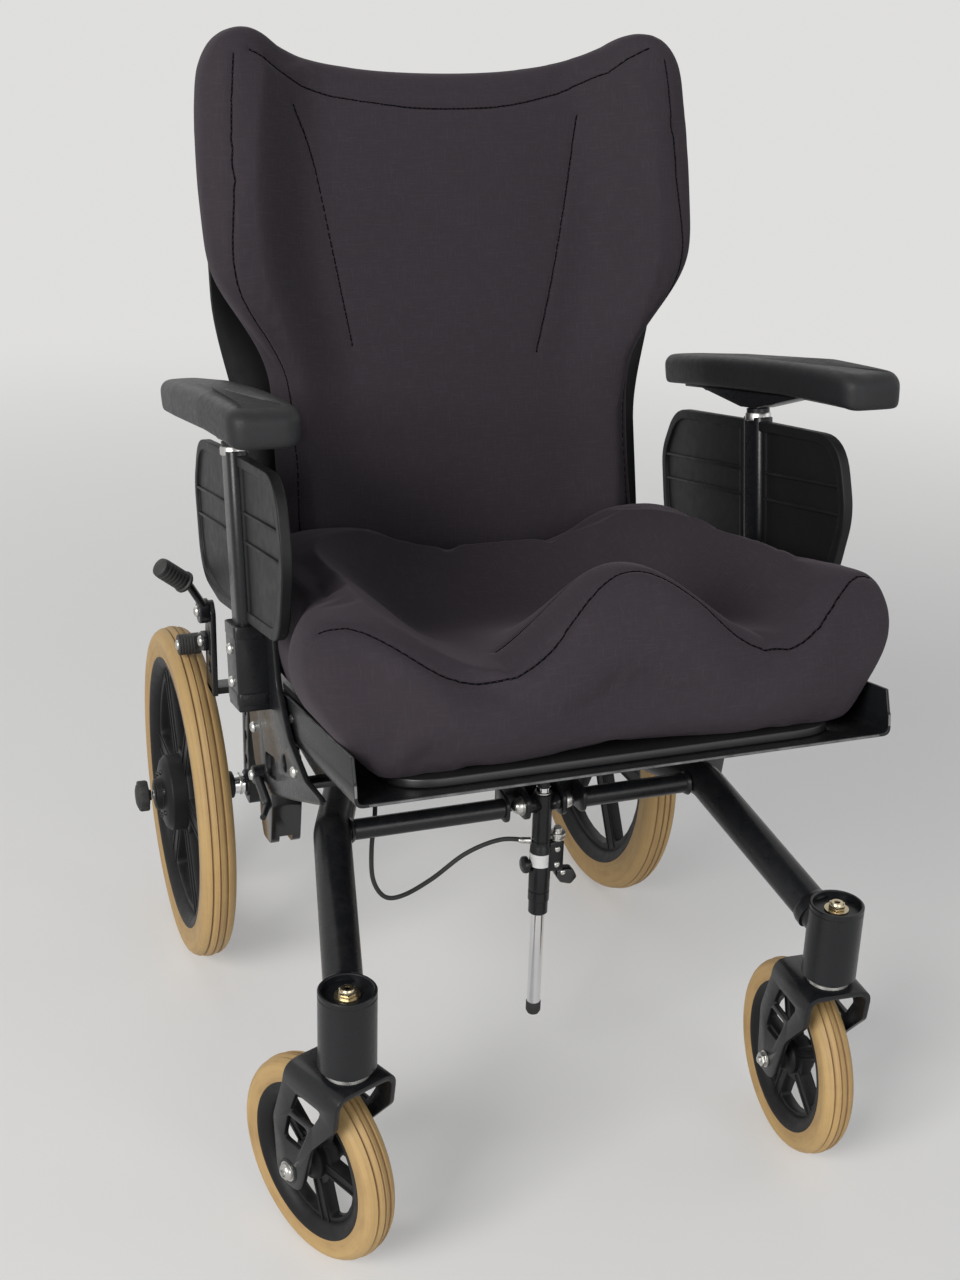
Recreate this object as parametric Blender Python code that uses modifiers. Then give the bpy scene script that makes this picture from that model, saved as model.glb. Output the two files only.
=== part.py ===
"""Positioning wheelchair with tilting seat, winged back, drop-in armrests and swivel casters.

Units are metres. +Z is up, the occupant faces -Y, and the origin is under the middle of the
chair, on the floor. Places on the base are written from the casters' swivel axis (Y = 0), places
on the seat as (x, s, t) with s running back from the pan's front edge and t up from the pan, and
places on the back as (x, y, z) from its hinge. Empties stand on the joint axes.
"""

import math

import bmesh
import bpy
from mathutils import Matrix, Vector

ASSEMBLY = "positioning_wheelchair"
GAP = 0.0003

# Casters
CASTER_X = 0.245
CASTER_RADIUS = 0.100
CASTER_HALF_WIDTH = 0.0165
CASTER_RIM_RADIUS = 0.075
CASTER_TRAIL = 0.044
CASTER_SWIVEL = {-1: math.radians(22.5), 1: math.radians(-3.5)}
CASTER_SPOKES = 5
BARREL_RADIUS = 0.0265
BARREL_LOW = 0.2255
BARREL_TOP = 0.3045
BARREL_RECESS = 0.007
STEM_RADIUS = 0.008
FORK_HALF_WIDTH = 0.0345
FORK_THICKNESS = 0.0055
FORK_TOP = 0.2183
CASTER_BOLT_RADIUS = 0.004

# Rear wheels
WHEEL_X = 0.272
WHEEL_Y = 0.620
WHEEL_RADIUS = 0.200
WHEEL_HALF_WIDTH = 0.0195
TYRE_HEIGHT = 0.038
WHEEL_RIM_RADIUS = WHEEL_RADIUS - TYRE_HEIGHT
WHEEL_SPOKES = 6
HUB_DRUM_RADIUS = 0.047
HUB_INNER = 0.055
HUB_OUTER = 0.040
AXLE_RADIUS = 0.006
SPACER_RADIUS = 0.012
SPACER_LENGTH = 0.0155

# Base frame
FRAME_TUBE_RADIUS = 0.0185
SIDE_X = 0.166
JUNCTION = (0.203, 0.205, 0.345)
SIDE_RAIL_HEIGHT = 0.345
SIDE_RAIL_END = 0.680
CROSS_TUBE_RADIUS = 0.0105
CROSS_TUBE_Y = 0.210
CROSS_TUBE_Z = 0.3425
REAR_TUBE_Y = 0.520
REAR_TUBE_RADIUS = 0.0125
BRACKET_INNER = 0.176
BRACKET_OUTER = 0.192
BRACKET_CROWN = 0.0122
AXLE_BAR_THICKNESS = 0.014
AXLE_BAR_WIDTH = 0.034

# Seat
TILT = math.radians(10.0)
PAN_EDGE_Y = -0.0422
PAN_EDGE_Z = 0.5012
PAN_HALF_WIDTH = 0.2505
PAN_LENGTH = 0.500
PAN_SHEET = 0.003
PAN_WALL = 0.042
PIVOT_S = 0.4834
RAIL_X = 0.2125
RAIL_RADIUS = 0.0125
CHEEK_X = 0.2555
CHEEK_THICKNESS = 0.006
BOARD_THICKNESS = 0.008
CUSHION_LENGTH = 0.400

# Armrests
POST_X = 0.2730
POST_S = 0.285
POST_WIDTH = 0.020
POST_DEPTH = 0.036
POST_LOW = 0.026
POST_TOP = 0.266
HEIGHT_TUBE_RADIUS = 0.009
PAD_UNDERSIDE = 0.2935
PAD_THICKNESS = 0.030

# Tilt strut
STRUT_X = 0.021
STRUT_RADIUS = 0.0112
ROD_RADIUS = 0.0072
ROD_PIN_Z = 0.431
ROD_PIN_RADIUS = 0.0035
ROD_LOW = 0.1045
TRUNNION_HALF = 0.017

# Back
HINGE_S = 0.472
HINGE_T = 0.030
HINGE_PIN_RADIUS = 0.0045
BACK_LEAN = math.radians(3.5)
CANE_X = 0.172
CANE_RADIUS = 0.011
CANE_BACK = 0.0225
CANE_TOP = 0.520
CANE_BEND = 0.045
BRACE_Z = 0.450
HANDLE_LENGTH = 0.135
HANDLE_RISE = 0.006
BACK_LOW = 0.060
BACK_HEIGHT = 0.566
BACK_FACE = -0.058
SHELL_THICKNESS = 0.004
SHELL_LOW = 0.070
SHELL_TOP = 0.568

FINISHES = {
    "black_steel": ((0.018, 0.018, 0.020), 0.38, 0.30),
    "black_plastic": ((0.020, 0.020, 0.021), 0.50, 0.00),
    "tan_tyre": ((0.62, 0.45, 0.24), 0.62, 0.00),
    "zinc": ((0.70, 0.69, 0.64), 0.28, 1.00),
    "chrome": ((0.78, 0.78, 0.79), 0.14, 1.00),
    "charcoal_fabric": ((0.040, 0.034, 0.042), 0.90, 0.00),
    "black_rubber": ((0.030, 0.030, 0.031), 0.70, 0.00),
    "moulded_pad": ((0.045, 0.046, 0.048), 0.60, 0.00),
    "board": ((0.030, 0.030, 0.032), 0.45, 0.10),
}


# Scene housekeeping

def clear_scene():
    for obj in list(bpy.data.objects):
        bpy.data.objects.remove(obj, do_unlink=True)


def part_collection():
    found = bpy.data.collections.get(ASSEMBLY)
    if found is None:
        found = bpy.data.collections.new(ASSEMBLY)
        bpy.context.scene.collection.children.link(found)
    return found


def make_material(name, finish):
    colour, roughness, metallic = FINISHES[finish]
    mat = bpy.data.materials.new(name + "_finish")
    mat.use_nodes = True
    shader = mat.node_tree.nodes["Principled BSDF"]
    shader.inputs["Base Color"].default_value = (*colour, 1.0)
    shader.inputs["Roughness"].default_value = roughness
    shader.inputs["Metallic"].default_value = metallic
    return mat


def make_empty(name, parent=None, location=(0, 0, 0), rotation=(0, 0, 0)):
    empty = bpy.data.objects.new(name, None)
    empty.empty_display_size = 0.03
    empty.location = location
    empty.rotation_euler = rotation
    empty.parent = parent
    part_collection().objects.link(empty)
    return empty


def place(name, mesh, finish, parent):
    obj = bpy.data.objects.new(name, mesh)
    obj.parent = parent
    part_collection().objects.link(obj)
    mesh.materials.clear()
    mesh.materials.append(make_material(name, finish))
    return obj


def freeze(obj):
    """Replace an object's mesh by its evaluated one, welded, closed and facing out."""
    bpy.context.view_layer.update()
    graph = bpy.context.evaluated_depsgraph_get()
    mesh = bpy.data.meshes.new_from_object(obj.evaluated_get(graph))
    edit = bmesh.new()
    edit.from_mesh(mesh)
    bmesh.ops.remove_doubles(edit, verts=edit.verts, dist=0.00001)
    bmesh.ops.delete(edit, geom=[e for e in edit.edges if not e.link_faces], context="EDGES")
    bmesh.ops.recalc_face_normals(edit, faces=edit.faces)
    edit.to_mesh(mesh)
    edit.free()
    obj.modifiers.clear()
    obj.data = mesh
    return obj


def merge_flat_faces(obj):
    """Dissolve the edges that Booleans left inside flat faces."""
    edit = bmesh.new()
    edit.from_mesh(obj.data)
    bmesh.ops.dissolve_limit(edit, angle_limit=math.radians(0.05), use_dissolve_boundaries=False,
                             verts=edit.verts, edges=edit.edges, delimit=set())
    bmesh.ops.triangulate(edit, faces=edit.faces, quad_method="BEAUTY", ngon_method="BEAUTY")
    edit.to_mesh(obj.data)
    edit.free()
    return obj


def combine(target, tool, operation):
    """Apply a Boolean of tool on target, and remove the tool."""
    change = target.modifiers.new(operation.title(), "BOOLEAN")
    change.operation = operation
    change.solver = "EXACT"
    change.object = tool
    freeze(target)
    bpy.data.objects.remove(tool, do_unlink=True)
    return target


def join_all(target, tools):
    for tool in tools:
        combine(target, tool, "UNION")
    return target


def cut_all(target, tools):
    for tool in tools:
        combine(target, tool, "DIFFERENCE")
    return target


# Solids

def box(name, low, high, finish, parent, bevel=0.0, segments=2):
    low = Vector(low)
    high = Vector(high)
    edit = bmesh.new()
    size = Matrix.Diagonal((*(high - low), 1.0))
    bmesh.ops.create_cube(edit, size=1.0, matrix=Matrix.Translation((low + high) / 2) @ size)
    mesh = bpy.data.meshes.new(name)
    edit.to_mesh(mesh)
    edit.free()
    obj = place(name, mesh, finish, parent)
    if bevel > 0.0:
        rounding = obj.modifiers.new("Round", "BEVEL")
        rounding.width = bevel
        rounding.segments = segments
        freeze(obj)
    return obj


def rod(name, start, end, radius, finish, parent, sides=12, end_radius=None):
    """A round bar, or a cone where end_radius differs, between two points."""
    start = Vector(start)
    end = Vector(end)
    turn = (end - start).to_track_quat("Z", "Y").to_matrix().to_4x4()
    edit = bmesh.new()
    bmesh.ops.create_cone(edit, cap_ends=True, segments=sides, radius1=radius,
                          radius2=radius if end_radius is None else end_radius,
                          depth=(end - start).length,
                          matrix=Matrix.Translation((start + end) / 2) @ turn)
    mesh = bpy.data.meshes.new(name)
    edit.to_mesh(mesh)
    edit.free()
    return place(name, mesh, finish, parent)


def turned(name, profile, origin, axis, finish, parent, steps=16, closed=False):
    """A revolved profile of (radius, distance along the axis) pairs."""
    mesh = bpy.data.meshes.new(name)
    points = [(radius, 0.0, along) for radius, along in profile]
    edges = [(i, i + 1) for i in range(len(points) - 1)]
    if closed:
        edges.append((len(points) - 1, 0))
    mesh.from_pydata(points, edges, [])
    obj = place(name, mesh, finish, parent)
    spin = obj.modifiers.new("Turn", "SCREW")
    spin.axis = "Z"
    spin.steps = steps
    spin.render_steps = steps
    spin.use_merge_vertices = True
    spin.merge_threshold = 0.00005
    freeze(obj)
    turn = Vector(axis).to_track_quat("Z", "Y").to_matrix().to_4x4()
    obj.data.transform(Matrix.Translation(origin) @ turn)
    return obj


def curve_solid(name, splines, finish, parent, **settings):
    """A curve of POLY splines turned into a closed mesh."""
    curve = bpy.data.curves.new(name, "CURVE")
    curve.dimensions = settings.pop("dimensions")
    for points, cyclic in splines:
        spline = curve.splines.new("POLY")
        spline.points.add(len(points) - 1)
        for target, point in zip(spline.points, points):
            target.co = (*point, 1.0)
        spline.use_cyclic_u = cyclic
    for key, value in settings.items():
        setattr(curve, key, value)
    guide = bpy.data.objects.new(name + "_curve", curve)
    part_collection().objects.link(guide)
    bpy.context.view_layer.update()
    graph = bpy.context.evaluated_depsgraph_get()
    mesh = bpy.data.meshes.new_from_object(guide.evaluated_get(graph))
    bpy.data.objects.remove(guide, do_unlink=True)
    edit = bmesh.new()
    edit.from_mesh(mesh)
    bmesh.ops.remove_doubles(edit, verts=edit.verts, dist=0.00001)
    bmesh.ops.recalc_face_normals(edit, faces=edit.faces)
    edit.to_mesh(mesh)
    edit.free()
    return place(name, mesh, finish, parent)


def filleted(points, radius, steps=3, cyclic=False):
    """Points of a path or an outline with its corners rounded, small ones by a single cut."""
    points = [Vector(p) for p in points]
    count = len(points)
    result = []
    for i, corner in enumerate(points):
        if not cyclic and i in (0, count - 1):
            result.append(corner)
            continue
        before = points[i - 1] - corner
        after = points[(i + 1) % count] - corner
        size = radius[i] if isinstance(radius, (list, tuple)) else radius
        half = before.angle(after) / 2
        if size <= 0.0 or half > math.radians(89.0):
            result.append(corner)
            continue
        reach = min(size / math.tan(half), before.length * 0.49, after.length * 0.49)
        first = corner + before.normalized() * reach
        last = corner + after.normalized() * reach
        cuts = steps if size > 0.009 else 1
        for k in range(cuts + 1):
            f = k / cuts
            result.append(first.lerp(corner, f).lerp(corner.lerp(last, f), f))
    return result


def tube(name, points, radius, finish, parent, bend=0.03, resolution=2, steps=3):
    """A round tube along a path; resolution r gives 2r + 2 half sides."""
    path = filleted(points, bend, steps)
    return curve_solid(name, [(path, False)], finish, parent, dimensions="3D",
                       bevel_depth=radius, bevel_resolution=resolution, use_fill_caps=True)


def plate(name, outline, low, high, axis, finish, parent, holes=(), round_edges=0.0):
    """A flat outline with holes, extruded along X, Y or Z from low to high.

    Outline points are (Y, Z) for axis X, (X, Z) for axis Y and (X, Y) for axis Z.
    """
    splines = [([(*p[:2], 0.0) for p in shape], True) for shape in (outline, *holes)]
    half = (high - low) / 2
    obj = curve_solid(name, splines, finish, parent, dimensions="2D", fill_mode="BOTH",
                      extrude=half - round_edges, bevel_depth=round_edges,
                      bevel_resolution=1, offset=-round_edges)
    turn = {"X": Matrix(((0, 0, 1), (1, 0, 0), (0, 1, 0))),
            "Y": Matrix(((1, 0, 0), (0, 0, -1), (0, 1, 0))),
            "Z": Matrix.Identity(3)}[axis]
    shift = {"X": (1, 0, 0), "Y": (0, 1, 0), "Z": (0, 0, 1)}[axis]
    obj.data.transform(Matrix.Translation(Vector(shift) * (low + high) / 2) @ turn.to_4x4())
    return obj


def circle(centre, radius, count=10):
    return [(centre[0] + radius * math.cos(2 * math.pi * k / count),
             centre[1] + radius * math.sin(2 * math.pi * k / count)) for k in range(count)]


def flat(points, radius, steps=2):
    """A closed flat outline with rounded corners."""
    return [(p.x, p.y) for p in filleted([(*p, 0.0) for p in points], radius, steps, True)]


def side_name(side):
    return "left" if side < 0 else "right"


def hole_radius(radius, sides):
    """Corner radius of a many-sided hole whose flats clear a round piece by the gap."""
    return (radius + GAP) / math.cos(math.pi / sides)


# Base frame

def side_tube(name, side, radius, base):
    """The bent side tube, or a larger one that copes what meets it."""
    jx, jy, jz = JUNCTION
    path = [(side * CASTER_X, 0.004, 0.272), (side * jx, jy, jz),
            (side * SIDE_X, jy + 0.095, SIDE_RAIL_HEIGHT), (side * SIDE_X, SIDE_RAIL_END, SIDE_RAIL_HEIGHT)]
    return tube(name, path, radius, "black_steel", base, bend=0.045, resolution=3)


def make_side_frame(side, base):
    """Bent side tube with its caster barrel and the bracket of the tilt pivot."""
    frame = side_tube("side_frame_" + side_name(side), side, FRAME_TUBE_RADIUS, base)
    lip = 0.0035
    bore = STEM_RADIUS + GAP
    inner = BARREL_RADIUS - lip
    barrel = turned("barrel", [(bore, BARREL_LOW), (BARREL_RADIUS, BARREL_LOW), (BARREL_RADIUS, BARREL_TOP),
                               (inner, BARREL_TOP), (inner, BARREL_TOP - BARREL_RECESS),
                               (bore, BARREL_TOP - BARREL_RECESS)],
                    (side * CASTER_X, 0, 0), (0, 0, 1), "black_steel", base, 14, True)
    core = rod("core", (side * CASTER_X, 0, BARREL_LOW - 0.01), (side * CASTER_X, 0, BARREL_TOP + 0.01),
               BARREL_RADIUS - 0.004, "black_steel", base, 14)
    combine(frame, core, "DIFFERENCE")
    combine(frame, barrel, "UNION")
    pivot = pivot_point()
    crown = [(pivot.y + BRACKET_CROWN * math.cos(math.radians(a)), pivot.z + BRACKET_CROWN * math.sin(math.radians(a)))
             for a in range(0, 181, 36)]
    bracket = plate("bracket", [(pivot.y - 0.034, SIDE_RAIL_HEIGHT), (pivot.y + 0.034, SIDE_RAIL_HEIGHT), *crown],
                    *sorted((side * BRACKET_INNER, side * BRACKET_OUTER)), "X", "black_steel", base)
    combine(frame, bracket, "UNION")
    hole = rod("hole", (side * 0.15, pivot.y, pivot.z), (side * 0.25, pivot.y, pivot.z),
               AXLE_RADIUS + GAP, "black_steel", base)
    combine(frame, hole, "DIFFERENCE")
    return frame


def pivot_point():
    """The tilt axis in base coordinates."""
    t = -GAP - RAIL_RADIUS
    return Vector((0.0, PAN_EDGE_Y + PIVOT_S * math.cos(TILT) + t * math.sin(TILT),
                   PAN_EDGE_Z - PIVOT_S * math.sin(TILT) + t * math.cos(TILT)))


def make_front_cross_member(base):
    """Front cross tube in two halves, with the channel that carries the strut's trunnion."""
    y, z, r = CROSS_TUBE_Y, CROSS_TUBE_Z, CROSS_TUBE_RADIUS
    left_end, right_end = STRUT_X - 0.044, STRUT_X + 0.044
    start = JUNCTION[0]
    member = rod("front_cross_member", (-start, y, z), (left_end + 0.003, y, z), r, "black_steel", base)
    right = rod("right", (right_end - 0.003, y, z), (start, y, z), r, "black_steel", base)
    back = box("back", (left_end, y + 0.019, z - 0.016), (right_end, y + 0.024, z + 0.016),
               "black_steel", base)
    outline = flat([(y + 0.021, z - 0.016), (y + 0.021, z + 0.016), (y - 0.013, z + 0.013),
                    (y - 0.013, z - 0.013)], [0, 0, 0.012, 0.012])
    ears = []
    reach = TRUNNION_HALF + GAP
    for low in (left_end, STRUT_X - reach - 0.005, STRUT_X + reach, right_end - 0.004):
        wide = 0.004 if low in (left_end, right_end - 0.004) else 0.005
        ears.append(plate("ear", outline, low, low + wide, "X", "black_steel", base))
    join_all(member, [right, back, *ears])
    for side in (-1, 1):
        combine(member, side_tube("cope", side, FRAME_TUBE_RADIUS + GAP, base), "DIFFERENCE")
    stubs = []
    for side in (-1, 1):
        head = STRUT_X + side * (reach + 0.004)
        stubs.append(rod("stub", (head, y, z), (STRUT_X + side * (TRUNNION_HALF - 0.0065), y, z),
                         CASTER_BOLT_RADIUS, "zinc", base, 8))
        stubs.append(turned("dome", [(0.0, 0.0120), (0.0055, 0.0105), (0.0084, 0.006), (0.0084, 0.0), (0.0, 0.0)],
                            (head, y, z), (side, 0, 0), "zinc", base, 10))
    return join_all(member, stubs)


def make_axle_bar(side, base):
    """Upright flat bar with a row of height holes and the welded axle receiver."""
    outer = SIDE_X + FRAME_TUBE_RADIUS + GAP
    low, high = sorted((side * outer, side * (outer + AXLE_BAR_THICKNESS)))
    half = AXLE_BAR_WIDTH / 2
    outline = flat([(WHEEL_Y - half, WHEEL_RADIUS - 0.024), (WHEEL_Y + half, WHEEL_RADIUS - 0.024),
                    (WHEEL_Y + half, SIDE_RAIL_HEIGHT + 0.018), (WHEEL_Y - half, SIDE_RAIL_HEIGHT + 0.018)],
                   0.009)
    heights = [WHEEL_RADIUS + 0.032 * k for k in range(1, 4)]
    holes = [circle((WHEEL_Y, z), 0.0062, 8) for z in heights]
    bar = plate("axle_bar_" + side_name(side), outline, low, high, "X", "black_steel", base, holes)
    face = side * (outer + AXLE_BAR_THICKNESS)
    boss = rod("boss", (face - side * 0.018, WHEEL_Y, WHEEL_RADIUS), (face + side * 0.003, WHEEL_Y, WHEEL_RADIUS),
               0.0165, "black_steel", base, 10)
    combine(bar, boss, "UNION")
    hole = rod("hole", (face - side * 0.04, WHEEL_Y, WHEEL_RADIUS), (face + side * 0.04, WHEEL_Y, WHEEL_RADIUS),
               AXLE_RADIUS + GAP, "black_steel", base)
    return combine(bar, hole, "DIFFERENCE")


def receiver_face():
    return SIDE_X + FRAME_TUBE_RADIUS + GAP + AXLE_BAR_THICKNESS + 0.003


def make_axle(side, base):
    """Quick-release axle with the bright spacer that the hub runs against."""
    start = receiver_face() - 0.024
    spacer = receiver_face() + GAP
    stop = WHEEL_X - HUB_INNER - GAP
    end = WHEEL_X + HUB_OUTER + 0.0035
    return turned("quick_release_axle_" + side_name(side),
                  [(0.0, end), (AXLE_RADIUS, end), (AXLE_RADIUS, stop), (SPACER_RADIUS, stop),
                   (SPACER_RADIUS, spacer), (AXLE_RADIUS, spacer), (AXLE_RADIUS, start), (0.0, start)],
                  (0, WHEEL_Y, WHEEL_RADIUS), (side, 0, 0), "chrome", base, 10)


def make_pivot_pin(side, base):
    """Shouldered pin on which the seat rail tilts."""
    pivot = pivot_point()
    rail_in = RAIL_X - RAIL_RADIUS - GAP
    rail_out = RAIL_X + RAIL_RADIUS + GAP
    return turned("tilt_pivot_pin_" + side_name(side),
                  [(0.0, rail_out + 0.005), (0.0095, rail_out + 0.005), (0.0095, rail_out), (AXLE_RADIUS, rail_out),
                   (AXLE_RADIUS, rail_in), (0.010, rail_in), (0.010, BRACKET_OUTER + GAP),
                   (AXLE_RADIUS, BRACKET_OUTER + GAP), (AXLE_RADIUS, BRACKET_INNER - 0.0005),
                   (0.0, BRACKET_INNER - 0.0005)],
                  (0, pivot.y, pivot.z), (side, 0, 0), "zinc", base, 8)


def make_base(base):
    for side in (-1, 1):
        make_side_frame(side, base)
        make_axle_bar(side, base)
        make_axle(side, base)
        make_pivot_pin(side, base)
    make_front_cross_member(base)
    reach = SIDE_X - FRAME_TUBE_RADIUS - GAP
    rod("rear_cross_tube", (-reach, REAR_TUBE_Y, SIDE_RAIL_HEIGHT), (reach, REAR_TUBE_Y, SIDE_RAIL_HEIGHT),
        REAR_TUBE_RADIUS, "black_steel", base)
    make_cable(base)


# Wheels

def tyre_profile(radius, inner, half):
    """Section of a solid tyre with three grooves in its tread, as a closed loop."""
    depth = 0.0018
    lip = 0.0011
    points = [(inner, -half * 0.80), (radius - half * 0.60, -half)]
    for centre in (-0.46, 0.0, 0.46):
        crown = radius - 0.0030 * abs(centre)
        x = centre * half
        points += [(crown, x - lip), (crown - depth, x), (crown, x + lip)]
    points += [(r, -x) for r, x in reversed(points[:2])]
    return points


def spoke_window(inner, outer, width, count, index):
    """Opening between two spokes, from polar corners with a raised outer arc."""
    middle = 2 * math.pi * (index + 0.5) / count
    points = []
    for radius, shares in ((outer, (1, 0, -1)), (inner, (-1, 1))):
        half = math.pi / count - width / 2 / radius
        for share in shares:
            angle = middle + share * half
            points.append((radius * math.cos(angle), radius * math.sin(angle)))
    return points


def make_wheel_rim(name, rim, half, web, window, spoke, count, hub, bore, parent, side, steps):
    """Moulded rim: channel ring, windowed web and a stepped hub, bored for the axle."""
    ring = turned(name, [(rim - GAP, half * 0.76), (rim - 0.012, half * 0.70), (rim - 0.012, -half * 0.70),
                         (rim - GAP, -half * 0.76)],
                  (0, 0, 0), (side, 0, 0), "black_plastic", parent, steps, True)
    holes = [spoke_window(window[0], window[1], spoke, count, k) for k in range(count)]
    disc = plate("web", circle((0, 0), rim - 0.009, steps), -web / 2, web / 2, "X", "black_plastic",
                 parent, holes)
    body = turned("hub", [(0.0, hub[0][1]), *hub, (0.0, hub[-1][1])], (0, 0, 0), (side, 0, 0),
                  "black_plastic", parent, 12)
    join_all(ring, [disc, body])
    hole = rod("hole", (-0.08, 0, 0), (0.08, 0, 0), hole_radius(bore, 8), "black_plastic", parent, 8)
    return combine(ring, hole, "DIFFERENCE")


def make_caster(side, base):
    """Swivelling caster: stem, fork, bolt, rim and tyre."""
    label = side_name(side)
    swivel = make_empty("caster_swivel_" + label, base, (side * CASTER_X, 0, 0), (0, 0, CASTER_SWIVEL[side]))
    top = BARREL_TOP - BARREL_RECESS + GAP
    turned("caster_stem_" + label,
           [(0.0, top + 0.0064), (0.0074, top + 0.0060), (0.0078, top + 0.0018), (0.0105, top + 0.0016),
            (0.0105, top), (STEM_RADIUS, top), (STEM_RADIUS, BARREL_LOW - GAP), (0.0180, BARREL_LOW - GAP),
            (0.0150, FORK_TOP + GAP), (STEM_RADIUS, FORK_TOP + GAP), (STEM_RADIUS, FORK_TOP - 0.0062),
            (0.0110, FORK_TOP - 0.0062), (0.0110, FORK_TOP - 0.0120), (0.0, FORK_TOP - 0.0120)],
           (0, 0, 0), (0, 0, 1), "zinc", swivel, 10)
    make_fork(side, swivel)
    axle = make_empty("caster_axle_" + label, swivel, (0, CASTER_TRAIL, CASTER_RADIUS))
    head = FORK_HALF_WIDTH + GAP
    turned("caster_axle_bolt_" + label,
           [(0.0, head + 0.0050), (0.0062, head + 0.0042), (0.0078, head),
            (CASTER_BOLT_RADIUS, head), (CASTER_BOLT_RADIUS, -head), (0.0078, -head),
            (0.0070, -head - 0.0060), (0.0, -head - 0.0060)],
           (0, 0, 0), (side, 0, 0), "zinc", axle, 8)
    turned("caster_tyre_" + label, tyre_profile(CASTER_RADIUS, CASTER_RIM_RADIUS, CASTER_HALF_WIDTH),
           (0, 0, 0), (1, 0, 0), "tan_tyre", axle, 20, True)
    hub_end = FORK_HALF_WIDTH - FORK_THICKNESS - 2 * GAP
    make_wheel_rim("caster_rim_" + label, CASTER_RIM_RADIUS, CASTER_HALF_WIDTH, 0.012, (0.026, 0.059), 0.014,
                   CASTER_SPOKES,
                   [(0.010, hub_end), (0.0185, 0.010), (0.0185, -0.010), (0.010, -hub_end)],
                   CASTER_BOLT_RADIUS, axle, side, 20)


def make_fork(side, swivel):
    """Bent fork: a channel section trimmed to the sloping side view, with window cut-outs."""
    outer, inner = FORK_HALF_WIDTH, FORK_HALF_WIDTH - FORK_THICKNESS
    top, roof = FORK_TOP, FORK_TOP - 0.006
    section = [(-outer, 0.06), (-outer, top), (outer, top), (outer, 0.06),
               (inner, 0.06), (inner, roof), (-inner, roof), (-inner, 0.06)]
    fork = plate("caster_fork_" + side_name(side),
                 flat(section, [0, 0.014, 0.014, 0, 0, 0.009, 0.009, 0], 2), -0.06, 0.09, "Y",
                 "black_steel", swivel)
    y, z = CASTER_TRAIL, CASTER_RADIUS
    silhouette = flat([(-0.031, 0.24), (0.043, 0.24), (0.052, 0.196), (0.067, 0.150), (y + 0.017, z - 0.016),
                       (y - 0.017, z - 0.016), (0.010, 0.142), (-0.024, 0.182)],
                      [0, 0, 0, 0.02, 0.016, 0.016, 0, 0])
    combine(fork, plate("side_view", silhouette, -0.06, 0.06, "X", "black_steel", swivel), "INTERSECT")
    windows = [flat([(-0.004, 0.192), (0.030, 0.192), (0.040, 0.169), (0.008, 0.169)], 0.0),
               flat([(0.014, 0.162), (0.043, 0.162), (0.050, 0.136), (0.026, 0.136)], 0.0),
               circle((y, z), CASTER_BOLT_RADIUS + GAP, 10)]
    tools = [plate("window", shape, -0.05, 0.05, "X", "black_steel", swivel) for shape in windows]
    tools.append(rod("stem_hole", (0, 0, roof - 0.02), (0, 0, top + 0.02), hole_radius(STEM_RADIUS, 10),
                     "black_steel", swivel, 10))
    return cut_all(fork, tools)


def make_rear_wheel(side, base):
    """Solid-tyred rear wheel with a large hub, and the knob that releases its axle."""
    label = side_name(side)
    axle = make_empty("rear_axle_" + label, base, (side * WHEEL_X, WHEEL_Y, WHEEL_RADIUS))
    turned("rear_tyre_" + label, tyre_profile(WHEEL_RADIUS, WHEEL_RIM_RADIUS, WHEEL_HALF_WIDTH),
           (0, 0, 0), (1, 0, 0), "tan_tyre", axle, 24, True)
    drum = HUB_DRUM_RADIUS
    make_wheel_rim("rear_rim_" + label, WHEEL_RIM_RADIUS, WHEEL_HALF_WIDTH, 0.014,
                   (drum + 0.006, WHEEL_RIM_RADIUS - 0.021), 0.026, WHEEL_SPOKES,
                   [(0.015, HUB_OUTER), (0.016, 0.031), (drum - 0.004, 0.029), (drum, -0.012), (0.019, -0.022),
                    (0.0165, -HUB_INNER)],
                   AXLE_RADIUS, axle, side, 24)
    start = HUB_OUTER + 0.0035 + GAP
    return turned("axle_release_knob_" + label,
                  [(0.0, start + 0.018), (0.013, start + 0.0175), (0.0190, start + 0.011), (0.0178, start + 0.004),
                   (0.0055, start + 0.002), (0.0055, start), (0.0, start)],
                  (0, 0, 0), (side, 0, 0), "black_rubber", axle, 12)


# Wheel locks

LOCK_X = 0.262
SHOE_RADIUS = 0.0122
SHOE_CLEARANCE = 0.00416
SHOE_ANGLE = math.radians(13.361)
SHOE_REACH = WHEEL_RADIUS + SHOE_RADIUS + SHOE_CLEARANCE
SHOE_CENTRE = (WHEEL_Y - SHOE_REACH * math.sin(SHOE_ANGLE), WHEEL_RADIUS + SHOE_REACH * math.cos(SHOE_ANGLE))
SHOE_PIVOT = (SHOE_CENTRE[0] - 0.058, SHOE_CENTRE[1] + 0.0255)
LEVER_PIVOT = (SHOE_CENTRE[0] - 0.070, SHOE_CENTRE[1] + 0.0655)


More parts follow.
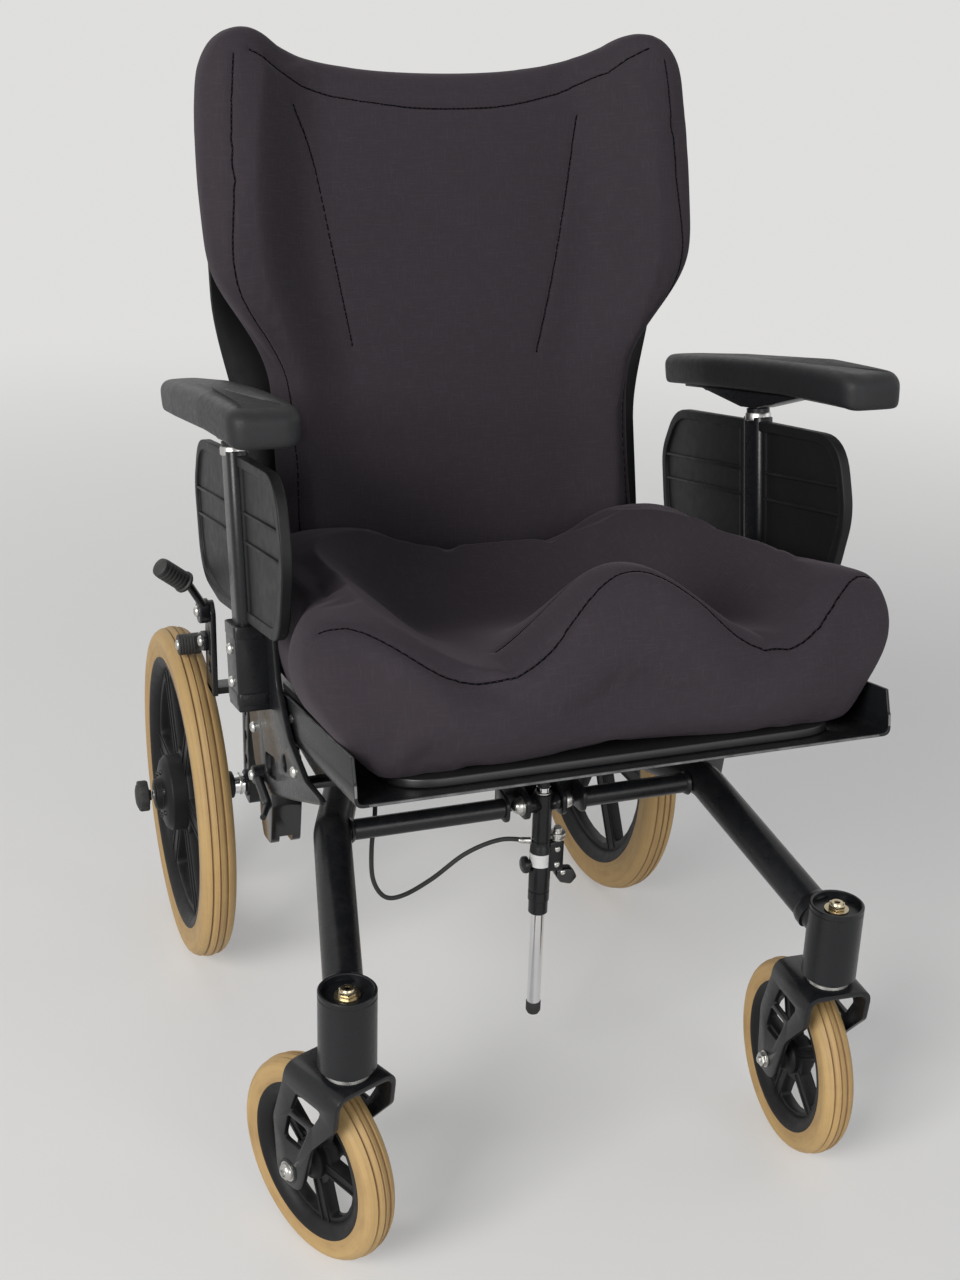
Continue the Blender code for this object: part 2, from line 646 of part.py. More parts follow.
def make_wheel_lock(side, base):
    """Lock bracket on the side rail, its hand lever, and the arm with the brake shoe."""
    label = side_name(side)
    low, high = sorted((side * 0.184, side * 0.190))
    ly, lz = LEVER_PIVOT
    sy, sz = SHOE_PIVOT
    arm_z = lz - 0.098
    foot_z = SIDE_RAIL_HEIGHT + 0.002
    foot = plate("lock_bracket_" + label,
                 flat([(ly - 0.016, foot_z), (ly + 0.024, foot_z), (ly + 0.020, arm_z + 0.017),
                       (ly - 0.012, arm_z + 0.017)], 0.004, 2),
                 low, high, "X", "black_steel", base)
    arm_low, arm_high = sorted((side * 0.188, side * LOCK_X))
    arm = box("arm", (arm_low, ly - 0.008, arm_z), (arm_high, ly + 0.016, arm_z + 0.008), "black_steel", base)
    low, high = sorted((side * (LOCK_X - 0.006), side * LOCK_X))
    holes = [circle((ly + 0.001, arm_z + 0.030), 0.007, 8)]
    web = plate("web", flat([(ly - 0.014, arm_z), (ly + 0.022, arm_z), (sy + 0.011, sz + 0.004), (ly + 0.013, lz + 0.006),
                             (ly - 0.003, lz + 0.014), (ly - 0.014, lz)],
                            [0.002, 0.004, 0.008, 0.008, 0.008, 0.010]),
                low, high, "X", "black_steel", base, holes)
    join_all(foot, [arm, web])
    pins = []
    for y, z, reach in ((ly, lz, 0.0125), (sy, sz, 0.0075)):
        pins.append(rod("pin", (side * (LOCK_X - 0.004), y, z), (side * (LOCK_X + reach), y, z), 0.0045,
                        "black_steel", base, 12))
    join_all(foot, pins)
    seat_face = rod("saddle", (side * SIDE_X, ly - 0.03, SIDE_RAIL_HEIGHT), (side * SIDE_X, ly + 0.04, SIDE_RAIL_HEIGHT),
                    FRAME_TUBE_RADIUS + GAP, "black_steel", base, 16)
    combine(foot, seat_face, "DIFFERENCE")

    turn = make_empty("lock_lever_axis_" + label, base, (side * LOCK_X, ly, lz))
    boss = turned("lock_lever_" + label, [(0.0, 0.0115), (0.0128, 0.0115), (0.0135, 0.0105),
                                          (0.0135, GAP), (0.0, GAP)],
                  (0, 0, 0), (side, 0, 0), "black_steel", turn, 12)
    root = Vector((side * 0.0062, -0.006, 0.008))
    neck = Vector((side * 0.022, -0.014, 0.036))
    tip = Vector((side * 0.052, -0.026, 0.062))
    stem = tube("stem", [root, neck, tip], 0.0045, "black_steel", turn, 0.02, 1, 1)
    grip_start = neck.lerp(tip, 0.15)
    along = (tip - neck).normalized()
    grip = turned("grip", [(0.0, 0.040), (0.0085, 0.0395), (0.0112, 0.036), (0.0105, 0.010), (0.0115, 0.0),
                           (0.0, 0.0)], grip_start, along, "black_rubber", turn, 8)
    bore = rod("bore", (-0.02, 0, 0), (0.02, 0, 0), 0.0048, "black_steel", turn, 12)
    join_all(boss, [stem, grip])
    combine(boss, bore, "DIFFERENCE")

    swing = make_empty("lock_shoe_axis_" + label, base, (side * LOCK_X, sy, sz))
    cy, cz = SHOE_CENTRE[0] - sy, SHOE_CENTRE[1] - sz
    near, far = sorted((side * GAP, side * 0.0055))
    arm_plate = plate("lock_shoe_" + label,
                      flat([(-0.010, 0.006), (-0.008, -0.009), (cy, cz - 0.007), (cy + 0.007, cz),
                            (cy, cz + 0.007), (0.006, 0.010)], 0.005, 2),
                      near, far, "X", "black_steel", swing, [circle((0, 0), 0.0048, 12)])
    shoe = turned("shoe", [(0.0, 0.0225), (SHOE_RADIUS - 0.001, 0.0225), (SHOE_RADIUS, 0.0215),
                           (SHOE_RADIUS, -0.0025), (0.0, -0.0025)],
                  (0, cy, cz), (side, 0, 0), "black_rubber", swing, 12)
    return combine(arm_plate, shoe, "UNION")


# Cable from the strut

CABLE_RADIUS = 0.0024
CABLE_POINTS = [(0.0100, 0.2130, 0.2992), (-0.0200, 0.2215, 0.3000), (-0.0550, 0.2280, 0.2860),
                (-0.0900, 0.2305, 0.2610), (-0.1200, 0.2320, 0.2460), (-0.1400, 0.2330, 0.2470),
                (-0.1520, 0.2350, 0.2680), (-0.1525, 0.2395, SIDE_RAIL_HEIGHT - 0.044),
                (-0.1450, 0.2540, SIDE_RAIL_HEIGHT - 0.016), (-0.1380, 0.2800, SIDE_RAIL_HEIGHT - 0.001),
                (-0.1378, 0.3060, SIDE_RAIL_HEIGHT), (-0.1455, 0.3220, SIDE_RAIL_HEIGHT)]


def smooth_path(points, steps):
    """Catmull-Rom curve through the points."""
    points = [Vector(p) for p in points]
    ends = [points[0] * 2 - points[1], *points, points[-1] * 2 - points[-2]]
    path = []
    for i in range(1, len(ends) - 2):
        a, b, c, d = ends[i - 1:i + 3]
        for k in range(steps):
            f = k / steps
            path.append(0.5 * ((2 * b) + (c - a) * f + (2 * a - 5 * b + 4 * c - d) * f * f
                               + (3 * b - a - 3 * c + d) * f * f * f))
    path.append(points[-1])
    return path


def make_cable(base):
    path = smooth_path(CABLE_POINTS, 2)
    return curve_solid("release_cable", [(path, False)], "black_rubber", base, dimensions="3D",
                       bevel_depth=CABLE_RADIUS, bevel_resolution=2, use_fill_caps=True)


# Tilt strut

def make_strut(base, seat):
    """Through-rod lock: trunnion housing, lever, sliding rod and its eye."""
    axis = make_empty("strut_trunnion", base, (STRUT_X, CROSS_TUBE_Y, CROSS_TUBE_Z))
    r = STRUT_RADIUS
    bore = ROD_RADIUS + 2 * GAP
    housing = turned("strut_housing",
                     [(0.0, 0.0125), (r - 0.0010, 0.0125), (r - 0.0010, -0.0480), (r, -0.0495), (r, -0.1120),
                      (r - 0.0012, -0.1125), (r - 0.0012, -0.1285), (0.0, -0.1285)],
                     (0, 0, 0), (0, 0, 1), "black_steel", axis, 12)
    boss = rod("boss", (-TRUNNION_HALF, 0, 0), (TRUNNION_HALF, 0, 0), 0.0090, "black_steel", axis, 10)
    knob = turned("knob", [(0.0, 0.0075), (0.009, 0.0065), (0.009, 0.001), (0.0045, 0.0), (0.0045, -0.006),
                           (0.0, -0.006)],
                  (-r - 0.0018, 0, -0.0695), (-1, 0, 0), "black_steel", axis, 8)
    block = box("block", (r - 0.004, -0.008, -0.078), (r + 0.012, 0.008, -0.044), "black_steel", axis)
    stack = turned("stack", [(0.0, 0.0), (0.0050, 0.0), (0.0050, -0.006), (0.0085, -0.006), (0.0085, -0.009),
                             (0.0050, -0.009), (0.0050, -0.017), (0.0, -0.017)],
                   (r + 0.0068, 0, -0.0300), (0, 0, 1), "zinc", axis, 8)
    join_all(housing, [boss, knob, block, stack])
    tools = [rod("rod_bore", (0, 0, -0.2), (0, 0, 0.1), bore, "black_steel", axis, 12)]
    for side in (-1, 1):
        tools.append(rod("stub_bore", (side * 0.030, 0, 0), (side * (TRUNNION_HALF - 0.0068), 0, 0),
                         CASTER_BOLT_RADIUS + GAP, "black_steel", axis, 8))
    cut_all(housing, tools)

    trigger = make_empty("strut_lever_axis", axis, (r + 0.0125, 0, -0.0820))
    lever = plate("strut_lever", flat([(-0.006, 0.004), (0.012, 0.002), (0.017, -0.008), (0.010, -0.016),
                                       (-0.002, -0.012), (-0.007, -0.004)], 0.003),
                  -0.006, 0.006, "Y", "black_plastic", trigger)

    slide = make_empty("strut_rod_axis", axis, (0, 0, 0))
    low = ROD_LOW - CROSS_TUBE_Z
    join = 0.020
    rod_solid = turned("strut_rod", [(0.0, join), (ROD_RADIUS - 0.0005, join), (ROD_RADIUS, join - 0.0005),
                                     (ROD_RADIUS, low), (ROD_RADIUS + 0.0006, low), (ROD_RADIUS + 0.0006, low - 0.010),
                                     (ROD_RADIUS - 0.0010, low - 0.0145), (0.0, low - 0.016)],
                       (0, 0, 0), (0, 0, 1), "chrome", slide, 12)
    pin = ROD_PIN_Z - CROSS_TUBE_Z
    eye = turned("strut_rod_end", [(0.0, pin - 0.012), (ROD_RADIUS - 0.0010, pin - 0.012), (ROD_RADIUS, pin - 0.014),
                                   (ROD_RADIUS, join + GAP), (0.0, join + GAP)],
                 (0, 0, 0), (0, 0, 1), "black_steel", slide, 12)
    tongue = plate("tongue", flat([(-0.0095, pin - 0.018), (0.0095, pin - 0.018), (0.0125, pin + 0.004),
                                   (0.006, pin + 0.0115), (-0.006, pin + 0.0115), (-0.0125, pin + 0.004)],
                                  0.005), -0.004, 0.004, "X", "black_steel", slide,
                   [circle((0, pin), ROD_PIN_RADIUS + 0.0042, 14)])
    combine(eye, tongue, "UNION")
    return rod_solid


def strut_pin_on_seat():
    """The rod's pin in seat coordinates (s, t)."""
    dy = CROSS_TUBE_Y - PAN_EDGE_Y
    dz = ROD_PIN_Z - PAN_EDGE_Z
    return (dy * math.cos(TILT) - dz * math.sin(TILT), dy * math.sin(TILT) + dz * math.cos(TILT))


# Seat

def make_seat_frame(seat):
    """Two rails, a cross bar with the strut's clevis, and the ears of the back hinge."""
    t = -GAP - RAIL_RADIUS
    low, high = 0.150, PIVOT_S + 0.020
    frame = rod("seat_frame", (-RAIL_X, low, t), (-RAIL_X, high, t), RAIL_RADIUS, "black_steel", seat, 12)
    other = rod("other", (RAIL_X, low, t), (RAIL_X, high, t), RAIL_RADIUS, "black_steel", seat, 12)
    ps, pt = strut_pin_on_seat()
    bars = []
    for s in (ps + 0.030, 0.425):
        bars.append(rod("bar", (-RAIL_X, s, t), (RAIL_X, s, t), 0.0095, "black_steel", seat, 8))
    clevis = []
    for side in (-1, 1):
        near, far = sorted((STRUT_X + side * 0.0075, STRUT_X + side * 0.0115))
        clevis.append(plate("clevis", flat([(ps + 0.036, t - 0.006), (ps + 0.036, t + 0.008), (ps - 0.009, pt + 0.009),
                                            (ps - 0.009, pt - 0.009), (ps + 0.008, pt - 0.009)],
                                           [0, 0, 0.007, 0.007, 0.007]),
                            near, far, "X", "black_steel", seat))
    pin = rod("pin", (STRUT_X - 0.0145, ps, pt), (STRUT_X + 0.0145, ps, pt), ROD_PIN_RADIUS, "black_steel", seat, 8)
    join_all(frame, [other, *bars, *clevis, pin])
    hole = rod("hole", (-0.3, PIVOT_S, t), (0.3, PIVOT_S, t), AXLE_RADIUS + GAP, "black_steel", seat)
    return combine(frame, hole, "DIFFERENCE")


def make_pan(seat):
    """Folded sheet tray with upturned sides whose front corners are cut back."""
    w, wall, sheet = PAN_HALF_WIDTH, PAN_WALL, PAN_SHEET
    section = [(-w, wall), (-w, 0.0), (w, 0.0), (w, wall), (w - sheet, wall), (w - sheet, sheet),
               (sheet - w, sheet), (sheet - w, wall)]
    pan = plate("seat_pan", flat(section, [0, 0.007, 0.007, 0, 0, 0.004, 0.004, 0]), 0.0, PAN_LENGTH, "Y",
                "black_steel", seat)
    corner = flat([(-0.02, 0.020), (0.001, 0.020), (0.005, wall + 0.001), (0.005, wall + 0.02), (-0.02, wall + 0.02)],
                  [0, 0.002, 0.002, 0, 0], 2)
    front = plate("front", corner, -0.3, 0.3, "X", "black_steel", seat)
    rear = plate("rear", flat([(0.430, wall + 0.01), (0.470, 0.016), (0.510, 0.016), (0.510, wall + 0.01)],
                              [0.01, 0.01, 0, 0]), -0.3, 0.3, "X", "black_steel", seat)
    slot = plate("slot", flat([(STRUT_X - 0.016, 0.20), (STRUT_X + 0.016, 0.20), (STRUT_X + 0.016, 0.16),
                               (STRUT_X - 0.016, 0.16)], 0.006), -0.01, 0.01, "Z", "black_steel", seat)
    return cut_all(pan, [front, rear, slot])


def make_board(seat):
    """Cushion board with rounded corners on the pan floor."""
    half, low, high = 0.212, 0.016, 0.430
    outline = flat([(-half, low), (half, low), (half, high), (-half, high)], [0.045, 0.045, 0.02, 0.02], 3)
    base = PAN_SHEET + GAP
    return plate("cushion_board", outline, base, base + BOARD_THICKNESS, "Z", "board", seat)


def smooth_step(low, high, value):
    f = min(max((value - low) / (high - low), 0.0), 1.0)
    return f * f * (3 - 2 * f)


def seat_top(u, v):
    """Height of the seat cushion over the pan; u runs -1 to 1 across, v 0 to 1 front to back."""
    side = abs(u)
    front = 0.096 + 0.100 * math.exp(-(side / 0.21) ** 2) + 0.070 * smooth_step(0.55, 0.98, side)
    well = 0.084 + 0.084 * smooth_step(0.50, 0.95, side)
    rear = 0.154 + 0.030 * smooth_step(0.20, 0.62, side) - 0.006 * smooth_step(0.75, 1.0, side)
    height = front + (well - front) * smooth_step(0.10, 0.50, v)
    return height + (rear - height) * smooth_step(0.58, 0.98, v)


def make_cushion_grid(name, columns, rows, top_point, low_point, layers, parent):
    """Closed cushion cage: a top grid, the same grid below it, and bulging side layers."""
    edit = bmesh.new()
    bmesh.ops.create_grid(edit, x_segments=columns, y_segments=rows, size=1.0)
    top = list(edit.faces)
    result = bmesh.ops.extrude_face_region(edit, geom=top)
    above = [v for v in result["geom"] if isinstance(v, bmesh.types.BMVert)]
    lifted = set(above)
    for vert in above:
        vert.co.z = 1.0
    risers = [e for e in edit.edges if (e.verts[0] in lifted) != (e.verts[1] in lifted)]
    bmesh.ops.subdivide_edges(edit, edges=risers, cuts=layers, use_grid_fill=True)
    bmesh.ops.recalc_face_normals(edit, faces=edit.faces)
    for vert in edit.verts:
        u, v, w = vert.co.x, (vert.co.y + 1) / 2, vert.co.z
        high = Vector(top_point(u, v))
        low = Vector(low_point(u, v))
        edge = max(abs(vert.co.x), abs(vert.co.y))
        point = low.lerp(high, w)
        if edge > 0.999:
            point += outward(u, v) * math.sin(math.pi * w ** 1.5)
        vert.co = point
    mesh = bpy.data.meshes.new(name)
    edit.to_mesh(mesh)
    edit.free()
    obj = place(name, mesh, "charcoal_fabric", parent)
    smooth = obj.modifiers.new("Soften", "SUBSURF")
    smooth.levels = 1
    smooth.render_levels = 1
    return freeze(obj)


def outward(u, v):
    """Bulge in plan of the rim of a cushion."""
    x = 0.026 * u if abs(u) > 0.999 else 0.0
    y = 0.004 if v > 0.999 else (-0.020 if v < 0.001 else 0.0)
    return Vector((x * (1 - 0.5 * smooth_step(0.2, 0.5, v)), y, 0.0))


def make_seat_cushion(seat):
    """Contoured cushion: leg troughs either side of a pommel, a seat well and raised sides."""
    base = PAN_SHEET + BOARD_THICKNESS + 2 * GAP

    def top_point(u, v):
        side = abs(u)
        lead = 0.004 + 0.026 * math.exp(-(side / 0.22) ** 2) + 0.052 * smooth_step(0.60, 1.0, side)
        s = lead * (1 - v) ** 2 + CUSHION_LENGTH * v
        x = u * (0.268 - 0.022 * smooth_step(0.15, 0.4, v) - 0.008 * smooth_step(0.7, 1.0, v))
        return x, s, seat_top(u, v) - 0.008 * smooth_step(0.86, 1.0, side) - 0.004 * (1 - smooth_step(0.0, 0.14, v))

    def low_point(u, v):
        s = (0.004 + 0.030 * abs(u) ** 5) * (1 - v) ** 2 + CUSHION_LENGTH * v
        return u * (0.222 - 0.008 * smooth_step(0.7, 1.0, v)), s, base - 0.006

    cushion = make_cushion_grid("seat_cushion", 11, 5, top_point, low_point, 2, seat)
    floor = box("floor", (-0.3, -0.1, -0.05), (0.3, 0.6, base), "charcoal_fabric", seat)
    return combine(cushion, floor, "DIFFERENCE")


def make_cheek(side, seat):
    """Side cheek under and beside the pan, with the upright socket of the armrest post."""
    name = "side_cheek_" + side_name(side)
    low, high = sorted((side * (CHEEK_X - CHEEK_THICKNESS / 2), side * (CHEEK_X + CHEEK_THICKNESS / 2)))
    outline = flat([(0.066, -0.016), (0.140, -0.014), (0.196, 0.010), (0.232, 0.052), (0.238, 0.106),
                    (0.308, 0.106), (0.332, 0.060), (0.366, -0.004), (0.352, -0.052), (0.322, -0.076),
                    (0.205, -0.050)],
                   [0.006, 0.03, 0.04, 0.03, 0.008, 0.012, 0.03, 0.03, 0.015, 0.015, 0.03])
    cheek = plate(name, outline, low, high, "X", "black_steel", seat)
    inner, outer = sorted((side * (CHEEK_X + 0.001), side * (POST_X + POST_WIDTH / 2 + 0.005)))
    half = POST_DEPTH / 2 + 0.005
    socket = box("socket", (inner, POST_S - half, 0.022), (outer, POST_S + half, 0.104), "black_steel", seat)
    strap_in, strap_out = sorted((side * (RAIL_X - 0.004), side * (CHEEK_X + 0.001)))
    straps = [box("strap", (strap_in, s - 0.012, -0.030), (strap_out, s + 0.012, -0.024), "black_steel", seat)
              for s in (0.175, 0.345)]
    join_all(cheek, [socket, *straps])
    rail_t = -GAP - RAIL_RADIUS
    rail = rod("rail", (side * RAIL_X, 0.0, rail_t), (side * RAIL_X, 0.6, rail_t), RAIL_RADIUS + GAP,
               "black_steel", seat, 12)
    cavity = post_solid("cavity", side, POST_LOW - GAP, 0.2, GAP, seat)
    return cut_all(cheek, [rail, cavity])


def post_solid(name, side, low, high, extra, parent):
    """Flattened round section of the armrest post."""
    half_w, half_d = POST_WIDTH / 2 + extra, POST_DEPTH / 2 + extra
    outline = flat([(side * POST_X - half_w, POST_S - half_d), (side * POST_X + half_w, POST_S - half_d),
                    (side * POST_X + half_w, POST_S + half_d), (side * POST_X - half_w, POST_S + half_d)],
                   half_w * 0.92, 2)
    return plate(name, outline, low, high, "Z", "black_steel", parent)


def make_armrest(side, seat):
    """Post with its side guard, the height tube with the pad plate, and the pad."""
    label = side_name(side)
    post = post_solid("armrest_post_" + label, side, POST_LOW, POST_TOP, 0.0, seat)
    guard_x = side * (POST_X - 0.003)
    outline = flat([(0.136, 0.110), (0.104, 0.185), (0.118, 0.258), (0.250, 0.262), (0.462, 0.264), (0.496, 0.215),
                    (0.490, 0.120), (0.400, 0.104)], [0.05, 0.07, 0.06, 0.2, 0.05, 0.05, 0.05, 0.1], 2)
    guard = plate("guard", outline, guard_x - 0.005, guard_x + 0.005, "X", "black_plastic", seat)
    scoop = flat([(0.143, 0.121), (0.115, 0.186), (0.128, 0.249), (0.250, 0.252), (0.457, 0.254), (0.486, 0.212),
                  (0.480, 0.129), (0.398, 0.114)], [0.042, 0.062, 0.052, 0.2, 0.042, 0.042, 0.042, 0.1], 1)
    tools = []
    for direction in (-1, 1):
        near, far = sorted((guard_x + direction * 0.0018, guard_x + direction * 0.010))
        tools.append(plate("scoop", scoop, near, far, "X", "black_plastic", seat))
    cut_all(guard, tools)
    ribs = []
    for t in (0.184, 0.211):
        for low, high in ((0.112, 0.262), (0.308, 0.486)):
            ribs.append(box("rib", (guard_x - 0.0042, low, t - 0.0015), (guard_x + 0.0042, high, t + 0.0015),
                            "black_plastic", seat))
    join_all(guard, ribs)
    combine(post, guard, "UNION")
    ring = turned("ring", [(0.0, 0.005), (0.0130, 0.004), (0.0130, -0.004), (0.0, -0.004)],
                  (side * POST_X, POST_S, POST_TOP), (0, 0, 1), "zinc", seat, 10)
    combine(post, ring, "UNION")
    bore = rod("bore", (side * POST_X, POST_S, 0.130), (side * POST_X, POST_S, 0.40), HEIGHT_TUBE_RADIUS + GAP,
               "black_plastic", seat, 10)
    combine(post, bore, "DIFFERENCE")

    slide = make_empty("armrest_height_" + label, seat, (side * POST_X, POST_S, 0.0))
    stem = rod("armrest_height_tube_" + label, (0, 0, 0.150), (0, 0, PAD_UNDERSIDE - 0.002), HEIGHT_TUBE_RADIUS,
               "black_steel", slide, 10)
    shift = side * 0.010
    deck = plate("deck", flat([(shift - 0.019, -0.150), (shift + 0.019, -0.150), (shift + 0.020, 0.150),
                               (shift - 0.020, 0.150)], 0.006), PAD_UNDERSIDE - GAP - 0.003, PAD_UNDERSIDE - GAP, "Z",
                 "black_steel", slide)
    gusset = plate("gusset", flat([(-0.105, PAD_UNDERSIDE - 0.002), (-0.013, PAD_UNDERSIDE - 0.018),
                                   (0.018, PAD_UNDERSIDE - 0.018), (0.110, PAD_UNDERSIDE - 0.002)], [0, 0.01, 0.01, 0]),
                   -0.0115, 0.0115, "X", "black_steel", slide)
    join_all(stem, [deck, gusset])
    return make_pad(side, slide)


def make_pad(side, slide):
    """Moulded pad, wider behind, its front end rolled down over the plate."""
    outline = flat([(-0.018, -0.196), (0.042, -0.196), (0.046, -0.080), (0.042, 0.080), (0.034, 0.190),
                    (0.010, 0.206), (-0.012, 0.196), (-0.021, 0.080), (-0.021, -0.080)],
                   [0.014, 0.014, 0, 0.2, 0.03, 0.02, 0.02, 0, 0])
    if side < 0:
        outline = [(-x, y) for x, y in reversed(outline)]
    pad = plate("armrest_pad_" + side_name(side), outline, PAD_UNDERSIDE, PAD_UNDERSIDE + PAD_THICKNESS, "Z",
                "moulded_pad", slide, round_edges=0.009)
    return pad


def make_receiver(side, seat):
    """Leg rest receiver: a block with a hanging slot on the cheek, and its release lever."""
    label = side_name(side)
    inner, outer = sorted((side * 0.2215, side * (CHEEK_X - CHEEK_THICKNESS / 2 - GAP)))
    outline = flat([(0.308, -0.032), (0.362, -0.032), (0.370, -0.112), (0.360, -0.134), (0.328, -0.134),
                    (0.312, -0.090)], [0.004, 0.004, 0.006, 0.008, 0.008, 0.01])
    block = plate("legrest_receiver_" + label, outline, inner, outer, "X", "black_plastic", seat)
    middle = (inner + outer) / 2
    slot = box("slot", (middle - 0.0065, 0.325, -0.2), (middle + 0.0065, 0.351, -0.076), "black_plastic", seat)
    combine(block, slot, "DIFFERENCE")
    axis = make_empty("receiver_lever_axis_" + label, seat, (side * (CHEEK_X + CHEEK_THICKNESS / 2 + GAP), 0.318, -0.056))
    lever = turned("receiver_lever_" + label, [(0.0, 0.010), (0.008, 0.010), (0.009, 0.009), (0.009, 0.0), (0.0, 0.0)],
                   (0, 0, 0), (side, 0, 0), "black_steel", axis, 12)
    bar = tube("bar", [(side * 0.0055, 0.0, 0.0), (side * 0.0055, -0.045, -0.018), (side * 0.016, -0.070, -0.022)],
               0.0045, "black_steel", axis, 0.02, 1, 1)
    return combine(lever, bar, "UNION")


def make_back_hinge(seat):
    """Flat bar across the rear of the pan with the ears, arc slots and pins of the back hinge."""
    floor = PAN_SHEET + GAP
    half = CANE_RADIUS + GAP
    reach = CANE_X + half + 0.005
    s, t = HINGE_S, HINGE_T
    bar = box("back_hinge_bar", (-reach, s - 0.020, floor), (reach, s + 0.022, floor + 0.004),
              "black_steel", seat)
    slot_radius, slot_half = 0.040, 0.0036
    parts = []
    for side in (-1, 1):
        for direction in (-1, 1):
            near = side * CANE_X + direction * half
            low, high = sorted((near, near + direction * 0.005))
            holes = []
            shape = flat([(s - 0.020, floor), (s + 0.022, floor), (s + 0.012, t + 0.012), (s - 0.012, t + 0.012)],
                         [0, 0, 0.008, 0.008])
            if direction == side:
                shape = flat([(s - 0.020, floor), (s + 0.022, floor), (s + 0.036, t + 0.030),
                              (s + 0.030, t + 0.050), (s - 0.012, t + 0.052), (s - 0.020, t + 0.030)],
                             [0, 0, 0, 0.012, 0.012, 0])
                angles = [math.radians(a) for a in (-2, 11, 24, 37)]
                outer = [(s + (slot_radius + slot_half) * math.sin(a), t + (slot_radius + slot_half) * math.cos(a))
                         for a in angles]
                inner = [(s + (slot_radius - slot_half) * math.sin(a), t + (slot_radius - slot_half) * math.cos(a))
                         for a in reversed(angles)]
                holes = [outer + inner]
            parts.append(plate("ear", shape, low, high, "X", "black_steel", seat, holes))
        parts.append(rod("pin", (side * CANE_X - half - 0.007, s, t), (side * CANE_X + half + 0.007, s, t),
                         HINGE_PIN_RADIUS, "black_steel", seat, 8))
    return join_all(bar, parts)


# Back

def back_half_width(z):
    """Half width of the back cushion at a height: waist, then the lateral wings."""
    f = (z - BACK_LOW) / BACK_HEIGHT
    swell = 0.070 * smooth_step(0.41, 0.68, f)
    return 0.194 + swell - 0.008 * smooth_step(0.72, 0.95, f) - 0.022 * smooth_step(0.93, 1.0, f)


def back_top(u):
    """The top edge dips between the wings and rounds off outside them."""
    side = abs(u)
    dip = 0.030 * (1 - smooth_step(0.30, 0.76, side))
    return BACK_LOW + BACK_HEIGHT - dip - 0.010 * smooth_step(0.92, 1.0, side)


def wing_share(z):
    """How far the wings come forward at a height, from 0 to 1."""
    f = (z - BACK_LOW) / BACK_HEIGHT
    return 0.22 + 0.78 * smooth_step(0.30, 0.62, f)


def shell_depth(x, z):
    """How far back the shell's front face lies at a point."""
    side = min(abs(x) / 0.26, 1.0)
    return -0.020 * side ** 3 * wing_share(z)


def back_point(u, v, inset):
    z = BACK_LOW + (back_top(u) - BACK_LOW) * v
    x = (back_half_width(z) - inset) * u
    return x, z


def make_back_cushion(back):
    """Winged back cushion: the sides curve forward round the trunk above the waist."""
    def front_point(u, v):
        x, z = back_point(u, v, 0.006)
        share = wing_share(z)
        side = smooth_step(0.50, 0.94, abs(u))
        edge = max(abs(u), abs(2 * v - 1))
        rounding = 0.016 * smooth_step(0.88, 1.0, edge)
        depth = BACK_FACE - 0.054 * side * share + rounding
        return x, depth, z

    def rear_point(u, v):
        x, z = back_point(u, v, 0.006)
        return x, shell_depth(x, z) - 0.0011, z

    edit_name = "back_cushion"
    edit = bmesh.new()
    columns, rows = 10, 7
    bmesh.ops.create_grid(edit, x_segments=columns, y_segments=rows, size=1.0)
    result = bmesh.ops.extrude_face_region(edit, geom=list(edit.faces))
    front = {v for v in result["geom"] if isinstance(v, bmesh.types.BMVert)}
    for vert in front:
        vert.co.z = 1.0
    risers = [e for e in edit.edges if (e.verts[0] in front) != (e.verts[1] in front)]
    bmesh.ops.subdivide_edges(edit, edges=risers, cuts=1, use_grid_fill=True)
    for vert in edit.verts:
        u, v, w = vert.co.x, (vert.co.y + 1) / 2, vert.co.z
        point = Vector(rear_point(u, v)).lerp(Vector(front_point(u, v)), w)
        swell = 0.010 * math.sin(math.pi * w)
        if abs(u) > 0.999:
            point.x += swell * u
        if v > 0.999:
            point.z += swell
        vert.co = point
    bmesh.ops.recalc_face_normals(edit, faces=edit.faces)
    mesh = bpy.data.meshes.new(edit_name)
    edit.to_mesh(mesh)
    edit.free()
    cushion = place(edit_name, mesh, "charcoal_fabric", back)
    smooth = cushion.modifiers.new("Soften", "SUBSURF")
    smooth.levels = 1
    smooth.render_levels = 1
    return freeze(cushion)


def make_back_shell(back):
    """Thin board behind the cushion: nearly straight sides, wider than the cushion's waist."""
    edit = bmesh.new()
    bmesh.ops.create_grid(edit, x_segments=6, y_segments=8, size=1.0)
    height = SHELL_TOP - SHELL_LOW
    for vert in edit.verts:
        u, v = vert.co.x, (vert.co.y + 1) / 2
        half = 0.224 + 0.024 * smooth_step(0.30, 0.62, v)
        x = half * u * (1 - 0.05 * smooth_step(0.88, 1.0, v) - 0.04 * (1 - smooth_step(0.0, 0.12, v)))
        z = SHELL_LOW + height * v - 0.016 * smooth_step(0.85, 1.0, abs(u)) * smooth_step(0.85, 1.0, v)
        vert.co = (x, shell_depth(x, z), z)
    mesh = bpy.data.meshes.new("back_shell")
    edit.to_mesh(mesh)
    edit.free()
    shell = place("back_shell", mesh, "black_plastic", back)
    wall = shell.modifiers.new("Wall", "SOLIDIFY")
    wall.thickness = SHELL_THICKNESS
    wall.offset = -1.0
    return freeze(shell)


def cane_path(side):
    return [(side * CANE_X, 0.0, -0.012), (side * CANE_X, 0.002, 0.044), (side * CANE_X, CANE_BACK, 0.072),
            (side * CANE_X, CANE_BACK, CANE_TOP), (side * CANE_X, CANE_BACK + HANDLE_LENGTH, CANE_TOP + HANDLE_RISE)]


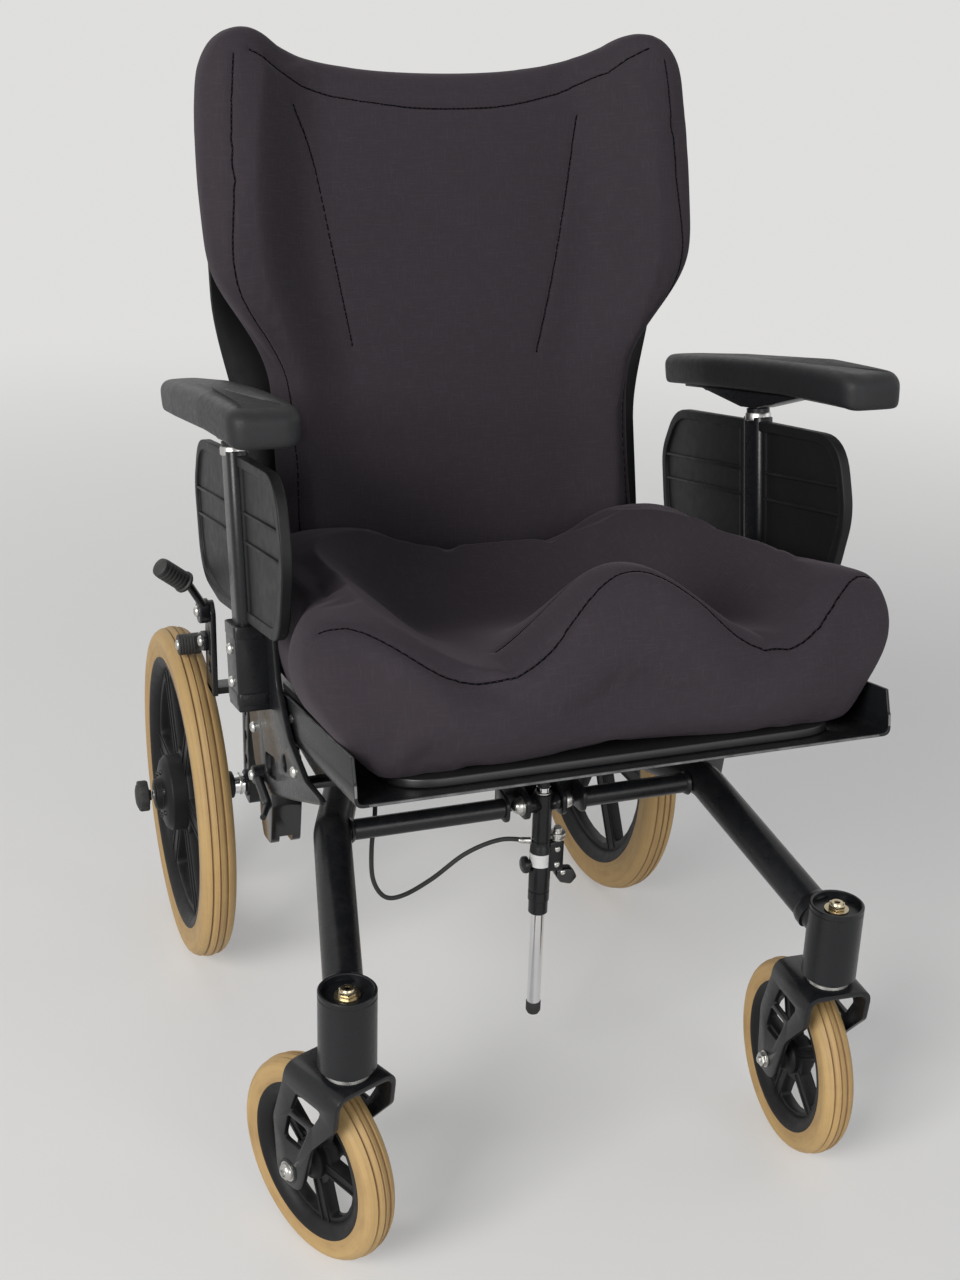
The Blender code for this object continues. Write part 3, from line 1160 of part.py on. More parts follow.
def make_canes(back):
    """Two canes with push handles, the brace between them, and the recline clamp knobs."""
    canes = []
    for side in (-1, 1):
        canes.append(tube("cane", cane_path(side), CANE_RADIUS, "black_steel", back,
                          [0, 0.009, 0.009, CANE_BEND, 0], 2, 3))
    frame = canes[0]
    frame.name = "push_handle_frame"
    brace = rod("brace", (-CANE_X, CANE_BACK, BRACE_Z), (CANE_X, CANE_BACK, BRACE_Z), 0.009, "black_steel", back, 8)
    join_all(frame, [canes[1], brace])
    tools = []
    pads = []
    for side in (-1, 1):
        tools.append(rod("pin_hole", (side * CANE_X - 0.03, 0, 0), (side * CANE_X + 0.03, 0, 0),
                         hole_radius(HINGE_PIN_RADIUS, 8), "black_steel", back, 8))
        for z in (0.190, 0.400):
            face = shell_depth(CANE_X - 0.014, z - 0.02) + SHELL_THICKNESS + 3 * GAP
            pads.append(box("pad", (side * CANE_X - 0.014, face, z - 0.02), (side * CANE_X + 0.014, CANE_BACK, z + 0.02),
                            "black_steel", back))
        start = CANE_X + CANE_RADIUS - 0.003
        ear = CANE_X + CANE_RADIUS + GAP + 0.005 + GAP
        pads.append(turned("clamp", [(0.0, ear + 0.014), (0.0120, ear + 0.013), (0.0120, ear), (0.003, ear),
                                     (0.003, start), (0.0, start)],
                           (0, 0.0012, 0.040), (side, 0, 0), "black_plastic", back, 8))
    cut_all(frame, tools)
    return join_all(frame, pads)


def make_grips(back):
    for side in (-1, 1):
        along = Vector((0, HANDLE_LENGTH, HANDLE_RISE)).normalized()
        start = Vector((side * CANE_X, CANE_BACK, CANE_TOP)) + along * (CANE_BEND + 0.002)
        length = HANDLE_LENGTH - CANE_BEND + 0.008
        grip = turned("push_grip_" + side_name(side),
                      [(0.0, length), (0.0165, length - 0.001), (0.0160, length - 0.012), (0.0165, length / 2),
                       (0.0158, 0.010), (0.0185, 0.003), (0.0170, 0.0), (0.0, 0.0)],
                      start, along, "black_rubber", back, 10)
        bore = rod("bore", start - along * 0.02, start + along * (length - 0.008), hole_radius(CANE_RADIUS, 10),
                   "black_rubber", back, 10)
        combine(grip, bore, "DIFFERENCE")


def make_hand_lever(back):
    """Tilt release lever below the right push handle."""
    side = 1
    y, z = CANE_BACK + 0.030, CANE_TOP - 0.030
    axis = make_empty("hand_lever_axis", back, (side * CANE_X, y, z))
    lever = tube("tilt_release_lever", [(0, 0.0, 0.0), (0, 0.030, -0.006), (0, 0.100, -0.012)], 0.0042,
                 "black_steel", axis, 0.02, 1, 1)
    eye = rod("eye", (-0.005, 0, 0), (0.005, 0, 0), 0.0075, "black_steel", axis, 12)
    combine(lever, eye, "UNION")
    bore = rod("bore", (-0.02, 0, 0), (0.02, 0, 0), 0.0030, "black_steel", axis, 12)
    combine(lever, bore, "DIFFERENCE")
    bracket = plate("lever_bracket", flat([(CANE_BACK + 0.004, z - 0.010), (y + 0.008, z - 0.008), (y + 0.008, z + 0.008),
                                           (CANE_BACK + 0.030, CANE_TOP - 0.006), (CANE_BACK + 0.004, CANE_TOP - 0.035)],
                                          [0, 0.006, 0.006, 0, 0]),
                    side * CANE_X - 0.0105, side * CANE_X - 0.0055, "X", "black_steel", back)
    pin = rod("pin", (side * CANE_X - 0.008, y, z), (side * CANE_X + 0.0075, y, z), 0.0027, "black_steel", back, 12)
    combine(bracket, pin, "UNION")
    frame = bpy.data.objects["push_handle_frame"]
    return combine(frame, bracket, "UNION")


# Assembly

def finish_shading():
    for obj in part_collection().objects:
        if obj.type == "MESH":
            merge_flat_faces(obj)
            obj.data.shade_smooth()
            obj.data.set_sharp_from_angle(angle=math.radians(35.0))


def centre_on_floor(base):
    """Put the origin under the middle of the chair, on the floor."""
    bpy.context.view_layer.update()
    corners = [obj.matrix_world @ v.co for obj in part_collection().objects if obj.type == "MESH"
               for v in obj.data.vertices]
    low = Vector(min(c[i] for c in corners) for i in range(3))
    high = Vector(max(c[i] for c in corners) for i in range(3))
    base.location = (-(low.x + high.x) / 2, -(low.y + high.y) / 2, -low.z)
    bpy.context.view_layer.update()
    print("size", [round(v, 4) for v in high - low], "shift", [round(v, 5) for v in base.location])


def main():
    clear_scene()
    base = make_empty("chair_base")
    make_base(base)
    for side in (-1, 1):
        make_caster(side, base)
        make_rear_wheel(side, base)
        make_wheel_lock(side, base)
    pivot = pivot_point()
    tilt = make_empty("tilt_axis", base, pivot, (-TILT, 0, 0))
    seat = make_empty("seat_datum", tilt, (0, -PIVOT_S, GAP + RAIL_RADIUS))
    make_strut(base, seat)
    make_seat_frame(seat)
    make_pan(seat)
    make_board(seat)
    make_seat_cushion(seat)
    for side in (-1, 1):
        make_cheek(side, seat)
        make_armrest(side, seat)
        make_receiver(side, seat)
    make_back_hinge(seat)
    back = make_empty("back_hinge", seat, (0, HINGE_S, HINGE_T), (-BACK_LEAN, 0, 0))
    make_back_cushion(back)
    make_back_shell(back)
    make_canes(back)
    make_grips(back)
    make_hand_lever(back)
    finish_shading()
    centre_on_floor(base)
    for empty in part_collection().objects:
        if empty.type == "EMPTY":
            print(empty.name, [round(v, 5) for v in empty.matrix_world.translation])


main()
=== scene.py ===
"""Positioning wheelchair: cushions, wheels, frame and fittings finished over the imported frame."""

import math

import bmesh
import bpy
from bpy.props import FloatProperty, FloatVectorProperty, IntProperty, PointerProperty
from bpy.types import Operator, Panel, PropertyGroup
from mathutils import Matrix, Vector
from mathutils.bvhtree import BVHTree
from mathutils.kdtree import KDTree


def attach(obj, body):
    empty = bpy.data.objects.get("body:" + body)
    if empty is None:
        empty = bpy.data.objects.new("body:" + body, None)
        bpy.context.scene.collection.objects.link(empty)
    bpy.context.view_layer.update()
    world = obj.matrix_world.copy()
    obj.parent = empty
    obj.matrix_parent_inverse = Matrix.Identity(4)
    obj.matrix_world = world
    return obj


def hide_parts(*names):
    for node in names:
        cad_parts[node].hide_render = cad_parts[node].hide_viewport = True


bl_info = {"name": "Positioning Wheelchair", "version": (1, 0, 0), "blender": (4, 5, 0),
    "location": "3D View > Sidebar > Wheelchair",
    "description": "Finishes the cushions, wheels, frame and fittings of a positioning wheelchair",
    "category": "Object",}

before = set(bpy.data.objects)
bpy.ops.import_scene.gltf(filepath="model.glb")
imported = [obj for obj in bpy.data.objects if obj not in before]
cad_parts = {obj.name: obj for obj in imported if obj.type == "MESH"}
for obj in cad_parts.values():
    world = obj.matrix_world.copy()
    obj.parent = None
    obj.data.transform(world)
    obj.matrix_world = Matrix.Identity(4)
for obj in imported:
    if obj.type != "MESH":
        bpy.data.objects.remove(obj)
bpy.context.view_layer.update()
bpy.ops.object.select_all(action="DESELECT")

# Places of the base are written from the casters' swivel axis, places of the seat as (x, s, t)
# with s running back and t up from the front edge of the pan, places of the back from its hinge.
BASE = Matrix.Translation((0.0, -0.38202, 0.0))
TILT = math.radians(10.0)
SEAT = Matrix.Translation((0.0, -0.42422, 0.5012)) @ Matrix.Rotation(-TILT, 4, "X")
BACK = Matrix.Translation((0.0, 0.04582, 0.44878)) @ Matrix.Rotation(-math.radians(13.5), 4, "X")
GAP = 0.0003

CASTER_X = 0.245
CASTER_RADIUS = 0.1
CASTER_TRAIL = 0.044
CASTER_TURN = {-1: math.radians(22.5), 1: math.radians(-3.5)}
CASTER_RIM = 0.075
CASTER_HALF = 0.0165
BARREL_RADIUS = 0.0265
BARREL_LOW = 0.2255
BARREL_TOP = 0.3045
BARREL_RECESS = 0.007
FORK_HALF = 0.0345
FORK_TOP = 0.2183

WHEEL_X = 0.272
WHEEL_Y = 0.62
WHEEL_RADIUS = 0.2
WHEEL_HALF = 0.0195
WHEEL_RIM = 0.162
HUB_OUTER = 0.04
HUB_INNER = 0.055
AXLE_RADIUS = 0.006

TUBE_RADIUS = 0.0185
SIDE_X = 0.166
JUNCTION = (0.203, 0.205, 0.345)
RAIL_Z = 0.345
RAIL_END = 0.68
CROSS_RADIUS = 0.0105
CROSS_Y = 0.21
CROSS_Z = 0.3425
REAR_TUBE_Y = 0.52

PIVOT_S = 0.4834
PIVOT = Vector((0.0, 0.431633, 0.404653))
PAN_HALF = 0.2505
PAN_LENGTH = 0.5
PAN_WALL = 0.042
PAN_SHEET = 0.003
SEAT_RAIL_X = 0.2125
SEAT_RAIL_RADIUS = 0.0125
BOARD = 0.008
CUSHION_LENGTH = 0.4
CHEEK_X = 0.2555
HINGE_S = 0.472
HINGE_T = 0.03

POST_X = 0.273
POST_S = 0.285
POST_LOW = 0.026
POST_TOP = 0.266
PAD_UNDER = 0.2935
PAD_THICK = 0.03

STRUT_X = 0.021
STRUT_RADIUS = 0.0112
ROD_RADIUS = 0.0072
ROD_PIN = 0.431 - CROSS_Z

CANE_X = 0.172
CANE_RADIUS = 0.011
CANE_BACK = 0.0225
CANE_TOP = 0.52
CANE_BEND = 0.045
HANDLE_LENGTH = 0.135
HANDLE_RISE = 0.006
BACK_LOW = 0.06
BACK_HEIGHT = 0.566
BACK_FACE = -0.058
SHELL_THICK = 0.004
SHELL_LOW = 0.07
SHELL_TOP = 0.568


class ChairColours(PropertyGroup):
    """Colours of the chair's finishes."""
    paint: FloatVectorProperty(name="Frame paint", description="Satin black powder coat of the steel frame",
        subtype="COLOR", size=3, min=0.0, max=1.0, default=(0.0065, 0.007, 0.0082))
    moulding: FloatVectorProperty(name="Mouldings", description="Black plastic of rims, guards and shell",
        subtype="COLOR", size=3, min=0.0, max=1.0, default=(0.0075, 0.0077, 0.0085))
    tyre: FloatVectorProperty(name="Tyres", description="Pale tan of the solid tyres", subtype="COLOR", size=3,
        min=0.0, max=1.0, default=(0.46, 0.305, 0.125))
    # Darker brown mixed into the tread grooves, at the tyre's edge by the rim and into the soil streaks.
    tyre_groove_and_soil: FloatVectorProperty(name="Tyre soil", description="Brown that settles in the tread grooves",
        subtype="COLOR", size=3, min=0.0, max=1.0, default=(0.255, 0.145, 0.062))
    fabric: FloatVectorProperty(name="Upholstery", description="Charcoal fabric with a plum cast", subtype="COLOR",
        size=3, min=0.0, max=1.0, default=(0.031, 0.0258, 0.0308))
    pad: FloatVectorProperty(name="Arm pads", description="Self-skinned foam of the armrest pads", subtype="COLOR",
        size=3, min=0.0, max=1.0, default=(0.015, 0.0155, 0.0168))
    zinc: FloatVectorProperty(name="Zinc", description="Plated bolts and nuts", subtype="COLOR", size=3, min=0.0,
        max=1.0, default=(0.66, 0.655, 0.63))
    brass_zinc: FloatVectorProperty(name="Yellow zinc", description="Yellow plated stem nuts", subtype="COLOR",
        size=3, min=0.0, max=1.0, default=(0.7, 0.6, 0.42))


class ChairSizes(PropertyGroup):
    """Sizes of the chair's soft goods and surface detail."""
    seam_depth: FloatProperty(name="Seam depth", description="How far a sewn seam draws the cover in",
        unit="LENGTH", default=0.0018, min=0.0, max=0.01)
    seam_reach: FloatProperty(name="Seam reach", description="How wide the cover is drawn in beside a seam",
        unit="LENGTH", default=0.0036, min=0.001, max=0.02)
    stitch_length: FloatProperty(name="Stitch length", description="Length of one stitch and its gap",
        unit="LENGTH", default=0.0042, min=0.002, max=0.02)
    thread_radius: FloatProperty(name="Thread radius", description="Half the thickness of the thread",
        unit="LENGTH", default=0.0005, min=0.0002, max=0.002)
    voxel: FloatProperty(name="Cover mesh", description="Size of the cover's cells while it is filled",
        unit="LENGTH", default=0.0055, min=0.003, max=0.02)
    fill_pressure: FloatProperty(name="Fill pressure", description="How hard the foam presses the cover out",
        default=4.0, min=0.0, max=20.0)
    fill_limit: FloatProperty(name="Fill limit",
        description="Most that a point of the cover moves while it is filled", unit="LENGTH", default=0.01,
        min=0.001, max=0.03)
    wheel_steps: IntProperty(name="Wheel steps", description="Steps round a tyre", default=96, min=24, max=192)


# Small tools

def settings():
    return bpy.context.scene.wheelchair_sizes


def colours():
    return bpy.context.scene.wheelchair_colours


def side_name(side):
    return "left" if side < 0 else "right"


def smooth_step(low, high, value):
    f = min(max((value - low) / (high - low), 0.0), 1.0)
    return f * f * (3 - 2 * f)


def pick(obj):
    """Make one object the only selected and active one."""
    bpy.ops.object.select_all(action="DESELECT")
    obj.select_set(True)
    bpy.context.view_layer.objects.active = obj
    return obj


def apply_all(obj):
    """Apply an object's modifiers in their order."""
    pick(obj)
    for modifier in list(obj.modifiers):
        bpy.ops.object.modifier_apply(modifier=modifier.name)
    return obj


def soften(obj, levels):
    """Subdivide a shell smoothly and apply the result."""
    finer = obj.modifiers.new("Softer", "SUBSURF")
    finer.levels = finer.render_levels = levels
    return apply_all(obj)


def bevel(obj, width, segments=2, angle=35.0):
    """Round the sharp edges of a shell and apply the result."""
    rounding = obj.modifiers.new("Rounding", "BEVEL")
    rounding.width = width
    rounding.segments = segments
    rounding.limit_method = "ANGLE"
    rounding.angle_limit = math.radians(angle)
    rounding.use_clamp_overlap = True
    return apply_all(obj)


def finish_shell(obj, finish, angle=35.0):
    """Give a shell its finish and shade its curved faces smoothly."""
    pick(obj)
    bpy.ops.object.transform_apply(location=True, rotation=True, scale=True)
    bpy.ops.object.shade_smooth_by_angle(angle=math.radians(angle))
    obj.data.materials.clear()
    obj.data.materials.append(bpy.data.materials[finish])
    return obj


def close_up(obj):
    """Merge doubles and turn the faces outwards."""
    pick(obj)
    bpy.ops.object.mode_set(mode="EDIT")
    bpy.ops.mesh.select_all(action="SELECT")
    bpy.ops.mesh.remove_doubles(threshold=0.00002)
    bpy.ops.mesh.normals_make_consistent(inside=False)
    bpy.ops.mesh.select_all(action="DESELECT")
    bpy.ops.object.mode_set(mode="OBJECT")
    return obj


PATTERNS = {}


def aim(obj, at, axis):
    """Turn a shell modelled along local Z to an axis and move it to a point."""
    turn = Vector(axis).to_track_quat("Z", "Y").to_matrix().to_4x4()
    obj.data.transform(Matrix.Translation(at) @ turn)
    return obj


def turned(profile, at, axis, finish, steps=40, closed=False, angle=35.0):
    """A turned shell: a point extruded along the (radius, height) profile, then spun; a repeat is a copy."""
    points = list(profile) + ([profile[0]] if closed else [])
    key = (tuple(points), finish, steps, angle)
    if key not in PATTERNS:
        PATTERNS[key] = spun(points, finish, steps, angle)
    obj = bpy.data.objects.new("turned", PATTERNS[key].copy())
    bpy.context.scene.collection.objects.link(obj)
    return aim(obj, at, axis)


def spun(points, finish, steps, angle):
    """Mesh of a point extruded along (radius, height) points, then spun round Z."""
    bpy.ops.object.select_all(action="DESELECT")
    bpy.ops.mesh.primitive_plane_add(size=0.002, location=(0.0, 0.0, 0.0))
    obj = bpy.context.object
    bpy.ops.object.mode_set(mode="EDIT")
    bpy.ops.mesh.select_all(action="SELECT")
    bpy.ops.mesh.merge(type="CENTER")
    bpy.ops.transform.translate(value=(points[0][0], 0.0, points[0][1]))
    for (r0, z0), (r1, z1) in zip(points, points[1:]):
        bpy.ops.mesh.extrude_region_move(TRANSFORM_OT_translate={"value": (r1 - r0, 0.0, z1 - z0)})
    bpy.ops.mesh.select_all(action="SELECT")
    bpy.ops.mesh.spin(steps=steps, angle=2 * math.pi, center=(0.0, 0.0, 0.0), axis=(0.0, 0.0, 1.0))
    bpy.ops.object.mode_set(mode="OBJECT")
    mesh = finish_shell(close_up(obj), finish, angle).data
    bpy.data.objects.remove(obj, do_unlink=True)
    return mesh


def rounded(points, radius, steps=5, cyclic=False):
    """Points of a path or an outline with its corners rounded."""
    points = [Vector(p) for p in points]
    count = len(points)
    result = []
    for i, corner in enumerate(points):
        if not cyclic and i in (0, count - 1):
            result.append(corner)
            continue
        before = points[i - 1] - corner
        after = points[(i + 1) % count] - corner
        size = radius[i] if isinstance(radius, (list, tuple)) else radius
        half = before.angle(after) / 2
        if size <= 0.0 or half > math.radians(89.0):
            result.append(corner)
            continue
        reach = min(size / math.tan(half), before.length * 0.49, after.length * 0.49)
        first = corner + before.normalized() * reach
        last = corner + after.normalized() * reach
        for k in range(steps + 1):
            f = k / steps
            result.append(first.lerp(corner, f).lerp(corner.lerp(last, f), f))
    return result


def outline(points, radius, steps=4):
    """A closed flat outline with rounded corners."""
    return [(p.x, p.y) for p in rounded([(*p, 0.0) for p in points], radius, steps, True)]


def oblong(x, y, wide, high, radius, steps=5):
    """A rectangle's outline about a point, by half its width and height, with rounded corners."""
    return outline([(x - wide, y - high), (x + wide, y - high), (x + wide, y + high), (x - wide, y + high)], radius,
        steps)


def circle(centre, radius, count=24):
    return [(centre[0] + radius * math.cos(2 * math.pi * k / count), centre[1] + radius
        * math.sin(2 * math.pi * k / count)) for k in range(count)]


def pipe(points, radius, finish, bend=0.03, resolution=6, steps=8, shape=None):
    """A round bar or tube along a path with rounded corners."""
    bpy.ops.object.select_all(action="DESELECT")
    bpy.ops.curve.primitive_nurbs_path_add(location=(0.0, 0.0, 0.0))
    obj = bpy.context.object
    curve = obj.data
    curve.splines.clear()
    path = rounded(points, bend, steps) if bend else [Vector(p) for p in points]
    spline = curve.splines.new("POLY")
    spline.points.add(len(path) - 1)
    for target, point in zip(spline.points, path):
        target.co = (*point, 1.0)
    if shape:
        for k, target in enumerate(spline.points):
            target.radius = shape(k / (len(path) - 1))
    curve.dimensions = "3D"
    curve.bevel_depth = radius
    curve.bevel_resolution = resolution
    curve.use_fill_caps = True
    pick(obj)
    bpy.ops.object.convert(target="MESH")
    obj = bpy.context.object
    close_up(obj)
    return finish_shell(obj, finish, 40.0)


def bar(start, end, radius, finish, steps=24, edge=0.0):
    """A straight round bar with softened ends."""
    start, end = Vector(start), Vector(end)
    length = (end - start).length
    if edge <= 0.0:
        return turned([(0.0, 0.0), (radius, 0.0), (radius, length), (0.0, length)], start, end - start, finish, steps)
    return turned([(0.0, 0.0), (radius - edge, 0.0), (radius, edge), (radius, length - edge),
        (radius - edge, length), (0.0, length)], start, end - start, finish, steps)


def slab(shape, low, high, axis, finish, holes=(), edge=0.0008, segments=2):
    """A flat outline, a rounded ring moved to its corners, extruded along X, Y or Z and edged."""
    bpy.ops.object.select_all(action="DESELECT")
    bpy.ops.mesh.primitive_circle_add(vertices=len(shape), radius=0.05, fill_type="NGON", location=(0.0, 0.0, 0.0))
    obj = bpy.context.object
    for vertex, point in zip(obj.data.vertices, shape):
        vertex.co = (point[0], point[1], low)
    bpy.ops.object.mode_set(mode="EDIT")
    bpy.ops.mesh.select_all(action="SELECT")
    bpy.ops.mesh.extrude_region_move(TRANSFORM_OT_translate={"value": (0.0, 0.0, high - low)})
    bpy.ops.mesh.select_all(action="SELECT")
    bpy.ops.mesh.normals_make_consistent(inside=False)
    bpy.ops.object.mode_set(mode="OBJECT")
    for hole in holes:
        cutter = slab(hole, low - 0.01, high + 0.01, "Z", finish, edge=0.0)
        carve(obj, cutter)
    if edge > 0.0:
        bevel(obj, edge, segments)
    turn = {"X": Matrix(((0, 0, 1), (1, 0, 0), (0, 1, 0))), "Y": Matrix(((1, 0, 0), (0, 0, 1), (0, 1, 0))),
        "Z": Matrix.Identity(3)}[axis]
    obj.data.transform(turn.to_4x4())
    if axis == "Y":
        close_up(obj)
    return finish_shell(obj, finish)


def block(low, high, finish, edge=0.0015, segments=2):
    """A block with rounded edges."""
    low, high = Vector(low), Vector(high)
    bpy.ops.object.select_all(action="DESELECT")
    bpy.ops.mesh.primitive_cube_add(size=1.0, location=(low + high) / 2)
    obj = bpy.context.object
    bpy.ops.object.mode_set(mode="EDIT")
    bpy.ops.mesh.select_all(action="SELECT")
    bpy.ops.transform.resize(value=tuple(high - low), center_override=tuple((low + high) / 2))
    bpy.ops.object.mode_set(mode="OBJECT")
    if edge > 0.0:
        bevel(obj, edge, segments)
    return finish_shell(obj, finish)


def carve(obj, cutter, operation="DIFFERENCE"):
    """Cut one shell with another, which is then removed."""
    cut = obj.modifiers.new("Cut", "BOOLEAN")
    cut.operation = operation
    cut.solver = "EXACT"
    cut.object = cutter
    apply_all(obj)
    bpy.data.objects.remove(cutter, do_unlink=True)
    return obj


def fit(name, shells, place, body, nodes=()):
    """Join shells into one named piece, put it in place and let it ride on its body."""
    bpy.ops.object.select_all(action="DESELECT")
    for shell in shells:
        shell.select_set(True)
    bpy.context.view_layer.objects.active = shells[0]
    if len(shells) > 1:
        bpy.ops.object.join()
    obj = bpy.context.object
    obj.name = name
    obj.data.name = name
    obj.data.transform(place)
    obj.data.update()
    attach(obj, body)
    if nodes:
        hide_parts(*nodes)
    return obj


def socket_head(at, axis, radius, height, finish="zinc_plate", steps=24):
    """A domed bolt head with a round key recess."""
    return turned([(0.0, height * 0.45), (radius * 0.42, height * 0.45), (radius * 0.46, height * 0.98),
        (radius * 0.62, height), (radius * 0.9, height * 0.62), (radius, height * 0.2), (radius, 0.0), (0.0, 0.0)],
        at, axis, finish, steps, angle=50.0)


def hex_nut(at, axis, radius, height, finish="zinc_plate"):
    """A six-sided nut on a washer, with the threaded end of its bolt."""
    nut = slab(circle((0.0, 0.0), radius, 6), 0.0012, height, "Z", finish, edge=0.0006)
    washer = turned([(0.0, 0.0), (radius * 1.18, 0.0), (radius * 1.18, 0.0012), (0.0, 0.0012)], (0, 0, 0),
        (0, 0, 1), finish, 28)
    stud = turned([(0.0, height), (radius * 0.45, height), (radius * 0.52, height + 0.0008),
        (radius * 0.46, height + 0.0022), (0.0, height + 0.0026)], (0, 0, 0), (0, 0, 1), finish, 18)
    for shell in (nut, washer, stud):
        aim(shell, at, axis)
    return [nut, washer, stud]


# Finishes

def make_group(name, inputs, outputs):
    """An empty shader group with named inputs (name, default) and outputs (name, socket type)."""
    tree = bpy.data.node_groups.new(name, "ShaderNodeTree")
    for label, default in inputs:
        kind = "NodeSocketColor" if isinstance(default, tuple) else "NodeSocketFloat"
        made = tree.interface.new_socket(name=label, in_out="INPUT", socket_type=kind)
        made.default_value = default
    for label, kind in outputs:
        tree.interface.new_socket(name=label, in_out="OUTPUT", socket_type=kind)
    return tree, tree.nodes.new("NodeGroupInput").outputs, tree.nodes.new("NodeGroupOutput").inputs


def put(tree, kind, inputs=(), **options):
    """Add a node with its properties set, and its inputs linked or given a value."""
    made = tree.nodes.new(kind)
    for key, value in options.items():
        setattr(made, key, value)
    for key, value in dict(inputs).items():
        if isinstance(value, bpy.types.NodeSocket):
            tree.links.new(value, made.inputs[key])
        else:
            made.inputs[key].default_value = value
    return made


def maths(tree, operation, *values, clamp=False):
    """A Math node on sockets or numbers."""
    return put(tree, "ShaderNodeMath", dict(enumerate(values)), operation=operation, use_clamp=clamp).outputs[0]


def spread(tree, value, low, high, first=0.0, last=1.0):
    """A value's share of the way from low to high, as a value from first to last."""
    return put(tree, "ShaderNodeMapRange", {"Value": value, "From Min": low, "From Max": high, "To Min": first,
        "To Max": last}).outputs["Result"]


def mix_colour(tree, share, first, second, blend="MIX"):
    """A colour Mix node; its colour sockets come after those for numbers and vectors."""
    return put(tree, "ShaderNodeMix", {0: share, 6: first, 7: second}, data_type="RGBA", blend_type=blend).outputs[2]


def noise(tree, place, scale, detail=2.0, roughness=0.5):
    return put(tree, "ShaderNodeTexNoise", {"Vector": place, "Scale": scale, "Detail": detail,
        "Roughness": roughness}).outputs["Fac"]


def build_tone_drift():
    """Colour that drifts between two tones in soft patches with fine flecks."""
    tree, given, out = make_group("tone_drift", [("Base", (0.5, 0.5, 0.5, 1.0)), ("Second", (0.2, 0.2, 0.2, 1.0)),
        ("Patch Scale", 12.0), ("Fleck Scale", 400.0), ("Amount", 0.5)], [("Color", "NodeSocketColor")])
    place = put(tree, "ShaderNodeTexCoord").outputs["Object"]
    patch = noise(tree, place, given["Patch Scale"], 4.0, 0.6)
    fleck = noise(tree, place, given["Fleck Scale"], 2.0)
    both = maths(tree, "MULTIPLY_ADD", fleck, 0.4, spread(tree, patch, 0.36, 0.66))
    share = maths(tree, "MULTIPLY", both, given["Amount"], clamp=True)
    tree.links.new(mix_colour(tree, share, given["Base"], given["Second"]), out["Color"])


def build_fine_relief():
    """Height of a fine grain over a slower waviness, and a roughness value that follows it."""
    tree, given, out = make_group("fine_relief", [("Grain Scale", 900.0), ("Wave Scale", 60.0), ("Low", 0.35),
        ("High", 0.5)], [("Height", "NodeSocketFloat"), ("Roughness", "NodeSocketFloat")])
    place = put(tree, "ShaderNodeTexCoord").outputs["Object"]
    grain = noise(tree, place, given["Grain Scale"], 3.0, 0.6)
    wave = noise(tree, place, given["Wave Scale"], 2.0)
    tree.links.new(maths(tree, "MULTIPLY_ADD", wave, 0.6, grain), out["Height"])
    mixed = maths(tree, "MULTIPLY_ADD", grain, 0.4, maths(tree, "MULTIPLY", wave, 0.6))
    tree.links.new(spread(tree, mixed, 0.3, 0.7, given["Low"], given["High"]), out["Roughness"])


def build_settled_dust():
    """Pale dust on faces that look up, broken by noise."""
    tree, given, out = make_group("settled_dust", [("Color", (0.1, 0.1, 0.1, 1.0)), ("Dust",
        (0.3, 0.28, 0.26, 1.0)), ("Amount", 0.1)], [("Color", "NodeSocketColor")])
    place = put(tree, "ShaderNodeTexCoord").outputs["Object"]
    normal = put(tree, "ShaderNodeNewGeometry").outputs["Normal"]
    upward = put(tree, "ShaderNodeSeparateXYZ", {0: normal}).outputs["Z"]
    lying = spread(tree, upward, 0.2, 1.0)
    broken = spread(tree, noise(tree, place, 70.0, 5.0, 0.7), 0.42, 0.75)
    share = maths(tree, "MULTIPLY", maths(tree, "MULTIPLY", lying, broken), given["Amount"], clamp=True)
    tree.links.new(mix_colour(tree, share, given["Color"], given["Dust"]), out["Color"])


def build_weave():
    """Plain weave from a cover's own UV map in metres: thread height, shade and slubs."""
    tree, given, out = make_group("weave", [("Color", (0.03, 0.025, 0.03, 1.0)), ("Pale", (0.07, 0.06, 0.068, 1.0)),
        ("Threads", 1.0)], [("Color", "NodeSocketColor"), ("Height", "NodeSocketFloat"),
        ("Roughness", "NodeSocketFloat")])
    place = put(tree, "ShaderNodeUVMap", uv_map="cover").outputs["UV"]
    rows = []
    for direction in ("X", "Y"):
        wave = put(tree, "ShaderNodeTexWave", {"Vector": place, "Scale": maths(tree, "MULTIPLY", given["Threads"],
            190.0), "Distortion": 1.2, "Detail": 1.0, "Detail Scale": 0.6}, wave_type="BANDS",
            bands_direction=direction, wave_profile="SIN")
        rows.append(wave.outputs["Fac"])
    height = maths(tree, "MULTIPLY", rows[0], rows[1])
    slubs = [noise(tree, put(tree, "ShaderNodeMapping", {"Vector": place, "Scale": scale}).outputs["Vector"], 1.0,
        3.0) for scale in ((420.0, 60.0, 1.0), (60.0, 420.0, 1.0))]
    fleck = spread(tree, maths(tree, "MAXIMUM", *slubs), 0.52, 0.78)
    soft = noise(tree, put(tree, "ShaderNodeTexCoord").outputs["Object"], 7.0, 3.0, 0.6)
    share = maths(tree, "MULTIPLY_ADD", height, 0.3, maths(tree, "MULTIPLY", fleck, 0.32))
    share = maths(tree, "MULTIPLY_ADD", soft, 0.22, share, clamp=True)
    tree.links.new(mix_colour(tree, share, given["Color"], given["Pale"]), out["Color"])
    tree.links.new(maths(tree, "MULTIPLY_ADD", fleck, 0.5, height), out["Height"])
    tree.links.new(maths(tree, "MULTIPLY_ADD", soft, 0.12, 0.78), out["Roughness"])


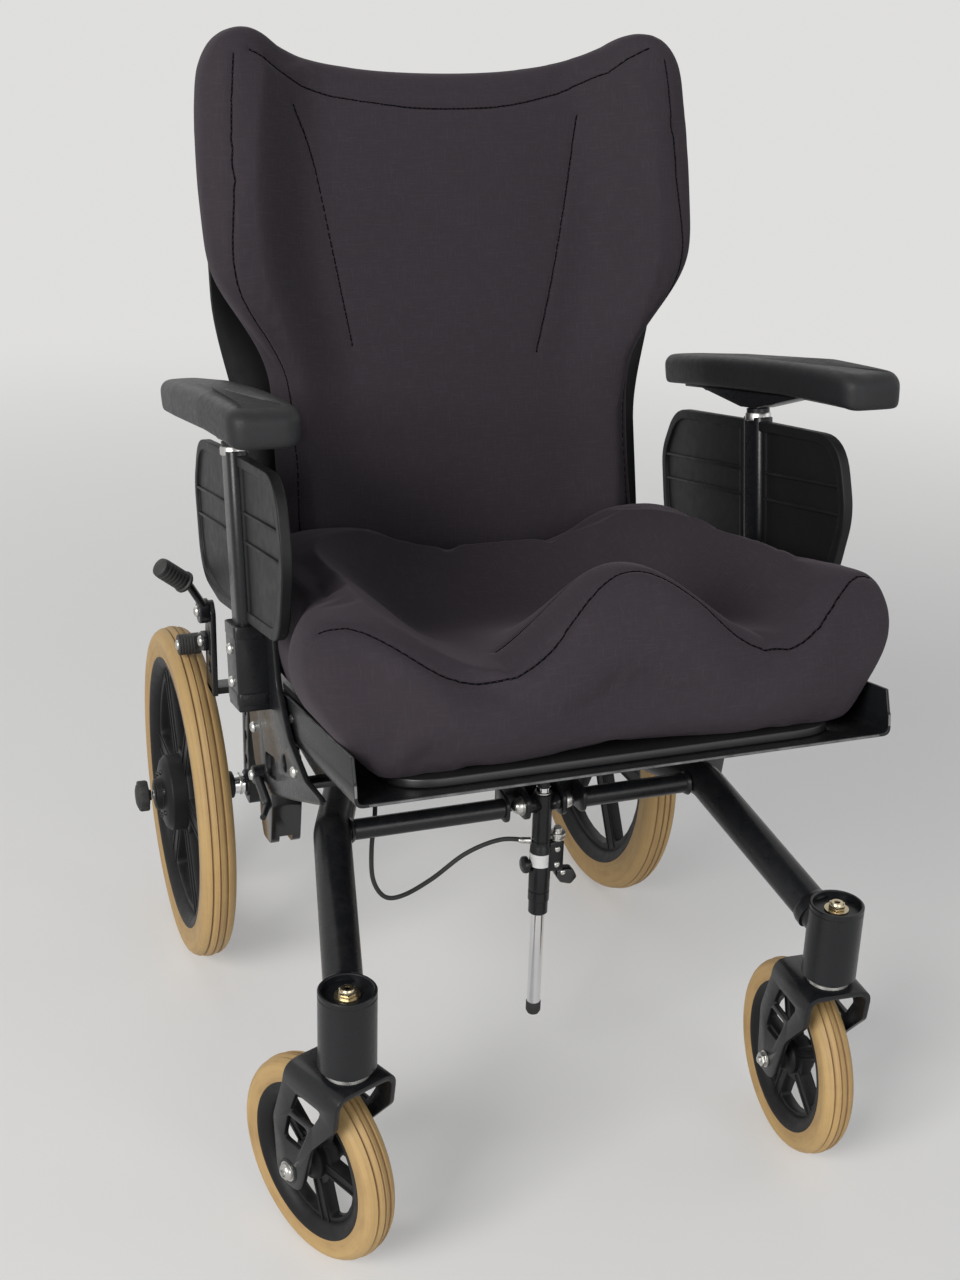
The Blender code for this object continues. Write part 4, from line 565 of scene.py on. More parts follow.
def build_tread_groove_and_soil():
    """Tyre colour from its own attributes: clean tread, brown grooves and streaks round the tyre."""
    tree, given, out = make_group("tread_groove_and_soil", [("Rubber", (0.6, 0.4, 0.2, 1.0)), ("Groove And Soil",
        (0.2, 0.12, 0.05, 1.0))], [("Color", "NodeSocketColor"), ("Height", "NodeSocketFloat")])
    place = put(tree, "ShaderNodeTexCoord").outputs["Object"]
    groove = put(tree, "ShaderNodeAttribute", attribute_name="groove").outputs["Fac"]
    streak_place = put(tree, "ShaderNodeAttribute", attribute_name="streak").outputs["Vector"]
    streak = spread(tree, noise(tree, streak_place, 1.0, 4.0, 0.65), 0.46, 0.74)
    blotch = spread(tree, noise(tree, place, 22.0, 5.0, 0.65), 0.45, 0.78)
    worn = maths(tree, "MULTIPLY_ADD", blotch, 0.28, maths(tree, "MULTIPLY", streak, 0.42))
    # Darker brown in the grooves and at the tyre's edge by the rim, with soil streaks and blotches laid over it.
    share = maths(tree, "MULTIPLY_ADD", groove, 0.8, worn, clamp=True)
    tree.links.new(mix_colour(tree, share, given["Rubber"], given["Groove And Soil"]), out["Color"])
    tree.links.new(maths(tree, "MULTIPLY_ADD", noise(tree, place, 500.0, 3.0), 0.4, blotch), out["Height"])


def new_finish(name, colour, roughness, metallic=0.0, coat=0.0, sheen=0.0, specular=0.5):
    """A material with its plain values on the shader itself."""
    mat = bpy.data.materials.new(name)
    mat.use_nodes = True
    mat.diffuse_color = (*colour, 1.0)
    shader = mat.node_tree.nodes["Principled BSDF"]
    plain = {"Base Color": (*colour, 1.0), "Roughness": roughness, "Metallic": metallic, "Coat Weight": coat,
        "Coat Roughness": 0.18, "Sheen Weight": sheen, "Sheen Roughness": 0.45, "Specular IOR Level": specular}
    for socket, value in plain.items():
        shader.inputs[socket].default_value = value
    return mat.node_tree, shader


def relief(tree, shader, height, strength, distance):
    bump = put(tree, "ShaderNodeBump", {"Height": height, "Strength": strength, "Distance": distance})
    tree.links.new(bump.outputs["Normal"], shader.inputs["Normal"])


def group_node(tree, name, inputs):
    return put(tree, "ShaderNodeGroup", inputs, node_tree=bpy.data.node_groups[name]).outputs


def hard_finish(name, colour, second, roughness, relief_values, dust=0.0, metallic=0.0, coat=0.0, specular=0.5,
        patch=9.0, fleck=500.0, drift=0.35):
    """A painted, moulded or plated finish: drifting tone, fine grain and a little dust."""
    low, high = roughness
    tree, shader = new_finish(name, colour, (low + high) / 2, metallic, coat, 0.0, specular)
    tone = group_node(tree, "tone_drift", {"Base": (*colour, 1.0), "Second": (*second, 1.0), "Patch Scale": patch,
        "Fleck Scale": fleck, "Amount": drift})["Color"]
    if dust > 0.0:
        tone = group_node(tree, "settled_dust", {"Color": tone, "Dust": (0.26, 0.245, 0.23, 1.0), "Amount": dust})["Color"]
    grain, wave, strength = relief_values
    fine = group_node(tree, "fine_relief", {"Grain Scale": grain, "Wave Scale": wave, "Low": low, "High": high})
    tree.links.new(tone, shader.inputs["Base Color"])
    tree.links.new(fine["Roughness"], shader.inputs["Roughness"])
    relief(tree, shader, fine["Height"], strength, 0.0004)


def tint(colour, factor):
    return tuple(c * factor for c in colour)


def make_finishes():
    for build in (build_tone_drift, build_fine_relief, build_settled_dust, build_weave, build_tread_groove_and_soil):
        build()
    c = colours()
    paint, moulding = tuple(c.paint), tuple(c.moulding)
    hard_finish("satin_paint", paint, tint(paint, 1.9), (0.24, 0.38), (1500.0, 180.0, 0.1), dust=0.04, coat=0.08,
        specular=0.3)
    hard_finish("moulded_plastic", moulding, tint(moulding, 1.7), (0.4, 0.56), (1100.0, 90.0, 0.22), dust=0.05,
        specular=0.2)
    hard_finish("glossy_plastic", tint(moulding, 0.8), moulding, (0.16, 0.28), (900.0, 60.0, 0.05), coat=0.4)
    hard_finish("soft_rubber", (0.016, 0.016, 0.0165), (0.034, 0.033, 0.032), (0.58, 0.74), (1400.0, 80.0, 0.3),
        dust=0.12)
    pad = tuple(c.pad)
    hard_finish("pad_skin", pad, tint(pad, 1.6), (0.4, 0.56), (620.0, 160.0, 0.55), dust=0.04, specular=0.22)
    zinc, yellow = tuple(c.zinc), tuple(c.brass_zinc)
    hard_finish("zinc_plate", zinc, tint(zinc, 0.62), (0.22, 0.42), (1300.0, 120.0, 0.12), metallic=1.0, drift=0.6)
    hard_finish("yellow_plate", yellow, tint(yellow, 0.62), (0.22, 0.38), (1300.0, 120.0, 0.1), metallic=1.0,
        drift=0.55)
    hard_finish("bright_chrome", (0.8, 0.8, 0.81), (0.62, 0.62, 0.64), (0.08, 0.16), (1500.0, 70.0, 0.03),
        metallic=1.0, drift=0.4)
    hard_finish("black_bolt", (0.012, 0.012, 0.013), (0.03, 0.03, 0.03), (0.24, 0.42), (1400.0, 100.0, 0.12),
        metallic=0.4)
    # Pale metallic finish of thin strips along the seat pan's edges: painted highlights where light catches the edges.
    hard_finish("painted_edge_highlight", (0.22, 0.22, 0.23), (0.05, 0.05, 0.05), (0.3, 0.45), (1300.0, 90.0, 0.1), metallic=0.6,
        patch=40.0, drift=0.8)
    hard_finish("laminate", (0.012, 0.012, 0.013), (0.022, 0.022, 0.023), (0.34, 0.46), (1200.0, 60.0, 0.08))
    hard_finish("bare_band", (0.7, 0.7, 0.7), (0.55, 0.55, 0.56), (0.36, 0.5), (900.0, 70.0, 0.05), drift=0.35)

    tree, shader = new_finish("tan_rubber", tuple(c.tyre), 0.62)
    tread_tone = group_node(tree, "tread_groove_and_soil", {"Rubber": (*c.tyre, 1.0), "Groove And Soil": (*c.tyre_groove_and_soil, 1.0)})
    fine = group_node(tree, "fine_relief", {"Grain Scale": 800.0, "Wave Scale": 90.0, "Low": 0.52, "High": 0.72})
    tree.links.new(tread_tone["Color"], shader.inputs["Base Color"])
    tree.links.new(fine["Roughness"], shader.inputs["Roughness"])
    relief(tree, shader, tread_tone["Height"], 0.25, 0.0005)

    fabric = tuple(c.fabric)
    tree, shader = new_finish("woven_cover", fabric, 0.85, sheen=0.16, specular=0.1)
    shader.inputs["Sheen Tint"].default_value = (0.46, 0.4, 0.45, 1.0)
    cloth = group_node(tree, "weave", {"Color": (*fabric, 1.0), "Pale": (*tint(fabric, 1.9), 1.0), "Threads": 1.0})
    tree.links.new(cloth["Color"], shader.inputs["Base Color"])
    tree.links.new(cloth["Roughness"], shader.inputs["Roughness"])
    relief(tree, shader, cloth["Height"], 0.35, 0.0004)

    hard_finish("sewing_thread", (0.022, 0.019, 0.023), (0.012, 0.01, 0.013), (0.6, 0.75), (1800.0, 300.0, 0.2),
        specular=0.12)
    # Near-black finish of the tube along each seam: painted shade in the seam's groove.
    hard_finish("painted_seam_shade", (0.004, 0.0035, 0.004), (0.008, 0.007, 0.008), (0.7, 0.85), (1800.0, 300.0, 0.2),
        specular=0.0)


# Cushions

POMMEL_SHIFT = 0.045


def cushion_cage(columns, rows, layers, high_point, low_point, bulge):
    """Closed cage of a cushion: a top grid, the same grid below it, and layers between at the rim."""
    bpy.ops.object.select_all(action="DESELECT")
    bpy.ops.mesh.primitive_grid_add(x_subdivisions=columns, y_subdivisions=rows, size=2.0, location=(0.0, 0.0, 0.0))
    obj = bpy.context.object
    bpy.ops.object.mode_set(mode="EDIT")
    bpy.ops.mesh.select_all(action="SELECT")
    bpy.ops.mesh.extrude_region_move(TRANSFORM_OT_translate={"value": (0.0, 0.0, 1.0)})
    bpy.ops.mesh.select_all(action="SELECT")
    bpy.ops.mesh.normals_make_consistent(inside=False)
    bpy.ops.object.mode_set(mode="OBJECT")
    edit = bmesh.new()
    edit.from_mesh(obj.data)
    risers = [e for e in edit.edges if abs(e.verts[0].co.z - e.verts[1].co.z) > 0.5]
    bmesh.ops.subdivide_edges(edit, edges=risers, cuts=layers, use_grid_fill=True)
    for vert in edit.verts:
        u, v, w = vert.co.x, (vert.co.y + 1) / 2, vert.co.z
        point = Vector(low_point(u, v)).lerp(Vector(high_point(u, v)), w)
        if max(abs(vert.co.x), abs(vert.co.y)) > 0.999:
            point += bulge(u, v, w)
        vert.co = point
    edit.to_mesh(obj.data)
    edit.free()
    close_up(obj)
    return soften(obj, 2)


def fill_cover(obj, floor_height):
    """Let a cover swell over its foam: small cells, pressure, and a limit on how far it moves."""
    sizes = settings()
    cells = obj.modifiers.new("Cells", "REMESH")
    cells.mode = "VOXEL"
    cells.voxel_size = sizes.voxel
    apply_all(obj)
    smooth = obj.modifiers.new("Smooth", "SMOOTH")
    smooth.factor = 0.5
    smooth.iterations = 4
    apply_all(obj)
    start = [v.co - v.normal * 0.0045 for v in obj.data.vertices]
    for vertex, point in zip(obj.data.vertices, start):
        vertex.co = point
    cloth = obj.modifiers.new("Cover", "CLOTH")
    foam = cloth.settings
    foam.quality = 4
    foam.use_pressure = True
    foam.uniform_pressure_force = sizes.fill_pressure
    foam.effector_weights.gravity = 0.0
    foam.tension_stiffness = foam.compression_stiffness = 25.0
    foam.bending_stiffness = 2.0
    cloth.point_cache.frame_start = 1
    cloth.point_cache.frame_end = 20
    for step in range(1, 21):
        bpy.context.scene.frame_set(step)
    apply_all(obj)
    bpy.context.scene.frame_set(1)
    limit = sizes.fill_limit
    for vertex, point in zip(obj.data.vertices, start):
        move = vertex.co - point
        if move.length > limit:
            vertex.co = point + move * (limit / move.length)
    for vertex in obj.data.vertices:
        if floor_height is not None and vertex.co.z < floor_height:
            vertex.co.z = floor_height
    return soften(obj, 1)


def surface_line(tree, points, step):
    """Points on a surface under a smooth line through rough points, with the surface's normals."""
    line = [Vector(p) for p in smooth_line(points, 12)]
    result = []
    walked = 0.0
    last = line[0]
    for point in line:
        walked += (point - last).length
        last = point
        if not result or walked >= step:
            place, normal, _, _ = tree.find_nearest(point)
            result.append((place, normal))
            walked = 0.0
    return result


def smooth_line(points, steps):
    """Catmull-Rom curve through the points."""
    points = [Vector(p) for p in points]
    ends = [points[0] * 2 - points[1], *points, points[-1] * 2 - points[-2]]
    path = []
    for i in range(1, len(ends) - 2):
        a, b, c, d = ends[i - 1:i + 3]
        for k in range(steps):
            f = k / steps
            path.append(0.5 * ((2 * b) + (c - a) * f + (2 * a - 5 * b + 4 * c - d) * f * f + (3 * b - a - 3 * c + d)
                * f * f * f))
    path.append(points[-1])
    return path


def draw_in(obj, lines, depth, reach):
    """Pull the cover in along its seams."""
    marks = [place for line in lines for place, _ in line]
    lookup = KDTree(len(marks))
    for index, place in enumerate(marks):
        lookup.insert(place, index)
    lookup.balance()
    moves = []
    for vertex in obj.data.vertices:
        _, _, distance = lookup.find(vertex.co)
        moves.append(vertex.normal * (-depth * math.exp(-(distance / reach) ** 2)) if distance < reach * 3 else None)
    for vertex, move in zip(obj.data.vertices, moves):
        if move is not None:
            vertex.co += move


def sew(name, cover, line, body, place):
    """A seam on the cover: a near-black tube along it as painted shade in the seam's groove, and short stitches laid
    end to end along it.
    """
    sizes = settings()
    pitch, radius = sizes.stitch_length, sizes.thread_radius
    tree = BVHTree.FromObject(cover, bpy.context.evaluated_depsgraph_get())
    line = [tree.find_nearest(point)[:2] for point, _ in line]
    # A near-black tube along the seam line: painted shade of the seam's groove.
    shade_tube = pipe([p - n * radius * 0.6 for p, n in line], radius * 2.0, "painted_seam_shade", 0.0, 2)
    bpy.ops.object.select_all(action="DESELECT")
    bpy.ops.mesh.primitive_uv_sphere_add(segments=6, ring_count=5, radius=1.0, location=(0.0, 0.0, 0.0))
    bead = bpy.context.object
    mesh = bead.data
    coords = [v.co.copy() for v in mesh.vertices]
    faces = [tuple(p.vertices) for p in mesh.polygons]
    bpy.data.objects.remove(bead, do_unlink=True)
    verts, polys = [], []
    walked = 0.0
    for (a, na), (b, _) in zip(line, line[1:]):
        walked += (b - a).length
        if walked < pitch:
            continue
        walked = 0.0
        along = (b - a).normalized()
        across = na.cross(along).normalized()
        up = along.cross(across)
        middle = a + na * radius * 0.9
        base = len(verts)
        for co in coords:
            verts.append(middle + along * co.x * pitch * 0.36 + across * co.y * radius + up * co.z * radius)
        polys += [tuple(base + i for i in face) for face in faces]
    data = bpy.data.meshes.new(name)
    data.from_pydata(verts, [], polys)
    obj = bpy.data.objects.new(name, data)
    bpy.context.scene.collection.objects.link(obj)
    close_up(obj)
    finish_shell(obj, "sewing_thread", 60.0)
    return fit(name, [obj, shade_tube], place, body)


def map_cover(obj):
    """UV map in metres, each face laid along the axis that it looks down most."""
    layer = obj.data.uv_layers.new(name="cover")
    for face in obj.data.polygons:
        n = face.normal
        axis = max(range(3), key=lambda i: abs(n[i]))
        first, second = ((1, 2), (0, 2), (0, 1))[axis]
        for loop in face.loop_indices:
            co = obj.data.vertices[obj.data.loops[loop].vertex_index].co
            layer.data[loop].uv = (co[first], co[second])


def seat_top(u, v):
    """Height of the seat cushion over the pan; the pommel sits a little to the right of the middle."""
    side = abs(u - POMMEL_SHIFT * (1 - u * u))
    front = 0.135 + 0.04 * math.cos(2 * math.pi * min(side, 0.49) / 0.98) + 0.066 * smooth_step(0.5, 0.95, side)
    well = 0.084 + 0.084 * smooth_step(0.5, 0.95, side)
    rear = 0.154 + 0.03 * smooth_step(0.2, 0.62, side) - 0.006 * smooth_step(0.75, 1.0, side)
    height = front + (well - front) * smooth_step(0.1, 0.5, v)
    return height + (rear - height) * smooth_step(0.58, 0.98, v)


def seat_high(u, v):
    side = abs(u)
    lead = 0.004 + 0.026 * math.exp(-(side / 0.22) ** 2) + 0.044 * smooth_step(0.6, 1.0, side)
    s = lead * (1 - v) ** 2 + CUSHION_LENGTH * v
    x = u * (0.268 - 0.022 * smooth_step(0.15, 0.4, v) - 0.008 * smooth_step(0.7, 1.0, v))
    return x, s, seat_top(u, v) - 0.008 * smooth_step(0.86, 1.0, side) - 0.004 * (1 - smooth_step(0.0, 0.14, v))


def seat_low(u, v):
    s = (0.002 + 0.014 * abs(u) ** 5) * (1 - v) ** 2 + CUSHION_LENGTH * v
    return u * (0.23 - 0.008 * smooth_step(0.7, 1.0, v)), s, PAN_SHEET + BOARD + 2 * GAP


def seat_bulge(u, v, w):
    x = 0.026 * u if abs(u) > 0.999 else 0.0
    y = 0.004 if v > 0.999 else (-0.02 if v < 0.001 else 0.0)
    return Vector((x * (1 - 0.5 * smooth_step(0.2, 0.5, v)), y, 0.0)) * math.sin(math.pi * w ** 1.35)


def make_seat_cushion():
    """Contoured seat cushion with its front seam and the small seam behind the left trough."""
    sizes = settings()
    cover = cushion_cage(22, 12, 4, seat_high, seat_low, seat_bulge)
    fill_cover(cover, PAN_SHEET + BOARD + GAP)
    tree = BVHTree.FromObject(cover, bpy.context.evaluated_depsgraph_get())
    front = [seat_high(u, 0.012) for u in [k / 16 for k in range(-16, 17)]]
    front = [(x, s - 0.004, t) for x, s, t in front]
    small = [(-0.105, 0.06, 0.104), (-0.08, 0.072, 0.12), (-0.055, 0.078, 0.14), (-0.03, 0.08, 0.16)]
    lines = [surface_line(tree, front, 0.0021), surface_line(tree, small, 0.0021)]
    draw_in(cover, lines, sizes.seam_depth, sizes.seam_reach)
    map_cover(cover)
    finish_shell(cover, "woven_cover", 60.0)
    for name, line in zip(("seat_front_seam", "seat_trough_seam"), lines):
        sew(name, cover, line, "seat", SEAT)
    fit("seat_cushion_cover", [cover], SEAT, "seat", ["seat_cushion"])


def back_half_width(z):
    f = (z - BACK_LOW) / BACK_HEIGHT
    swell = 0.056 * smooth_step(0.38, 0.62, f)
    return 0.208 + swell - 0.006 * smooth_step(0.74, 0.95, f) - 0.02 * smooth_step(0.94, 1.0, f)


def back_top(u):
    side = abs(u)
    dip = 0.031 * (1 - min(side / 0.86, 1.0) ** 2.2)
    return BACK_LOW + BACK_HEIGHT + 0.002 - dip - 0.01 * smooth_step(0.93, 1.0, side)


def wing_share(z):
    f = (z - BACK_LOW) / BACK_HEIGHT
    return 0.22 + 0.78 * smooth_step(0.3, 0.62, f)


def shell_depth(x, z):
    side = min(abs(x) / 0.26, 1.0)
    return -0.02 * side ** 3 * wing_share(z)


def back_place(u, v):
    z = BACK_LOW + (back_top(u) - BACK_LOW) * v
    return (back_half_width(z) - 0.006) * u, z


def back_front(u, v):
    x, z = back_place(u, v)
    side = smooth_step(0.56, 0.9, abs(u))
    edge = max(abs(u), abs(2 * v - 1))
    return x, BACK_FACE - 0.062 * side * wing_share(z) + 0.01 * smooth_step(0.93, 1.0, edge), z


def back_rear(u, v):
    x, z = back_place(u, v)
    return x, shell_depth(x, z) - 0.0015, z


def back_bulge(u, v, w):
    swell = 0.01 * math.sin(math.pi * w)
    return Vector((swell * u if abs(u) > 0.999 else 0.0, 0.0, swell if v > 0.999 else 0.0))


def make_back_cushion():
    """Winged back cushion with its border seam, front edge seams and two darts."""
    sizes = settings()
    cover = cushion_cage(24, 22, 3, back_front, back_rear, back_bulge)
    fill_cover(cover, None)
    for vertex in cover.data.vertices:
        behind = shell_depth(vertex.co.x, vertex.co.z) - 0.0006
        if vertex.co.y > behind:
            vertex.co.y = behind
    tree = BVHTree.FromObject(cover, bpy.context.evaluated_depsgraph_get())
    border = [(-0.209, -0.11, 0.6), (-0.175, -0.09, 0.585), (-0.13, -0.07, 0.566), (-0.048, -0.06, 0.553),
        (0.01, -0.06, 0.551), (0.069, -0.06, 0.555), (0.121, -0.07, 0.568), (0.167, -0.09, 0.59),
        (0.209, -0.11, 0.608)]
    lines = [surface_line(tree, border, 0.0021)]
    for side in (-1, 1):
        crest = [(side * 0.228, -0.118, 0.596), (side * 0.238, -0.118, 0.523), (side * 0.24, -0.116, 0.466),
            (side * 0.244, -0.112, 0.4), (side * 0.236, -0.1, 0.35), (side * 0.214, -0.085, 0.3),
            (side * 0.196, -0.075, 0.24), (side * 0.19, -0.07, 0.14), (side * 0.19, -0.07, 0.085)]
        lines.append(surface_line(tree, crest, 0.0021))
    for dart in (((-0.16, -0.08, 0.553), (-0.146, -0.07, 0.51), (-0.13, -0.06, 0.41), (-0.116, -0.06, 0.317)),
            ((0.142, -0.07, 0.545), (0.129, -0.06, 0.473), (0.108, -0.06, 0.38), (0.086, -0.06, 0.302))):
        lines.append(surface_line(tree, dart, 0.0021))
    draw_in(cover, lines, sizes.seam_depth * 0.8, sizes.seam_reach)
    map_cover(cover)
    finish_shell(cover, "woven_cover", 60.0)
    names = ("back_border_seam", "back_edge_seam_left", "back_edge_seam_right", "back_dart_left", "back_dart_right")
    for name, line in zip(names, lines):
        sew(name, cover, line, "back", BACK)
    fit("back_cushion_cover", [cover], BACK, "back", ["back_cushion"])


# Wheels

def tyre_loop(radius, inner, half):
    """Section of a solid tyre with three grooves, as (radius, across, groove share)."""
    shoulder = half * 0.62
    side = [(inner, -half * 0.8, 0.0), (inner + 0.003, -half * 0.9, 0.3)]
    for angle in range(0, 61, 12):
        a = math.radians(angle)
        side.append((radius - shoulder * (1 - math.sin(a)), -half * math.cos(a), 0.0))
    points = list(side)
    depth, lip = 0.0016, 0.0012
    for centre in (-0.42, 0.0, 0.42):
        crown = radius - 0.004 * abs(centre)
        x = centre * half
        points += [(crown, x - lip, 0.15), (crown - depth * 0.8, x - lip * 0.5, 1.0), (crown - depth, x, 1.0),
            (crown - depth * 0.8, x + lip * 0.5, 1.0), (crown, x + lip, 0.15)]
        if centre < 0.4:
            points.append((radius - 0.0006, (centre + 0.21) * half, 0.0))
    points += [(r, -x, g) for r, x, g in reversed(side)]
    return points


def make_tyre(name, radius, inner, half, place, body, node):
    """A solid tyre; it is darker brown in its grooves and at its edge by the rim, with soil streaks running round the
    tread.
    """
    loop = tyre_loop(radius, inner, half)
    shell = turned([(r, x) for r, x, _ in loop], (0, 0, 0), (0, 0, 1), "tan_rubber", settings().wheel_steps, True, 50.0)
    groove = shell.data.attributes.new("groove", "FLOAT", "POINT")
    streak = shell.data.attributes.new("streak", "FLOAT_VECTOR", "POINT")
    for vertex in shell.data.vertices:
        r = math.hypot(vertex.co.x, vertex.co.y)
        nearest = min(loop, key=lambda p: (p[0] - r) ** 2 + (p[1] - vertex.co.z) ** 2)
        groove.data[vertex.index].value = nearest[2]
        angle = math.atan2(vertex.co.y, vertex.co.x)
        streak.data[vertex.index].vector = (vertex.co.z * 420.0 + (r - inner) * 160.0, math.cos(angle) * 1.6,
            math.sin(angle) * 1.6)
    aim(shell, (0, 0, 0), (1, 0, 0))
    return fit(name, [shell], place, body, [node])


def spoke_window(inner, outer, width, count, index):
    """Opening between two spokes, with arcs at both ends and rounded corners."""
    middle = 2 * math.pi * (index + 0.5) / count
    points = []
    for radius, shares in ((outer, (1, 0.6, 0.2, -0.2, -0.6, -1)), (inner, (-1, 0, 1))):
        half = math.pi / count - width / 2 / radius
        points += [(radius * math.cos(middle + share * half), radius * math.sin(middle + share * half))
            for share in shares]
    sizes = [0.011, 0, 0, 0, 0, 0.011, 0.005, 0, 0.005]
    return outline(points, sizes, 4)


def make_rim(name, rim, half, web, window, width, count, hub, bore, side, place, body, node, screws):
    """Moulded rim: channel ring, windowed web with ribs along its spokes, and a stepped hub."""
    ring = turned([(rim - 0.0004, half * 0.78), (rim + 0.0026, half * 0.83), (rim + 0.0022, half * 0.9),
        (rim - 0.002, half * 0.88), (rim - 0.01, half * 0.62), (rim - 0.0125, half * 0.3),
        (rim - 0.0125, -half * 0.3), (rim - 0.01, -half * 0.62), (rim - 0.002, -half * 0.88),
        (rim + 0.0022, -half * 0.9), (rim + 0.0026, -half * 0.83), (rim - 0.0004, -half * 0.78)], (0, 0, 0),
        (0, 0, 1), "moulded_plastic", settings().wheel_steps, True, 50.0)
    holes = [spoke_window(*window, width, count, k) for k in range(count)]
    disc = slab(circle((0, 0), rim - 0.011, 72), -web / 2, web / 2, "Z", "moulded_plastic", holes, 0.0016, 2)
    drum = turned([(bore, hub[0][1]), (hub[0][0] - 0.001, hub[0][1]), *hub, (hub[-1][0] - 0.001,
        hub[-1][1] - 0.0006), (bore, hub[-1][1] - 0.0006)], (0, 0, 0), (0, 0, 1), "moulded_plastic", 48, True, 30.0)
    bevel(drum, 0.0008, 2, 40.0)
    shells = [ring, disc, drum]
    for k in range(count):
        angle = 2 * math.pi * k / count
        for face in (-1, 1):
            for shift in (-0.36, 0.36):
                rib = block((window[0] - 0.006, shift * width - 0.0012, face * web / 2 - 0.0012),
                    (window[1] + 0.006, shift * width + 0.0012, face * web / 2 + 0.0016), "moulded_plastic", 0.0006,
                    1)
                rib.data.transform(Matrix.Rotation(angle, 4, "Z"))
                shells.append(rib)
    for radius, low, high, spread, finish in screws:
        for k in range(spread):
            angle = 2 * math.pi * (k + 0.5) / spread
            shells.append(socket_head((radius * math.cos(angle), radius * math.sin(angle), low), (0, 0, 1), 0.0036,
                high, finish, 16))
    for shell in shells:
        aim(shell, (0, 0, 0), (side, 0, 0))
    return fit(name, shells, place, body, [node])


def swivel_place(side):
    return BASE @ Matrix.Translation((side * CASTER_X, 0.0, 0.0)) @ Matrix.Rotation(CASTER_TURN[side], 4, "Z")


def make_fork(side, place):
    """Bent caster fork: a rounded channel trimmed to its side view, with two windows in each arm."""
    outer, inner = FORK_HALF, FORK_HALF - 0.0055
    top, roof = FORK_TOP, FORK_TOP - 0.006
    section = outline([(-outer, 0.06), (-outer, top), (outer, top), (outer, 0.06), (inner, 0.06), (inner, roof),
        (-inner, roof), (-inner, 0.06)], [0, 0.015, 0.015, 0, 0, 0.01, 0.01, 0], 6)
    fork = slab(section, -0.06, 0.09, "Y", "satin_paint", edge=0.0)
    y, z = CASTER_TRAIL, CASTER_RADIUS
    view = outline([(-0.031, 0.24), (0.043, 0.24), (0.052, 0.196), (0.067, 0.15), (y + 0.017, z - 0.016),
        (y - 0.017, z - 0.016), (0.01, 0.142), (-0.024, 0.182)], [0, 0, 0.03, 0.03, 0.017, 0.017, 0.03, 0.012], 6)
    carve(fork, slab(view, -0.06, 0.06, "X", "satin_paint", edge=0.0), "INTERSECT")
    for shape in (outline([(-0.006, 0.193), (0.031, 0.193), (0.041, 0.169), (0.008, 0.169)], 0.004, 4),
            outline([(0.013, 0.163), (0.044, 0.163), (0.051, 0.134), (0.026, 0.134)], 0.005, 4)):
        carve(fork, slab(shape, -0.05, 0.05, "X", "satin_paint", edge=0.0))
    close_up(fork)
    bevel(fork, 0.0009, 2, 32.0)
    finish_shell(fork, "satin_paint", 35.0)
    collar = turned([(0.0085, FORK_TOP + 0.0003), (0.021, FORK_TOP + 0.0003), (0.0205, FORK_TOP + 0.003),
        (0.018, FORK_TOP + 0.005), (0.018, BARREL_LOW - 0.0004), (0.0085, BARREL_LOW - 0.0004)], (0, 0, 0),
        (0, 0, 1), "zinc_plate", 40, True)
    ring = turned([(0.0082, -0.0006), (0.0125, -0.0006), (0.0118, 0.0008), (0.0082, 0.0008)],
        (side * (outer + 0.0002), y, z), (side, 0, 0), "satin_paint", 32, True)
    weld = turned([(0.0002, 0.0), (0.0172, 0.0), (0.0166, 0.0012), (0.0002, 0.0018)], (0, 0, roof - 0.0022),
        (0, 0, 1), "satin_paint", 32, True)
    return fit("caster_fork_painted_" + side_name(side), [fork, collar, ring, weld], place,
        "caster_fork_body_" + side_name(side), ["caster_fork_" + side_name(side)])


def make_stem(side, place):
    """Caster stem with its yellow plated nut in the barrel's recess."""
    top = BARREL_TOP - BARREL_RECESS + 0.0003
    washer = turned([(0.0, top), (0.0118, top), (0.0118, top + 0.0012), (0.0, top + 0.0012)], (0, 0, 0), (0, 0, 1),
        "yellow_plate", 36)
    nut = slab(circle((0.0, 0.0), 0.0086, 6), top + 0.0012, top + 0.0062, "Z", "yellow_plate", edge=0.0007)
    crown = turned([(0.0, top + 0.0062), (0.0066, top + 0.0062), (0.0058, top + 0.0078), (0.003, top + 0.0078),
        (0.0026, top + 0.0056), (0.0, top + 0.0056)], (0, 0, 0), (0, 0, 1), "yellow_plate", 28)
    low = turned([(0.0, FORK_TOP - 0.0122), (0.0102, FORK_TOP - 0.0122), (0.0112, FORK_TOP - 0.0112),
        (0.0112, FORK_TOP - 0.0064), (0.0078, FORK_TOP - 0.0064), (0.0078, top), (0.0, top)], (0, 0, 0), (0, 0, 1),
        "zinc_plate", 32)
    return fit("caster_stem_plated_" + side_name(side), [washer, nut, crown, low], place,
        "caster_fork_body_" + side_name(side), ["caster_stem_" + side_name(side)])


